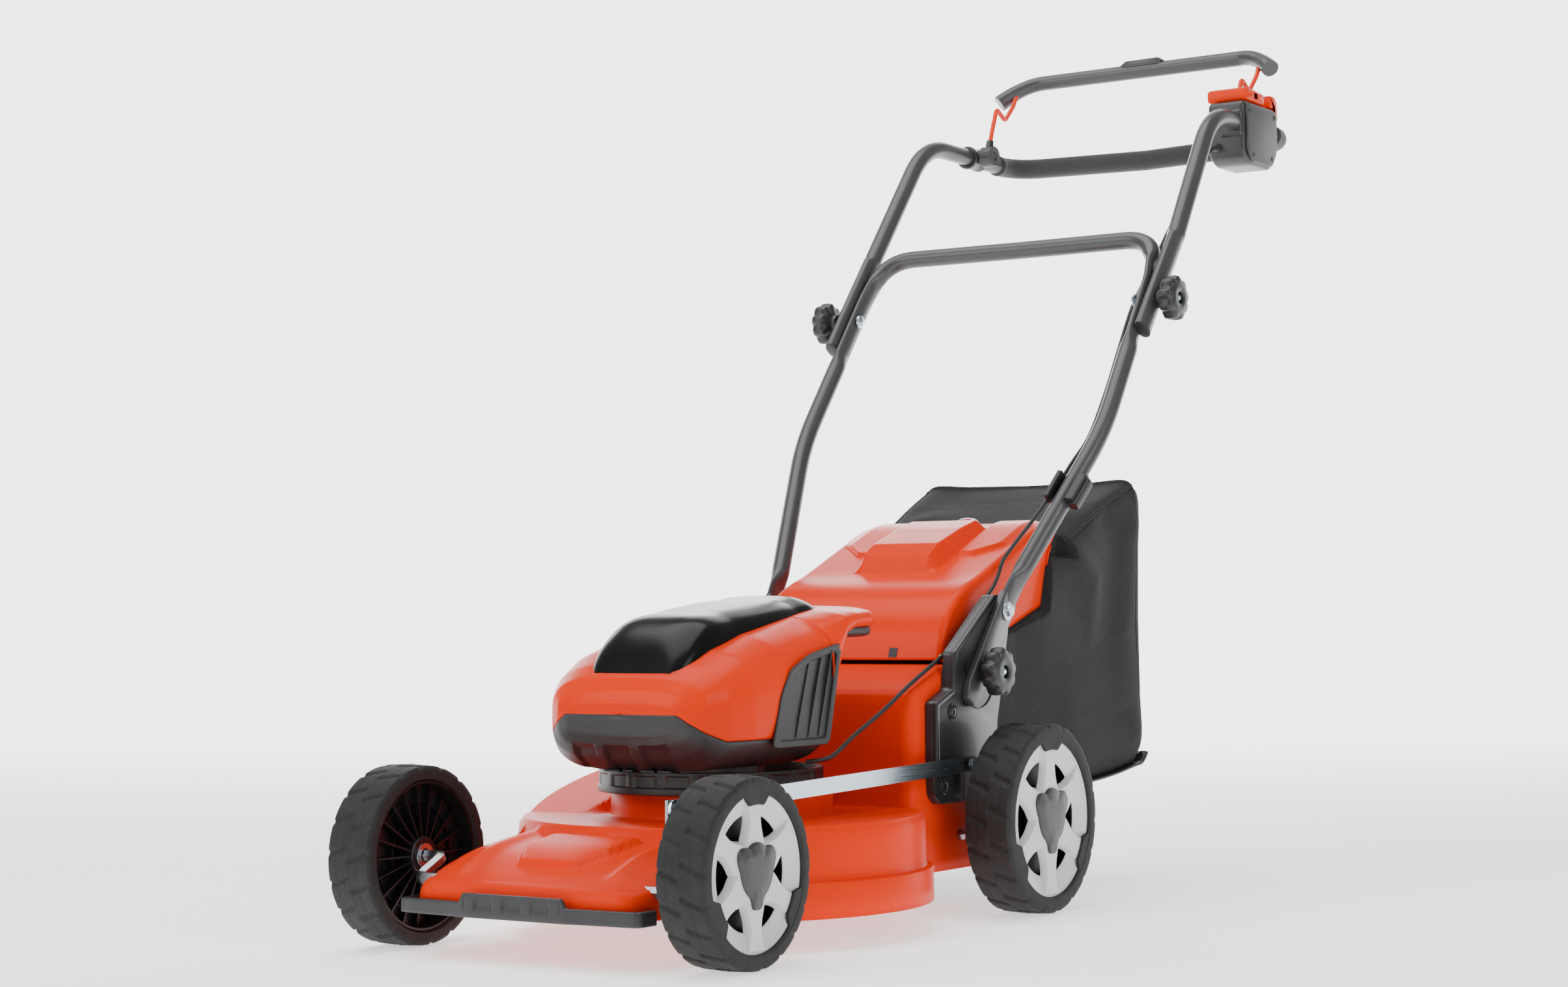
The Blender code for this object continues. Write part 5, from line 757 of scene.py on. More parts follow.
gloss_orange = moulded("gloss_orange_moulded_abs", "E22E00", "EA3400", 0.24, 0.5, 0.015, shine=0.08)
stations = np.concatenate([[HOOD_FRONT], np.linspace(0.0875, 0.13, 26),
                           np.linspace(0.133, 0.30, 64), np.linspace(0.302, 0.392, 36),
                           [0.3938, HOOD_BACK]])[:, None]
x, z, seam = even_hood(stations, 161, True)
front_shrink = np.array([0.02, 0.3, 0.6, 0.85, 0.96])[:, None]
front_x, front_z = x[:1] * front_shrink, seam[0] + (z[:1] - seam[0]) * front_shrink
back_shrink = front_shrink[::-1]
back_middle = (z[-1].max() + z[-1].min()) / 2
back_x, back_z = x[-1:] * back_shrink, back_middle + (z[-1:] - back_middle) * back_shrink
front_y = HOOD_FRONT - HOOD_END_DEPTH * np.sqrt(1 - front_shrink ** 2)
shell_x, shell_z = np.concatenate([front_x, x, back_x]), np.concatenate([front_z, z, back_z])
back_y = HOOD_BACK + HOOD_END_DEPTH * np.sqrt(1 - back_shrink ** 2)
shell_y = np.concatenate([front_y, stations, back_y]) + np.zeros_like(shell_x)
dip = 0.004 * smooth_step((shell_y - 0.345) / 0.04) * smooth_step((0.036 - np.abs(shell_x)) / 0.01)
shell_z = shell_z - dip * (shell_z > back_middle)
shell = np.stack([shell_x, FRONT_AXLE_Y + shell_y, shell_z], -1)
centre = (shell[:-1, :-1] + shell[1:, 1:] + shell[:-1, 1:] + shell[1:, :-1]) / 4
centre_y = centre[..., 1] - FRONT_AXLE_Y
bay = (np.abs(centre[..., 0]) < np.interp(centre_y, HATCH_PLACES, HATCH_HALF) - 0.004) \
    & (centre_y > 0.1060) & (centre_y < 0.352) & (centre[..., 2] > 0.245)
window = in_outline(centre_y, centre[..., 2], list(GRILLE_CORNERS))
window &= np.abs(centre[..., 0]) > 0.09
piece("orange_hood_shell", [skin(shell, keep=~(bay | window))], gloss_orange, "chassis",
      ("hood_shell",), wall=PLASTIC_WALL)

base_stations = stations[stations[:, 0] < BASE_END]
x, z, seam = even_hood(base_stations, 141, False)
front_x, front_z = x[:1] * front_shrink, seam[0] + (z[:1] - seam[0]) * front_shrink
base_x, base_z = np.concatenate([front_x, x]), np.concatenate([front_z, z])
base_y = np.concatenate([front_y, base_stations]) + np.zeros_like(base_x)
recess = np.zeros_like(base_x)
lean_x = base_x + RECESS_LEAN * (0.192 - base_z)
for low_x, high_x in RECESSES:
    recess = np.maximum(recess, smooth_step((lean_x - low_x) / 0.004)
                        * smooth_step((high_x - lean_x) / 0.004))
recess = recess * smooth_step((0.1935 - base_z) / 0.004) * smooth_step((base_z - 0.160) / 0.003) \
    * (base_y < 0.135)
base_y = base_y + RECESS_DEPTH * recess
from_seam = np.concatenate([np.full_like(front_z, 0.1), np.abs(z - seam)])
lip = np.exp(-(from_seam / 0.0011) ** 2)
base_x = base_x * (1 - 0.008 * lip)
base = np.stack([base_x, FRONT_AXLE_Y + base_y, base_z], -1)
piece("grey_hood_base", [skin(base)], textured_grey, "chassis", ("hood_base",),
      wall=PLASTIC_WALL)

under_places = np.linspace(0.306, 0.3925, 25)[:, None]
under_angle = np.linspace(0, 2 * np.pi, 64, endpoint=False)[None, :]
under_half = np.interp(under_places, HOOD_PLACES, HOOD_HALF) - 0.0045
under = np.stack([under_half * signed_power(np.cos(under_angle), 0.3),
                  FRONT_AXLE_Y + under_places + np.zeros_like(under_angle),
                  0.2990 + 0.0072 * signed_power(np.sin(under_angle), 0.5)
                  + np.zeros_like(under_places)], -1)
piece("grey_carry_handle_underside", [skin(under, round_columns=True, caps=True)], textured_grey,
      "chassis")

# Painted shade: the drain slots are thin black blocks on the base's floor, standing for the dark
# inside of the openings.
slots = []
for low_x, high_x in DRAIN_SLOTS:
    slots.append(blocks((low_x, FRONT_AXLE_Y + 0.1145, 0.1655),
                        (high_x, FRONT_AXLE_Y + 0.122, 0.1672)))
piece("base_drain_slot_shade", slots, black_nylon, "chassis")


# Side grilles: a dark grey moulded frame in each window of the hood, with three upright vanes in a
# deep pocket. Spark-textured polypropylene, clipped in from behind; motor air leaves between the
# vanes.
def framed_outline(corners, gap, bend):
    """An outline with its straight edges moved inwards by gap and its corners rounded by bend,
    as a closed line."""
    corners = np.asarray(corners, float)
    before, after = np.roll(corners, 1, 0) - corners, np.roll(corners, -1, 0) - corners
    before /= np.linalg.norm(before, axis=1)[:, None]
    after /= np.linalg.norm(after, axis=1)[:, None]
    half_sine = np.sqrt((1 - (before * after).sum(1)) / 2)
    inward = (before + after) / np.linalg.norm(before + after, axis=1)[:, None]
    inward *= np.where((inward * (corners.mean(0) - corners)).sum(1) < 0, -1, 1)[:, None]
    moved = corners + inward * (gap / half_sine)[:, None]
    t = np.linspace(0, 1, 7)[:, None]
    line = [(1 - t) ** 2 * (here + b * bend) + 2 * t * (1 - t) * here + t ** 2 * (here + a * bend)
            for here, b, a in zip(moved, before, after)]
    return np.concatenate(line)


window_line = [(0.1745, 0.1875), (0.2740, 0.1875), (0.3055, 0.2885), (0.2400, 0.2770),
               (0.2060, 0.2630), (0.1900, 0.2400)]
frame_rows = ((0.0000, 0.0000, 0.008), (0.0000, 0.0016, 0.008), (0.0008, 0.0024, 0.008),
              (0.0060, 0.0022, 0.006), (0.0072, 0.0008, 0.006), (0.0085, -0.0150, 0.005),
              (0.0090, -0.0190, 0.005))
for hand, side in (("left", 1), ("right", -1)):
    rows = []
    for gap, proud, bend in frame_rows:
        line = framed_outline(window_line, gap, bend)
        surface = np.interp(line[:, 0], HOOD_PLACES, HOOD_HALF)
        tuck = 0.0026 * np.clip((line[:, 1] - 0.262) / 0.02, 0, 1) ** 2
        rows.append(np.stack([side * (surface - tuck + proud), FRONT_AXLE_Y + line[:, 0],
                              line[:, 1]], -1))
    vanes = []
    for share in (0.36, 0.62, 0.84):
        low_y, high_y = 0.186 + 0.084 * share, 0.212 + 0.085 * share
        height = np.linspace(0, 1, 9)[:, None]
        place_y = low_y + (high_y - low_y) * height
        place_z = 0.1960 + (0.2700 + 0.0125 * share - 0.1960) * height
        deep = np.array([0.0005, 0.0005, -0.0165, -0.0165])
        thick = np.array([-0.0006, 0.0006, 0.0014, -0.0002])
        vanes.append(skin(np.stack(np.broadcast_arrays(side * (0.1172 + deep),
                                                       FRONT_AXLE_Y + place_y + thick, place_z),
                                   -1), round_columns=True, caps=True))
    piece(f"framed_side_grille_{hand}", [skin(rows, round_columns=True, caps=True), *vanes],
          textured_grey, "chassis", (f"side_grille_{hand}",))


# Battery hatch: a polished black cover over the battery bay, hinged at its front edge, with a latch
# tab at its rear. Piano-black ABS: smooth and very dark, and it carries the softboxes only as soft
# grey bands.
piano_black = moulded("piano_black_polished_abs", "0C0D0E", "111213", 0.22, 0.9, 0.006, shine=0.16)
stations = np.concatenate([np.linspace(0.1010, 0.150, 30), np.linspace(0.153, 0.345, 56),
                           np.linspace(0.347, 0.357, 9)])[:, None]
half, low, high = (table(stations, HATCH_PLACES, values)
                   for values in (HATCH_HALF, HATCH_LOW, HATCH_HIGH))
angle = np.linspace(0, np.pi, 97)[None, :]
angle = angle - 0.22 * np.sin(4 * angle) / 2
hatch_x = half * signed_power(np.cos(angle), 0.56)
hatch_z = low + (high - low) * np.abs(np.sin(angle)) ** 0.62
crown = 0.0016 * np.exp(-((hatch_x / half) / 0.72) ** 8) * smooth_step((stations - 0.108) / 0.04)
hatch_z = hatch_z + crown - 0.0016
hatch = np.stack([hatch_x, FRONT_AXLE_Y + stations + np.zeros_like(hatch_x), hatch_z], -1)
close = np.array([0.97, 0.85, 0.6, 0.3, 0.02])[:, None]
nose_cap = hatch[:1] * np.stack([close, np.ones_like(close), np.ones_like(close)], -1)
nose_cap[..., 2] = low[0] + (hatch[:1, :, 2] - low[0]) * close
nose_cap[..., 1] -= 0.0006
tail_cap = hatch[-1:] * np.stack([close, np.ones_like(close), np.ones_like(close)], -1)
tail_cap[..., 2] = low[-1] + (hatch[-1:, :, 2] - low[-1]) * close
tail_cap[..., 1] += 0.0006
latch_line = framed_outline([(-0.023, -0.252), (0.023, -0.252), (0.021, -0.2315),
                             (-0.021, -0.2315)], 0, 0.004)
latch_crown = latch_line.mean(0) + (latch_line - latch_line.mean(0)) * 0.94
latch = [np.concatenate([line, np.full((len(line), 1), level_z)], 1)
         for line, level_z in ((latch_line, 0.3260), (latch_line, 0.3330), (latch_crown, 0.3340))]
piece("polished_battery_hatch",
      [skin(np.concatenate([nose_cap[::-1], hatch, tail_cap])),
       skin(latch, round_columns=True, caps=True)], piano_black, "hatch",
      ("battery_hatch",), wall=0.002)


# Battery, its tray, the controller and the motor: kept from the CAD, because their shapes are
# right. A textured dark pack on a black nylon tray, a cast aluminium controller, and a turned
# aluminium motor can.
cast_aluminium = patterned("fine_cast_aluminium", {"Metallic": 1.0, "Roughness": 0.45},
                           {"Scale": 1200.0, "Detail": 3.0}, ("9DA0A3", "B3B6B9"),
                           relief=(None, 0.25, 0.0004))
refinish(cast_aluminium, "controller", "motor_stator", "blade_adapter")
refinish(textured_grey, "battery_pack")
refinish(black_nylon, "battery_tray")


# Handle brackets: two dark grey pressed steel plates on the tunnel's sides that carry the handle.
# Their front edge turns outwards as a flange, and each is held by two recessed screws; the coat is
# satin powder.
BRACKET_LINE = ((0.430, 0.128), (0.430, 0.2235), (0.463, 0.236), (0.4697, 0.2757), (0.5534, 0.335),
                (0.590, 0.335), (0.592, 0.300), (0.575, 0.235), (0.565, 0.200), (0.560, 0.118),
                (0.442, 0.118))
BRACKET_FACES = (0.137, 0.148)
BRACKET_SCREWS = ((0.467, 0.2125), (0.449, 0.1358))
FOLD_PLACE = (0.573, 0.3174)
LOCK_PLACE = (0.5205, 0.2535)
GROOVE_RADIUS = 0.0335


def slab_rows(line, depths, gaps):
    """A plate's closed outline repeated at several depths, moved inwards by a gap at each:
    columns of (a, b, depth)."""
    line = np.asarray(line, float)
    after = np.roll(line, -1, 0) - line
    before = line - np.roll(line, 1, 0)
    along_line = after / np.linalg.norm(after, axis=1)[:, None] \
        + before / np.linalg.norm(before, axis=1)[:, None]
    normal = np.stack([-along_line[:, 1], along_line[:, 0]], -1)
    normal /= np.linalg.norm(along_line, axis=1)[:, None]
    area = (line[:, 0] * np.roll(line[:, 1], -1) - np.roll(line[:, 0], -1) * line[:, 1]).sum()
    normal *= 1 if area > 0 else -1
    return np.stack([np.concatenate([line + normal * gap, np.full((len(line), 1), depth)], 1)
                     for depth, gap in zip(depths, gaps)])


def upright_skin(rows, side):
    """A plate's rows of (along, up, distance from the middle), stood upright and closed."""
    return skin(np.stack([side * rows[..., 2], FRONT_AXLE_Y + rows[..., 0], rows[..., 1]], -1),
                False, True, True)


def side_plate(line, low, high, side, edge):
    """A plate in side view with softly broken edges, between two distances from the middle."""
    depths = (low, low + edge, high - edge, high - 0.3 * edge, high)
    rows = slab_rows(line, depths, (0, 0, 0, 0.3 * edge, edge))
    return upright_skin(rows, side)


def turned_on_x(outline, middle, side, steps=48):
    """An outline of (reach, distance from the middle) turned round an axis across the mower."""
    outline = np.asarray(outline, float)
    angle = np.linspace(0, 2 * np.pi, steps, endpoint=False)[:, None]
    return skin(np.stack(np.broadcast_arrays(
        side * outline[:, 1], FRONT_AXLE_Y + middle[0] + outline[:, 0] * np.sin(angle),
        middle[1] + outline[:, 0] * np.cos(angle)), -1), round_rows=True)


powder_grey = moulded("satin_dark_grey_powder_coat", "1F2022", "28292B", 0.36, 0.35, 0.10,
                      coat=0.15)
for hand, side in (("left", 1), ("right", -1)):
    outline = framed_outline(BRACKET_LINE, 0, 0.005)
    plate = side_plate(outline, *BRACKET_FACES, side, 0.0012)
    flange_line = framed_outline([(0.430, 0.150), (0.430, 0.2235), (0.463, 0.236), (0.4697, 0.2757),
                                  (0.5534, 0.335), (0.5600, 0.335), (0.4755, 0.2740),
                                  (0.4690, 0.2320), (0.4360, 0.2190), (0.4360, 0.150)], 0, 0.002)
    flange = side_plate(flange_line, 0.1465, 0.1515, side, 0.0015)
    swing = np.linspace(-2.3, 0.85, 40)
    groove_middle = (LOCK_PLACE[0] + 0.004, LOCK_PLACE[1] - 0.006)
    raised_edge = groove_middle + GROOVE_RADIUS * np.stack([np.cos(swing), np.sin(swing)], -1)
    rim_line = np.concatenate([raised_edge,
                               groove_middle + (raised_edge - groove_middle)[::-1] * 0.955])
    groove = side_plate(rim_line, 0.1470, 0.1490, side, 0.0005)
    screws = []
    for middle in BRACKET_SCREWS:
        screws.append(turned_on_x([(0.0085, 0.1475), (0.0088, 0.1490), (0.0082, 0.1494),
                                   (0.0070, 0.1487), (0.0064, 0.1482)], middle, side))
        screws.append(turned_on_x([(0.0060, 0.1480), (0.0058, 0.1493), (0.0046, 0.1501),
                                   (0.0030, 0.1502), (0.0028, 0.1490), (0.0002, 0.1489)], middle,
                                  side))
    piece(f"pressed_bracket_{hand}", [plate, flange, groove, *screws], powder_grey, "chassis",
          (f"handle_bracket_{hand}",))
    # Painted shade: the diamond opening and the pin hole are thin black patches on the plate's
    # face, standing for the dark inside of the holes.
    diamond = side_plate([(0.4905, 0.2555), (0.4960, 0.2650), (0.5015, 0.2555), (0.4960, 0.2455)],
                         0.1475, 0.1484, side, 0.0001)
    pin_hole = turned_on_x([(0.0001, 0.1485), (0.0022, 0.1485), (0.0024, 0.1480)], (0.4895, 0.2360),
                           side, 20)
    piece(f"bracket_hole_shade_patches_{hand}", [diamond, pin_hole], black_nylon, "chassis")


# Bolts: a zinc-plated flanged hexagon bolt at each fold joint, and a coach bolt through each upper
# joint. The washers are wide and bright, and the hexagons have chamfered crowns.
FOLD_BOLT_SEAT = 0.1565
COACH_BOLT_SEAT = 0.1884
UPPER_JOINT_PLACE = (0.832, 0.6735)


def hexagon(across_flats, low, high, middle, side, chamfer=0.0008):
    """A hexagon head with a chamfered crown, between two distances from the mower's middle."""
    angle = np.linspace(0, 2 * np.pi, 48, endpoint=False)
    reach = across_flats / 2 / np.cos((angle + np.pi / 6) % (np.pi / 3) - np.pi / 6)
    crown = np.minimum(reach, across_flats / 2 * 1.02)
    rows = [(reach, low), (reach, high - chamfer), (crown, high), (crown * 0.8, high),
            (crown * 0.02, high + 0.0002)]
    return skin([np.stack([np.full_like(angle, side * out),
                           FRONT_AXLE_Y + middle[0] + r * np.sin(angle),
                           middle[1] + r * np.cos(angle)], -1) for r, out in rows],
                round_columns=True, caps=True)


for hand, side in (("left", 1), ("right", -1)):
    seat = FOLD_BOLT_SEAT
    washer = turned_on_x([(0.0042, seat + 0.0002), (0.0100, seat + 0.0002), (0.0103, seat + 0.0006),
                          (0.0100, seat + 0.0014), (0.0085, seat + 0.0017), (0.0060, seat + 0.0018),
                          (0.0005, seat + 0.0018)], FOLD_PLACE, side)
    head = hexagon(0.0115, seat + 0.0016, seat + 0.0058, FOLD_PLACE, side)
    shank = turned_on_x([(0.0001, 0.1385), (0.0040, 0.1385), (0.0040, seat + 0.001)], FOLD_PLACE,
                        side, 24)
    piece(f"fold_hex_bolt_{hand}", [washer, head, shank], bright_zinc, "chassis",
          (f"fold_bolt_{hand}",))
    inner = COACH_BOLT_SEAT
    coach = turned_on_x([(0.0001, inner - 0.0045), (0.0045, inner - 0.0043),
                         (0.0072, inner - 0.0028), (0.0080, inner - 0.0004), (0.0078, inner),
                         (0.0030, inner), (0.0030, 0.2270), (0.0001, 0.2270)], UPPER_JOINT_PLACE,
                        side)
    piece(f"upper_coach_bolt_{hand}", [coach], bright_zinc, "lower_handle_set",
          (f"upper_bolt_{hand}",))


# Knobs: four dark grey star knobs with nine lobes and a flat face, each with a bolt end showing in
# a hexagon recess. Moulded nylon; the lower pair locks the handle to the brackets, the upper pair
# joins the two handles.
KNOB_LOBES = 9

knob_grey = moulded("satin_dark_grey_nylon", "202224", "292B2D", 0.40, 0.4, 0.10)
knob_rows = ((0.0105, 0.0000, 0), (0.0112, 0.0010, 0), (0.0112, 0.0055, 0), (0.0150, 0.0070, 0.3),
             (0.0215, 0.0085, 0.8), (0.0248, 0.0105, 1), (0.0260, 0.0150, 1), (0.0260, 0.0205, 1),
             (0.0252, 0.0240, 0.95), (0.0230, 0.0258, 0.8), (0.0200, 0.0264, 0.35),
             (0.0175, 0.0266, 0), (0.0168, 0.0270, 0), (0.0085, 0.0270, 0), (0.0078, 0.0266, 0),
             (0.0070, 0.0262, 0), (0.0068, 0.0200, 0), (0.0002, 0.0198, 0))
for pair, slot_x, middle in (("lower", 0.1568, LOCK_PLACE), ("upper", 0.2179, UPPER_JOINT_PLACE)):
    for hand, side in (("left", 1), ("right", -1)):
        angle = np.linspace(0, 2 * np.pi, KNOB_LOBES * 16, endpoint=False)[:, None]
        reach, rise, lobed = (np.array(column)[None, :] for column in zip(*knob_rows))
        wave = 0.5 - 0.5 * np.cos(KNOB_LOBES * angle)
        reach = reach * (1 - 0.135 * lobed * wave ** 1.6)
        star = np.stack(np.broadcast_arrays(side * (slot_x + rise),
                                            FRONT_AXLE_Y + middle[0] + reach * np.sin(angle),
                                            middle[1] + reach * np.cos(angle)), -1)
        piece(f"star_knob_{pair}_{hand}", [skin(star, round_rows=True)], knob_grey,
              f"{pair}_{hand}_knob", (f"{pair}_knob_{hand}",), sharp=40)
        end = hexagon(0.0090, slot_x + 0.0190, slot_x + 0.0235, middle, side, 0.0006)
        stud = turned_on_x([(0.0030, slot_x + 0.0235), (0.0030, slot_x + 0.0252),
                            (0.0024, slot_x + 0.0257), (0.0002, slot_x + 0.0257)], middle, side, 24)
        inner_stud = turned_on_x([(0.0034, slot_x + 0.0005), (0.0034, 0.1385), (0.0002, 0.1385)],
                                 middle, side, 24)
        piece(f"knob_bolt_end_{pair}_{hand}",
              [end, stud] + ([inner_stud] if pair == "lower" else []), bright_zinc,
              f"{pair}_{hand}_knob")


# Handles: round steel tube of 21 and 22 mm, bent, pressed flat at its joints and powder-coated dark
# grey. The lower one folds on the brackets, and the upper one carries the handlebar, the switch box
# and the bail.
LOWER_TUBE = 0.0105
UPPER_TUBE = 0.0110
JOINT_FLAT = 0.0058
END_FLAT = 0.0040
HANDLE_LEAN = 0.737


def carry(line, half_across, half_up, across=(1.0, 0.0, 0.0), sides=24, power=2.0):
    """A rounded section carried along a line. Its side axis is across made square to the line at
    each point, and its half-sizes may change along the line; power 2 is an ellipse and a higher
    power is squarer."""
    line = np.asarray(line, float)
    heading = np.gradient(line, axis=0)
    heading /= np.linalg.norm(heading, axis=1)[:, None]
    base = np.broadcast_to(np.asarray(across, float), line.shape)
    wide = base - heading * (base * heading).sum(1)[:, None]
    wide /= np.linalg.norm(wide, axis=1)[:, None]
    tall = np.cross(heading, wide)
    angle = np.linspace(0, 2 * np.pi, sides, endpoint=False)
    a, b = signed_power(np.cos(angle), 2 / power), signed_power(np.sin(angle), 2 / power)
    half_across = np.broadcast_to(np.asarray(half_across, float), len(line))[:, None, None]
    half_up = np.broadcast_to(np.asarray(half_up, float), len(line))[:, None, None]
    return skin(line[:, None] + wide[:, None] * half_across * a[:, None]
                + tall[:, None] * half_up * b[:, None], round_columns=True, caps=True)


def mirrored(line):
    """A left-hand line joined to its mirror image."""
    line = np.asarray(line, float)
    return np.concatenate([line, (line * np.array([-1, 1, 1]))[::-1][1:]])


tube_coat = moulded("satin_grey_powder_coat_on_tube", "37383A", "404143", 0.34, 0.4, 0.10, coat=0.1)


def leaning(z):
    """The lower handle's middle line on its left, above the knee."""
    x = np.interp(z, (0.5173, 0.610), (0.200, 0.1945))
    return np.array([x, FRONT_AXLE_Y + 0.7204 + HANDLE_LEAN * (z - 0.5173), z])


corner_y = float(leaning(0.7535)[1]) - 0.002
left_leg = np.array([(0.1525, FRONT_AXLE_Y + 0.579, 0.3249), (0.156, FRONT_AXLE_Y + 0.5995, 0.353),
                     (0.200, FRONT_AXLE_Y + 0.7204, 0.5173), tuple(leaning(0.700)),
                     (0.1845, corner_y, 0.7535), (0.0, corner_y + 0.004, 0.7535)])
lower_line = evenly(rounded_route(left_leg, (0.020, 0.040, 0.010, 0.040), 12), 170)
lower_line[-1, 0] = 0
low_z = lower_line[:, 2]
flat_joint = smooth_step((low_z - 0.612) / 0.022) * smooth_step((0.7345 - low_z) / 0.016) \
    * (lower_line[:, 0] > 0.18)
flat_end = smooth_step((0.3640 - low_z) / 0.022)
across_half = LOWER_TUBE - (LOWER_TUBE - JOINT_FLAT) * flat_joint \
    - (LOWER_TUBE - END_FLAT) * flat_end
up_half = LOWER_TUBE + 0.002 * flat_joint + 0.0042 * flat_end
lean_normal = np.array([0.0, -0.805, 0.593])
lower_tube = carry(mirrored(lower_line), np.concatenate([up_half, up_half[::-1][1:]]),
                   np.concatenate([across_half, across_half[::-1][1:]]), across=lean_normal,
                   sides=28)
tabs = []
fold, lock = np.array(FOLD_PLACE), np.array(LOCK_PLACE)
down = (lock - fold) / np.linalg.norm(lock - fold)
sideways = np.array([down[1], -down[0]])
tip = lock + down * 0.042
for side in (1, -1):
    edge_line = framed_outline([fold - down * 0.019 - sideways * 0.0150,
                                tip - sideways * 0.0150 - down * 0.012, tip - sideways * 0.0075,
                                tip + sideways * 0.0075, tip + sideways * 0.0150 - down * 0.012,
                                fold - down * 0.019 + sideways * 0.0150], 0, 0.005)
    tabs.append(side_plate(edge_line, 0.1487, 0.1563, side, 0.0022))
piece("lower_handle_tube", [lower_tube, *tabs], tube_coat, "lower_handle_set",
      ("lower_handle",), sharp=45)

upper_low = np.array([(0.2093, FRONT_AXLE_Y + 0.804, 0.637), (0.2093, FRONT_AXLE_Y + 0.832, 0.6735),
                      (0.2093, FRONT_AXLE_Y + 0.892, 0.748),
                      (0.2015, FRONT_AXLE_Y + 1.0176, 0.9185),
                      (0.1984, FRONT_AXLE_Y + 1.215, 0.9158)])
upper_line = evenly(rounded_route(upper_low, (0.001, 0.004, 0.050), 16), 150)
upper_y = upper_line[:, 1] - FRONT_AXLE_Y
sleeve = smooth_step((0.8965 - upper_y) / 0.0025)
upper_tube, far_tube = (carry(upper_line * np.array([side, 1, 1]), UPPER_TUBE - 0.0024 * sleeve,
                              UPPER_TUBE + 0.0029 * sleeve, sides=28) for side in (1, -1))
bar_half = np.array([(0.1984, FRONT_AXLE_Y + 1.198, 0.9158), (0.198, FRONT_AXLE_Y + 1.252, 0.9155),
                     (0.0, FRONT_AXLE_Y + 1.252, 0.9105)])
bar_line = evenly(mirrored(rounded_route(bar_half, (0.045,), 18)), 161)
bar_tube = carry(bar_line, UPPER_TUBE, UPPER_TUBE, across=(0, 0, 1), sides=28)
piece("upper_handle_tube", [upper_tube, far_tube, bar_tube], tube_coat, "upper_handle_set",
      ("upper_handle",), sharp=45)
plugs = []
for side in (1, -1):
    start = upper_line[0] * np.array([side, 1, 1])
    along_end = np.array([0, -0.593, -0.805])
    plugs.append(carry(np.stack([start - along_end * 0.001, start + along_end * 0.0006,
                                 start + along_end * 0.0012]), (0.0086, 0.0084, 0.0070),
                       (0.0139, 0.0137, 0.0120), sides=28))
piece("upper_end_plugs", plugs, satin_black, "upper_handle_set")


# Handlebar grip: a black foam sleeve slipped over the bar and its two bends, with a bead at each
# end. Closed-cell EPDM foam: fine pores with painted shade, darker in their sunken middles, and
# almost no shine.
GRIP_RADIUS = 0.0135
foam, tree, shader = new_finish("closed_cell_epdm_foam",
                                {"Roughness": 0.85, "IOR": 1.45, "Sheen Weight": 0.25})
place = add_node(tree, "ShaderNodeTexCoord", {}).outputs["Object"]
cells = add_node(tree, "ShaderNodeTexVoronoi", {"Scale": 900.0}, [("Vector", place)])
# Painted shade: each pore is coloured darker at its middle, where the bump sinks it, and lighter at
# its rim.
tree.links.new(colour_blend(tree, cells.outputs["Distance"], "202122", "343536"),
               shader.inputs["Base Color"])
cell_bump = add_node(tree, "ShaderNodeBump", {"Strength": 0.5, "Distance": 0.0006},
                     [("Height", cells.outputs["Distance"])])
tree.links.new(cell_bump.outputs["Normal"], shader.inputs["Normal"])
sleeve_line = bar_line[bar_line[:, 1] > FRONT_AXLE_Y + 1.2005]
share = np.linspace(0, 1, len(sleeve_line))
end_gap = np.minimum(share, 1 - share) * 0.46
bead = 0.0007 * np.exp(-((end_gap - 0.0035) / 0.002) ** 2) \
    - 0.0012 * smooth_step((0.0012 - end_gap) / 0.0012)
sleeve_half = GRIP_RADIUS - 0.0004 + bead
piece("foam_handlebar_sleeve",
      [carry(sleeve_line, sleeve_half, sleeve_half, across=(0, 0, 1), sides=32)], foam,
      "upper_handle_set", ("handlebar_grip",))


# Switch box: a dark grey ABS housing clamped on the left upright, its screwed cover, an orange cap
# and start lever. The lever turns on a pin at the cap's rear, and the cable leaves through a
# tapered gland at the front.
def switch_shell(corners, low, high, edge, bend):
    """A closed plate in side view whose edges are rounded by quarter circles on both faces."""
    swing = np.linspace(0, np.pi / 2, 6)
    gaps = np.concatenate([edge * (1 - np.sin(swing)), edge * (1 - np.cos(swing))])
    depths = np.concatenate([low + edge * (1 - np.cos(swing)), high - edge * (1 - np.sin(swing))])
    return upright_skin(slab_rows(framed_outline(corners, 0, bend), depths, gaps), 1)


BOX_LINE = ((1.087, 0.876), (1.086, 0.944), (1.184, 0.9445), (1.1845, 0.888), (1.168, 0.8655),
            (1.104, 0.8655))
housing = switch_shell(BOX_LINE, 0.1652, 0.2133, 0.0045, 0.009)
strap = switch_shell(((1.082, 0.900), (1.082, 0.932), (1.100, 0.936), (1.100, 0.896)), 0.181,
                     0.2120, 0.004, 0.005)
gland_line = np.array([(0.178, FRONT_AXLE_Y + 1.092, 0.8872),
                       (0.178, FRONT_AXLE_Y + 1.0865, 0.8864),
                       (0.178, FRONT_AXLE_Y + 1.080, 0.8854),
                       (0.178, FRONT_AXLE_Y + 1.0705, 0.8838)])
gland_half = (0.0066, 0.0060, 0.0042, 0.0030)
gland = carry(gland_line, gland_half, gland_half, sides=20)
lug = switch_shell(((1.173, 0.942), (1.173, 0.957), (1.183, 0.957), (1.183, 0.942)), 0.1857, 0.1888,
                   0.0008, 0.002)
pivot_pin = turned_on_x([(0.0002, 0.1870), (0.0020, 0.1870), (0.0020, 0.2100), (0.0002, 0.2100)],
                        (1.178, 0.952), 1, 16)
piece("switch_housing", [housing, strap, gland, lug, pivot_pin], hub_grey, "upper_handle_set",
      ("switch_box",))
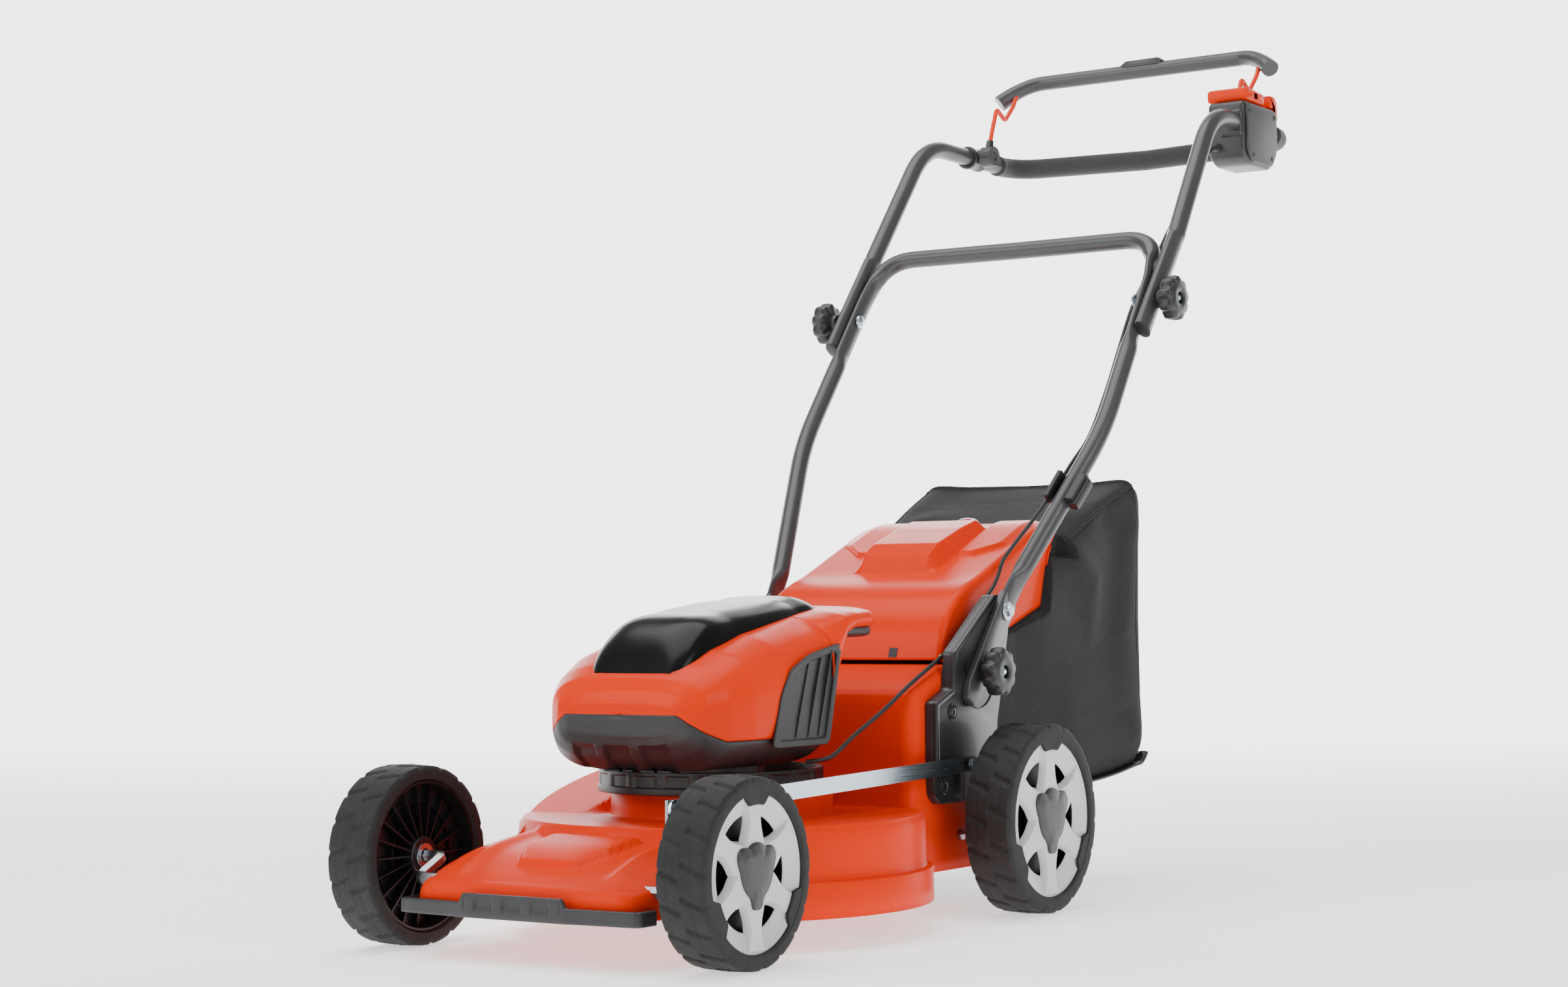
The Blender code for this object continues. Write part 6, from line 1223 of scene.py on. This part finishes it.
cover_line = ((1.091, 0.880), (1.090, 0.9405), (1.1805, 0.9405), (1.1805, 0.890), (1.166, 0.8690),
              (1.106, 0.8690))
screw_places = ((1.099, 0.9320), (1.1725, 0.9325), (1.1085, 0.8775), (1.1640, 0.8790))
screws = [turned_on_x([(0.0030, 0.2160), (0.0032, 0.2168), (0.0026, 0.2170), (0.0020, 0.2160),
                       (0.0002, 0.2158)], place_of, 1, 20) for place_of in screw_places]
piece("switch_side_cover", [switch_shell(cover_line, 0.2134, 0.2166, 0.0012, 0.009)], hub_grey,
      "upper_handle_set", ("switch_cover",))
piece("switch_cover_screws", screws, black_nylon, "upper_handle_set")
cap_front = switch_shell(((1.100, 0.9455), (1.100, 0.9625), (1.1385, 0.9625), (1.1385, 0.9455)),
                         0.1572, 0.2113, 0.0050, 0.006)
cap_inner = switch_shell(((1.120, 0.9455), (1.120, 0.9620), (1.1695, 0.9600), (1.1695, 0.9455)),
                         0.1572, 0.1722, 0.0030, 0.006)
cap_outer = switch_shell(((1.120, 0.9455), (1.120, 0.9620), (1.1560, 0.9605), (1.1560, 0.9455)),
                         0.1808, 0.2113, 0.0040, 0.005)
piece("orange_switch_cap", [cap_front, cap_inner, cap_outer], gloss_orange, "upper_handle_set",
      ("switch_cap",))
lever_line = [(1.178 + y, 0.952 + z)
              for y, z in ((-0.0035, -0.0055), (0.003, -0.0052), (0.0105, -0.002), (0.014, -0.0215),
                           (0.0195, -0.0200), (0.0178, 0.004), (0.010, 0.0098), (-0.0035, 0.0098))]
piece("orange_start_lever", [switch_shell(lever_line, 0.1896, 0.2104, 0.0012, 0.0012)],
      gloss_orange, "start_lever_body", ("start_lever",))


# Bail: a bent steel wire coated orange, with a dark grey moulded grip whose ends flare over the
# wire's bends. It pivots in the switch box on the left and in a hub on a clamp on the right.
BAIL_AXIS = (1.140, 0.9175)
BAIL_WIRE_X = 0.1765
CLAMP_X = -0.1999
BAIL_WIRE_RADIUS = 0.0030
BAIL_GRIP_RADIUS = 0.0098


def bail_middle_line(x):
    """The grip's middle line: almost straight, then drooping forwards and down at both ends."""
    share = np.clip((np.abs(x) - 0.1427) / 0.0553, 0, None)
    return np.stack([x, FRONT_AXLE_Y + 1.2388 - 0.0270 * share ** 1.5,
                     1.0275 - 0.0265 * share ** 2], -1)


wire_coat = moulded("orange_polyester_coat_on_wire", "E22E00", "EA3400", 0.32, 0.4, 0.04, shine=0.3)
wire_places = np.array([(0.1870, *BAIL_AXIS), (BAIL_WIRE_X, *BAIL_AXIS),
                        (BAIL_WIRE_X, 1.1470, 0.9430), (BAIL_WIRE_X, 1.1640, 0.9850),
                        (BAIL_WIRE_X, 1.1870, 0.9725), (BAIL_WIRE_X, 1.2110, 0.9960),
                        (BAIL_WIRE_X, 1.2185, 1.0090)])
wire_places[:, 1] += FRONT_AXLE_Y
wire_bends = (0.004, 0.012, 0.006, 0.006, 0.006, 0.006)
near_wire = rounded_route(np.concatenate([wire_places, bail_middle_line(np.array([0.172]))]),
                          wire_bends)
far_wire = near_wire[near_wire[:, 2] > 0.930] * np.array([-1, 1, 1])
wires = [carry(line, BAIL_WIRE_RADIUS, BAIL_WIRE_RADIUS, across, 14)
         for line, across in ((near_wire[5:], (1, 0, 0)), (near_wire[:7], (0, 1, 0.2)),
                              (far_wire, (1, 0, 0)))]
piece("bail_bent_wire", wires, wire_coat, "bail_set", ("bail_wire",))
grip_x = np.linspace(-0.198, 0.194, 181)
grip_line = bail_middle_line(grip_x)
end_share = smooth_step((np.abs(grip_x) - 0.168) / 0.030)
grip_tall = BAIL_GRIP_RADIUS * (1 + 0.12 * end_share)
grip_wide = BAIL_GRIP_RADIUS * (1 + 0.25 * end_share)
tab_line = np.array([(-0.027, 1.238, 1.0340), (-0.018, 1.238, 1.0370), (0.028, 1.238, 1.0375),
                     (0.033, 1.238, 1.0355)])
tab_line[:, 1] += FRONT_AXLE_Y
grip_tab = carry(tab_line, (0.0060, 0.0085, 0.0085, 0.0065), (0.0020, 0.0048, 0.0048, 0.0030),
                 across=(0, 1, 0), sides=24, power=5.0)
piece("moulded_bail_grip",
      [carry(grip_line, grip_wide, grip_tall, across=(0, 1, 0), sides=32), grip_tab], tube_coat,
      "bail_set", ("bail_grip",))
hub = turned_on_x([(0.0045, 0.1845), (0.0125, 0.1845), (0.0135, 0.1835), (0.0135, 0.1670),
                   (0.0125, 0.1657), (0.0060, 0.1655), (0.0052, 0.1665), (0.0045, 0.1680)],
                  BAIL_AXIS, -1)
collar_line = far_wire[0] + np.array([(0, -0.004, -0.012), (0, 0.0012, 0.006), (0, 0.0016, 0.008)])
collar_half = (0.0060, 0.0056, 0.0048)
collar = carry(collar_line, collar_half, collar_half, sides=6)
piece("bail_far_hub", [hub, collar], hub_grey, "bail_set", ("bail_hub",))
clamp_rows = np.array([(0.0115, -0.0170), (0.0145, -0.0170), (0.0150, -0.0160), (0.0150, -0.0120),
                       (0.0142, -0.0105), (0.0142, 0.0105), (0.0150, 0.0120), (0.0150, 0.0160),
                       (0.0145, 0.0170), (0.0115, 0.0170)])
angle = np.linspace(0, 2 * np.pi, 40, endpoint=False)[:, None]
clamp = np.stack(np.broadcast_arrays(CLAMP_X + clamp_rows[:, 0] * np.sin(angle),
                                     FRONT_AXLE_Y + BAIL_AXIS[0] + clamp_rows[:, 1],
                                     BAIL_AXIS[1] - 0.0008 + clamp_rows[:, 0] * np.cos(angle)), -1)
boss = turned_on_x([(0.0002, 0.1665), (0.0040, 0.1665), (0.0040, 0.1852), (0.0105, 0.1856),
                    (0.0105, 0.1900)], BAIL_AXIS, -1, 32)
piece("bail_clamp_collar", [skin(clamp, True, True), boss], hub_grey, "upper_handle_set",
      ("bail_clamp",))


# Control cable: a black rubber-jacketed cable of 4.4 mm from the switch box to the hood, held by a
# clip on its way. It runs in three stretches that meet where the handles fold, so each one rides on
# its own body.
CABLE_RADIUS = 0.0022
CABLE_STRETCHES = {"upper": ("upper_handle_set",
                             ((0.178, 1.0846, 0.886), (0.178, 1.072, 0.884), (0.181, 1.048, 0.873),
                              (0.185, 1.015, 0.848), (0.187, 0.985, 0.822), (0.187, 0.955, 0.797),
                              (0.1865, 0.925, 0.766), (0.184, 0.910, 0.746))),
                   "lower": ("lower_handle_set",
                             ((0.1838, 0.9092, 0.7450), (0.181, 0.892, 0.722),
                              (0.178, 0.868, 0.695), (0.1775, 0.840, 0.664), (0.180, 0.803, 0.617),
                              (0.1835, 0.760, 0.563), (0.1815, 0.722, 0.512),
                              (0.1725, 0.695, 0.480), (0.1653, 0.6745, 0.4549),
                              (0.153, 0.645, 0.420), (0.1405, 0.6235, 0.3925),
                              (0.1328, 0.6100, 0.3744), (0.132, 0.60317, 0.36386))),
                   "deck": ("chassis",
                            ((0.132, 0.60296, 0.36353), (0.1315, 0.5948, 0.3510),
                             (0.1305, 0.583, 0.339), (0.1295, 0.541, 0.309),
                             (0.1285, 0.4968, 0.2785), (0.1275, 0.455, 0.2590),
                             (0.1265, 0.4154, 0.2415), (0.1255, 0.365, 0.2170),
                             (0.1245, 0.3129, 0.1950), (0.1235, 0.275, 0.177),
                             (0.117, 0.261, 0.1725), (0.106, 0.251, 0.171)))}


def through(points, steps=10):
    """A smooth line through points: Catmull-Rom cubics, whose slope at a point follows its two
    neighbours."""
    points = np.asarray(points, float)
    ends = np.concatenate([points[:1], points, points[-1:]])
    t = np.linspace(0, 1, steps, endpoint=False)[None, :, None]
    a, b, c, d = (ends[k:len(ends) - 3 + k][:, None] for k in range(4))
    line = 0.5 * (2 * b + (c - a) * t + (2 * a - 5 * b + 4 * c - d) * t ** 2
                  + (3 * b - a - 3 * c + d) * t ** 3)
    return np.concatenate([line.reshape(-1, points.shape[1]), points[-1:]])


# Extruded rubber: black, dull, and a little chalky where it is handled.
jacket = patterned("rubber_cable_jacket", {"Roughness": 0.55, "IOR": 1.5},
                   {"Scale": 120.0, "Detail": 4.0}, ("1A1B1C", "262728"),
                   relief=(None, 0.2, 0.0003))
for stretch, (body, places) in CABLE_STRETCHES.items():
    route = np.array(places) + (0, FRONT_AXLE_Y, 0)
    piece(f"cable_jacket_{stretch}", [carry(through(route), CABLE_RADIUS, CABLE_RADIUS, sides=14)],
          jacket, body, (f"control_cable_{stretch}",))

elbow, knee = left_leg[1:3]
clip_line = elbow + (knee - elbow) * np.array([0.49, 0.495, 0.66, 0.665])[:, None]
clip_edge = np.array([0.85, 1.0, 1.0, 0.85])
outer_block = carry(clip_line + (0.0150, -0.0040, 0), 0.0065 * clip_edge, 0.0105 * clip_edge,
                    across=(1, 0, 0), sides=24, power=7.0)
outer_rib = carry(clip_line[[0, 2]] + (0.0205, -0.0070, -0.002), 0.0040, 0.0050, across=(1, 0, 0),
                  sides=16, power=6.0)
inner_plate = carry(clip_line + (-0.0148, -0.0010, 0.006), 0.0030 * clip_edge, 0.0085 * clip_edge,
                    across=(1, 0, 0), sides=24, power=7.0)
back_band = carry(clip_line[1:3] + (0, 0.0115, 0.006), 0.0125, 0.0028, across=(1, 0, 0), sides=24,
                  power=6.0)
piece("cable_holder_clip", [outer_block, outer_rib, inner_plate, back_band], satin_black,
      "lower_handle_set", ("cable_clip",))


# Rear flap: the orange hinged cover over the outlet and the bag's mouth, moulded in one piece with
# flat sides. Glossy ABS: a raised grip block with bevelled sides in its middle, and a low shoulder
# pad on each side of it.
FLAP_HALF = 0.120
FLAP_BEND = 0.007
FLAP_TOP_LINE = ((0.4915, 0.2665), (0.4955, 0.2790), (0.5000, 0.2915), (0.515, 0.3180),
                 (0.545, 0.3420), (0.594, 0.3605), (0.660, 0.3880), (0.716, 0.4110),
                 (0.745, 0.4170), (0.760, 0.4185))
FLAP_LOW_LINE = ((0.4930, 0.2640), (0.5700, 0.2820), (0.6470, 0.3000), (0.7170, 0.3226),
                 (0.7330, 0.3816))
GRIP_HALF = 0.0425
GRIP_BEVEL = 0.011
GRIP_RISE = ((0.594, 0.0), (0.6086, 0.0160), (0.630, 0.0200), (0.680, 0.0165), (0.7135, 0.0120),
             (0.7175, 0.0))
PAD_RISE = 0.0042
FLAP_WALL = 0.0026
FLAP_COLUMNS = 181
FLAP_ROWS = 150


def flap_surface():
    """The flap as sections across the mower. Each goes up one side from the low line to the top
    line, round a bend of its own radius, over the top, and down the other side; the top is
    lifted by the grip's and the pads' heights."""
    top = evenly(through(FLAP_TOP_LINE, 12), FLAP_ROWS)
    low = evenly(FLAP_LOW_LINE, FLAP_ROWS)
    heading = np.gradient(top, axis=0)
    heading /= np.linalg.norm(heading, axis=1)[:, None]
    normal = np.stack([-heading[:, 1], heading[:, 0]], -1)
    x = np.linspace(-1, 1, FLAP_COLUMNS) * (FLAP_HALF - FLAP_BEND)
    place = top[:, :1]
    rise_at, rise = zip(*GRIP_RISE)
    bevel = np.clip((GRIP_HALF + GRIP_BEVEL - np.abs(x)) / GRIP_BEVEL, 0, 1)
    grip = np.interp(place, rise_at, rise) * bevel
    pad_start = 0.6400 + 0.9 * np.maximum(np.abs(x) - 0.075, 0)
    pad = PAD_RISE * smooth_step((place - pad_start) / 0.004) * smooth_step((0.748 - place) / 0.006)
    pad = pad * smooth_step((np.abs(x) - 0.0555) / 0.003)
    pad = pad * np.clip((0.1125 - np.abs(x)) / 0.014, 0, 1)
    step = 0.0012 * smooth_step((place - 0.4985) / 0.003) * smooth_step((0.520 - place) / 0.02)
    lift = np.maximum(grip, pad) + step
    over = np.stack([np.broadcast_to(x, lift.shape), top[:, :1] + normal[:, :1] * lift,
                     top[:, 1:] + normal[:, 1:] * lift], -1)
    angle = np.linspace(0, np.pi / 2, 7)[:-1]
    out = FLAP_HALF - FLAP_BEND + FLAP_BEND * np.cos(angle)
    sink = FLAP_BEND * (np.sin(angle) - 1)
    bend_yz = top[:, None] + normal[:, None] * sink[None, :, None]
    side_share = np.linspace(0, 1, 14)[:-1, None]
    side_yz = low[:, None] + (bend_yz[:, :1] - low[:, None]) * side_share
    wall_yz = np.concatenate([side_yz, bend_yz], 1)
    wall_x = np.concatenate([np.full(len(side_share), FLAP_HALF), out])
    right = np.concatenate([np.broadcast_to(wall_x, wall_yz.shape[:2])[..., None], wall_yz], -1)
    left = right * np.array([-1, 1, 1])
    section = np.concatenate([left, over, right[:, ::-1]], 1)
    section[..., 1] += FRONT_AXLE_Y
    return section


piece("orange_rear_flap", [skin(flap_surface())], gloss_orange, "flap",
      ("rear_flap",), sharp=24, wall=FLAP_WALL)
# Painted shade: the slot in the flap's lip is a small black block on its face, standing for the
# dark inside of the opening.
slot_line = framed_outline([(0.0555, 0.2690), (0.0655, 0.2690), (0.0655, 0.2790), (0.0555, 0.2790)],
                           0, 0.0008)
slot_depths = (0.4952, 0.4915, 0.4915, 0.4918)
slot_rows = slab_rows(slot_line, slot_depths, (0.0, 0.0, 0.0009, 0.0009))
slot_rows = np.stack([slot_rows[..., 0],
                      FRONT_AXLE_Y + slot_rows[..., 2] + (slot_rows[..., 1] - 0.2665) * 0.32
                      - 0.0006, slot_rows[..., 1]], -1)
piece("flap_slot_shade_patch", [skin(slot_rows, False, True, True)], black_nylon, "flap")
arch = np.linspace(0, np.pi, 15)
loop_line = np.stack([0.018 + 0.016 * np.cos(arch), FRONT_AXLE_Y + 0.7315 + 0 * arch,
                      0.4130 + 0.0105 * np.sin(arch) ** 0.6], -1)
piece("flap_spring_loop", [carry(loop_line, 0.0013, 0.0013, (0, 1, 0), 12)], bright_zinc, "flap")


# Grass bag: a soft polyester mesh bag on a wire frame, sagging between its corded seams, with a
# stiff base rim. Its cloth is woven from thick dark grey yarn, so the eye sees rows of small raised
# cells, with painted shade: the sunken gaps between them are coloured near black.
BAG_SECTIONS = np.array([(0.567, 0.126, 0.095, 0.2545), (0.600, 0.128, 0.096, 0.290),
                         (0.650, 0.130, 0.098, 0.365), (0.700, 0.136, 0.101, 0.385),
                         (0.750, 0.140, 0.105, 0.400), (0.850, 0.145, 0.118, 0.450),
                         (0.920, 0.150, 0.130, 0.478), (0.935, 0.145, 0.150, 0.465)])
BAG_POWER = 5.0
YARN_WIDE = 0.0029
YARN_TALL = 0.0019
CLOTH_WALL = 0.0012
BAG_ROWS = 150
BAG_BACK_ROWS = 26
BAG_COLUMNS = 240
BAG_MIDDLE_Z = 0.305
BAG_BACK = 0.935
# Each fold: where its line starts and ends, its half-width and its height; side folds in (along,
# up), roof in (along, across)
SIDE_FOLDS = (((0.735, 0.410), (0.885, 0.300), 0.020, 0.0072),
              ((0.885, 0.305), (0.912, 0.160), 0.022, 0.0050),
              ((0.690, 0.330), (0.790, 0.200), 0.040, 0.0030),
              ((0.915, 0.430), (0.885, 0.340), 0.020, 0.0035),
              ((0.700, 0.150), (0.890, 0.190), 0.030, 0.0025),
              ((0.840, 0.430), (0.905, 0.350), 0.022, -0.0040))
ROOF_FOLDS = (
    ((0.655, -0.06), (0.700, 0.10), 0.010, 0.0050), ((0.720, -0.12), (0.770, 0.09), 0.016, 0.0045),
    ((0.80, -0.10), (0.90, 0.02), 0.020, 0.0035), ((0.800, 0.110), (0.905, 0.030), 0.018, 0.0035),
)


def fold(y, z, start, end, width, height):
    """A soft ridge along the line from start to end: height times exp(-(distance / width)^2),
    faded at both ends."""
    run = np.subtract(end, start)
    length = np.hypot(*run)
    share = ((y - start[0]) * run[0] + (z - start[1]) * run[1]) / length ** 2
    away = ((z - start[1]) * run[0] - (y - start[0]) * run[1]) / length
    fade = smooth_step((share + 0.12) / 0.25) * smooth_step((1.12 - share) / 0.25)
    return height * np.exp(-(away / width) ** 2) * fade


def bag_section(y):
    """The bag's half-width, low edge and high edge at places measured from the front axle."""
    return [np.interp(y, BAG_SECTIONS[:, 0], BAG_SECTIONS[:, k]) for k in (1, 2, 3)]


def bag_surface():
    """The bag's cloth: superellipse sections that narrow under the flap's sides, with the folds'
    heights taken in across the sides and the roof, and a back whose sections shrink to its
    middle. Returns points and cloth lengths."""
    y = np.concatenate([np.linspace(0.567, 0.925, BAG_ROWS), np.full(BAG_BACK_ROWS, BAG_BACK)])
    close = np.concatenate([np.zeros(BAG_ROWS), np.linspace(0, 1, BAG_BACK_ROWS)])[:, None]
    angle = np.linspace(0, 2 * np.pi, BAG_COLUMNS, endpoint=False)[None, :]
    half, low, high = (column[:, None] for column in bag_section(np.minimum(y, 0.9275)))
    power = BAG_POWER + 7.0 * smooth_step((y[:, None] - 0.68) / 0.20)
    a, b = signed_power(np.cos(angle), 2 / power), signed_power(np.sin(angle), 2 / power)
    x, z = half * a, (low + high) / 2 + (high - low) / 2 * b
    y = np.broadcast_to(y[:, None], x.shape)
    side, roof = np.abs(a) ** 6, np.clip(b, 0, 1) ** 6
    sag = 0.0045 * np.sin(np.pi * np.clip((z - low) / (high - low), 0, 1)) \
        * smooth_step((y - 0.60) / 0.1)
    folds = sum(fold(y, z, *crease) for crease in SIDE_FOLDS)
    fine = 0.0007 * np.sin(41 * y + 17 * z) * np.sin(23 * z - 19 * y + 2.0)
    x = x - np.sign(a) * side * (0.0045 + sag - folds - fine)
    drape = sum(fold(y, x, *crease) for crease in ROOF_FOLDS)
    z = z - roof * (0.0010 + 0.009 * (1 - np.abs(a) ** 3) * smooth_step((y - 0.76) / 0.1) - drape)
    flap_low = np.interp(y, *zip(*FLAP_LOW_LINE)) - 0.002
    room = np.maximum(smooth_step((flap_low - z) / 0.010), smooth_step((y - 0.7655) / 0.014))
    x = np.sign(x) * np.minimum(np.abs(x), 0.1150 + 0.05 * room)
    shrink = 1 - close ** 2.2
    x, z = x * shrink, BAG_MIDDLE_Z + (z - BAG_MIDDLE_Z) * shrink
    bulge = 0.010 * (1 - np.abs(x / 0.15) ** 3) * (1 - np.abs((z - BAG_MIDDLE_Z) / 0.175) ** 3)
    back = np.where(close > 0, -0.0085 + np.minimum(bulge, 0.0085) * np.sqrt(close), 0)
    y = y - 0.0095 * (close == 0) * smooth_step((y - 0.905) / 0.02) + back
    points = np.stack([x, FRONT_AXLE_Y + y, z], -1)
    steps = np.linalg.norm(np.diff(points, axis=0), axis=2)
    walked_along = np.concatenate([np.zeros((1, BAG_COLUMNS)), np.cumsum(steps, 0)])
    ring = np.linalg.norm(points - np.roll(points, 1, 1), axis=2)
    walked_round = np.cumsum(ring[BAG_ROWS // 2])[None, :].repeat(len(points), 0)
    return points, np.stack([walked_along, walked_round], -1)


def woven(name, dark, light, yarn_wide, yarn_tall):
    """Thick woven cloth: half-lapped cells of the yarn's size, read from the cloth's own
    lengths. The gaps between the cells are coloured near black as painted shade, where the bump
    sinks them."""
    made, tree, shader = new_finish(name, {"Roughness": 0.82, "IOR": 1.5,
                                           "Specular IOR Level": 0.25, "Sheen Weight": 0.08,
                                           "Sheen Roughness": 0.5})
    lengths = add_node(tree, "ShaderNodeAttribute", {"attribute_name": "cloth"}).outputs["Vector"]
    cells = add_node(tree, "ShaderNodeTexBrick",
                     {"offset": 0.5, "Scale": 1.0, "Mortar Size": yarn_tall * 0.24,
                      "Mortar Smooth": 0.9, "Brick Width": yarn_wide, "Row Height": yarn_tall,
                      "Color1": (0.75, 0.75, 0.75, 1), "Color2": (1, 1, 1, 1),
                      "Mortar": (0, 0, 0, 1)}, [("Vector", lengths)])
    place = add_node(tree, "ShaderNodeTexCoord", {}).outputs["Object"]
    wear = add_node(tree, "ShaderNodeTexNoise", {"Scale": 9.0, "Detail": 5.0}, [("Vector", place)])
    # Painted shade: the bricks' mortar, the gaps between the yarn cells, is black in the colour as
    # well as low in the bump.
    mixed = add_node(tree, "ShaderNodeMath", {"operation": "MULTIPLY_ADD", 1: 0.45},
                     [(0, wear.outputs["Fac"]), (2, cells.outputs["Color"])])
    share = add_node(tree, "ShaderNodeMapRange", {"From Min": 0.1, "From Max": 1.35},
                     [("Value", mixed.outputs["Value"])])
    tree.links.new(colour_blend(tree, share.outputs["Result"], dark, light),
                   shader.inputs["Base Color"])
    bump = add_node(tree, "ShaderNodeBump", {"Strength": 0.75, "Distance": 0.0006},
                    [("Height", cells.outputs["Color"])])
    tree.links.new(bump.outputs["Normal"], shader.inputs["Normal"])
    return made


cloth = woven("dark_grey_polyester_mesh", "0E0F10", "2C2D2E", YARN_WIDE, YARN_TALL)
bag_points, cloth_lengths = bag_surface()
bag_skin = skin(bag_points, round_columns=True)
last_row = list(range(len(bag_skin[0]) - BAG_COLUMNS, len(bag_skin[0])))
bag_mesh = bpy.data.meshes.new("mesh_grass_bag")
bag_mesh.from_pydata(bag_skin[0].tolist(), [], bag_skin[1] + [last_row[::-1]])
work = bmesh.new()
work.from_mesh(bag_mesh)
bmesh.ops.recalc_face_normals(work, faces=work.faces)
work.to_mesh(bag_mesh)
work.free()
lengths_layer = bag_mesh.attributes.new("cloth", "FLOAT_VECTOR", "POINT")
flat_lengths = np.concatenate([cloth_lengths.reshape(-1, 2),
                               np.zeros((cloth_lengths.size // 2, 1))], 1)
lengths_layer.data.foreach_set("vector", flat_lengths.ravel())
bag_mesh.materials.append(cloth)
bag_mesh.shade_smooth()
bag = bpy.data.objects.new("mesh_grass_bag", bag_mesh)
bpy.context.scene.collection.objects.link(bag)
cloth_wall = bag.modifiers.new("wall", "SOLIDIFY")
cloth_wall.thickness = CLOTH_WALL
cloth_wall.offset = -1
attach(bag, "bag")
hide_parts("grass_bag")

binding = moulded("woven_black_seam_binding", "121314", "1C1D1E", 0.75, 0.9, 0.35)
BACK_ROW = BAG_ROWS - 1
eighth = BAG_COLUMNS // 8
for hand, column in (("left", eighth), ("right", 3 * eighth)):
    seam_line = evenly(bag_points[84:BACK_ROW:4, column], 120)
    piece(f"corded_top_seam_{hand}", [carry(seam_line, 0.0021, 0.0021, (0, 0, 1), 12)], binding,
          "bag")
back_ring = evenly(np.concatenate([bag_points[BACK_ROW], bag_points[BACK_ROW, :1]]), 400)[:-1]
out = back_ring - np.array([0, FRONT_AXLE_Y + 0.925, BAG_MIDDLE_Z])
out[:, 1] = 0
out /= np.linalg.norm(out, axis=1)[:, None]
spin = np.linspace(0, 2 * np.pi, 12, endpoint=False)[None, :, None]
back_cord = back_ring[:, None] \
    + 0.0020 * (out[:, None] * np.cos(spin) + np.array([0, 1.0, 0]) * np.sin(spin))
piece("corded_back_seam", [skin(back_cord, True, True)], binding, "bag")

left_low = bag_points[60:BACK_ROW + 2:6, 7 * eighth]
back_low = bag_points[BACK_ROW + 1, 7 * eighth:5 * eighth:-6]
right_low = bag_points[60:BACK_ROW + 2:6, 5 * eighth][::-1]
rim_line = evenly(through(np.concatenate([left_low, back_low, right_low]), 6), 300)
rim_shift = np.stack([np.sign(rim_line[:, 0]) * 0.0040,
                      0.0060 * smooth_step((rim_line[:, 1] - FRONT_AXLE_Y - 0.88) / 0.04),
                      0.004 + 0 * rim_line[:, 0]], -1)
rim_line = rim_line + np.array([1, 1, -0.3]) * rim_shift
piece("stiff_base_rim", [carry(rim_line, 0.0020, 0.0070, (0, 0, 1), 20, power=3.5)], black_nylon,
      "bag")
frame_corners = framed_outline([(-0.1200, 0.1010), (0.1200, 0.1010), (0.1200, 0.2485),
                                (-0.1200, 0.2485)], 0, 0.014)
frame_ring = evenly(np.concatenate([frame_corners, frame_corners[:1]]), 200)[:-1]
frame_rows = slab_rows(frame_ring,
                       (0.5606, 0.5603, 0.5610, 0.5660, 0.5667, 0.5667, 0.5660, 0.5610, 0.5603),
                       (-0.0050, -0.0044, -0.0058, -0.0058, -0.0048, 0.0048, 0.0058, 0.0058,
                        0.0044))
frame_rows = np.stack([frame_rows[..., 0], FRONT_AXLE_Y + frame_rows[..., 2], frame_rows[..., 1]],
                      -1)
piece("bag_mouth_frame", [skin(frame_rows[1:], True, True)], black_nylon, "bag",
      ("bag_frame",))
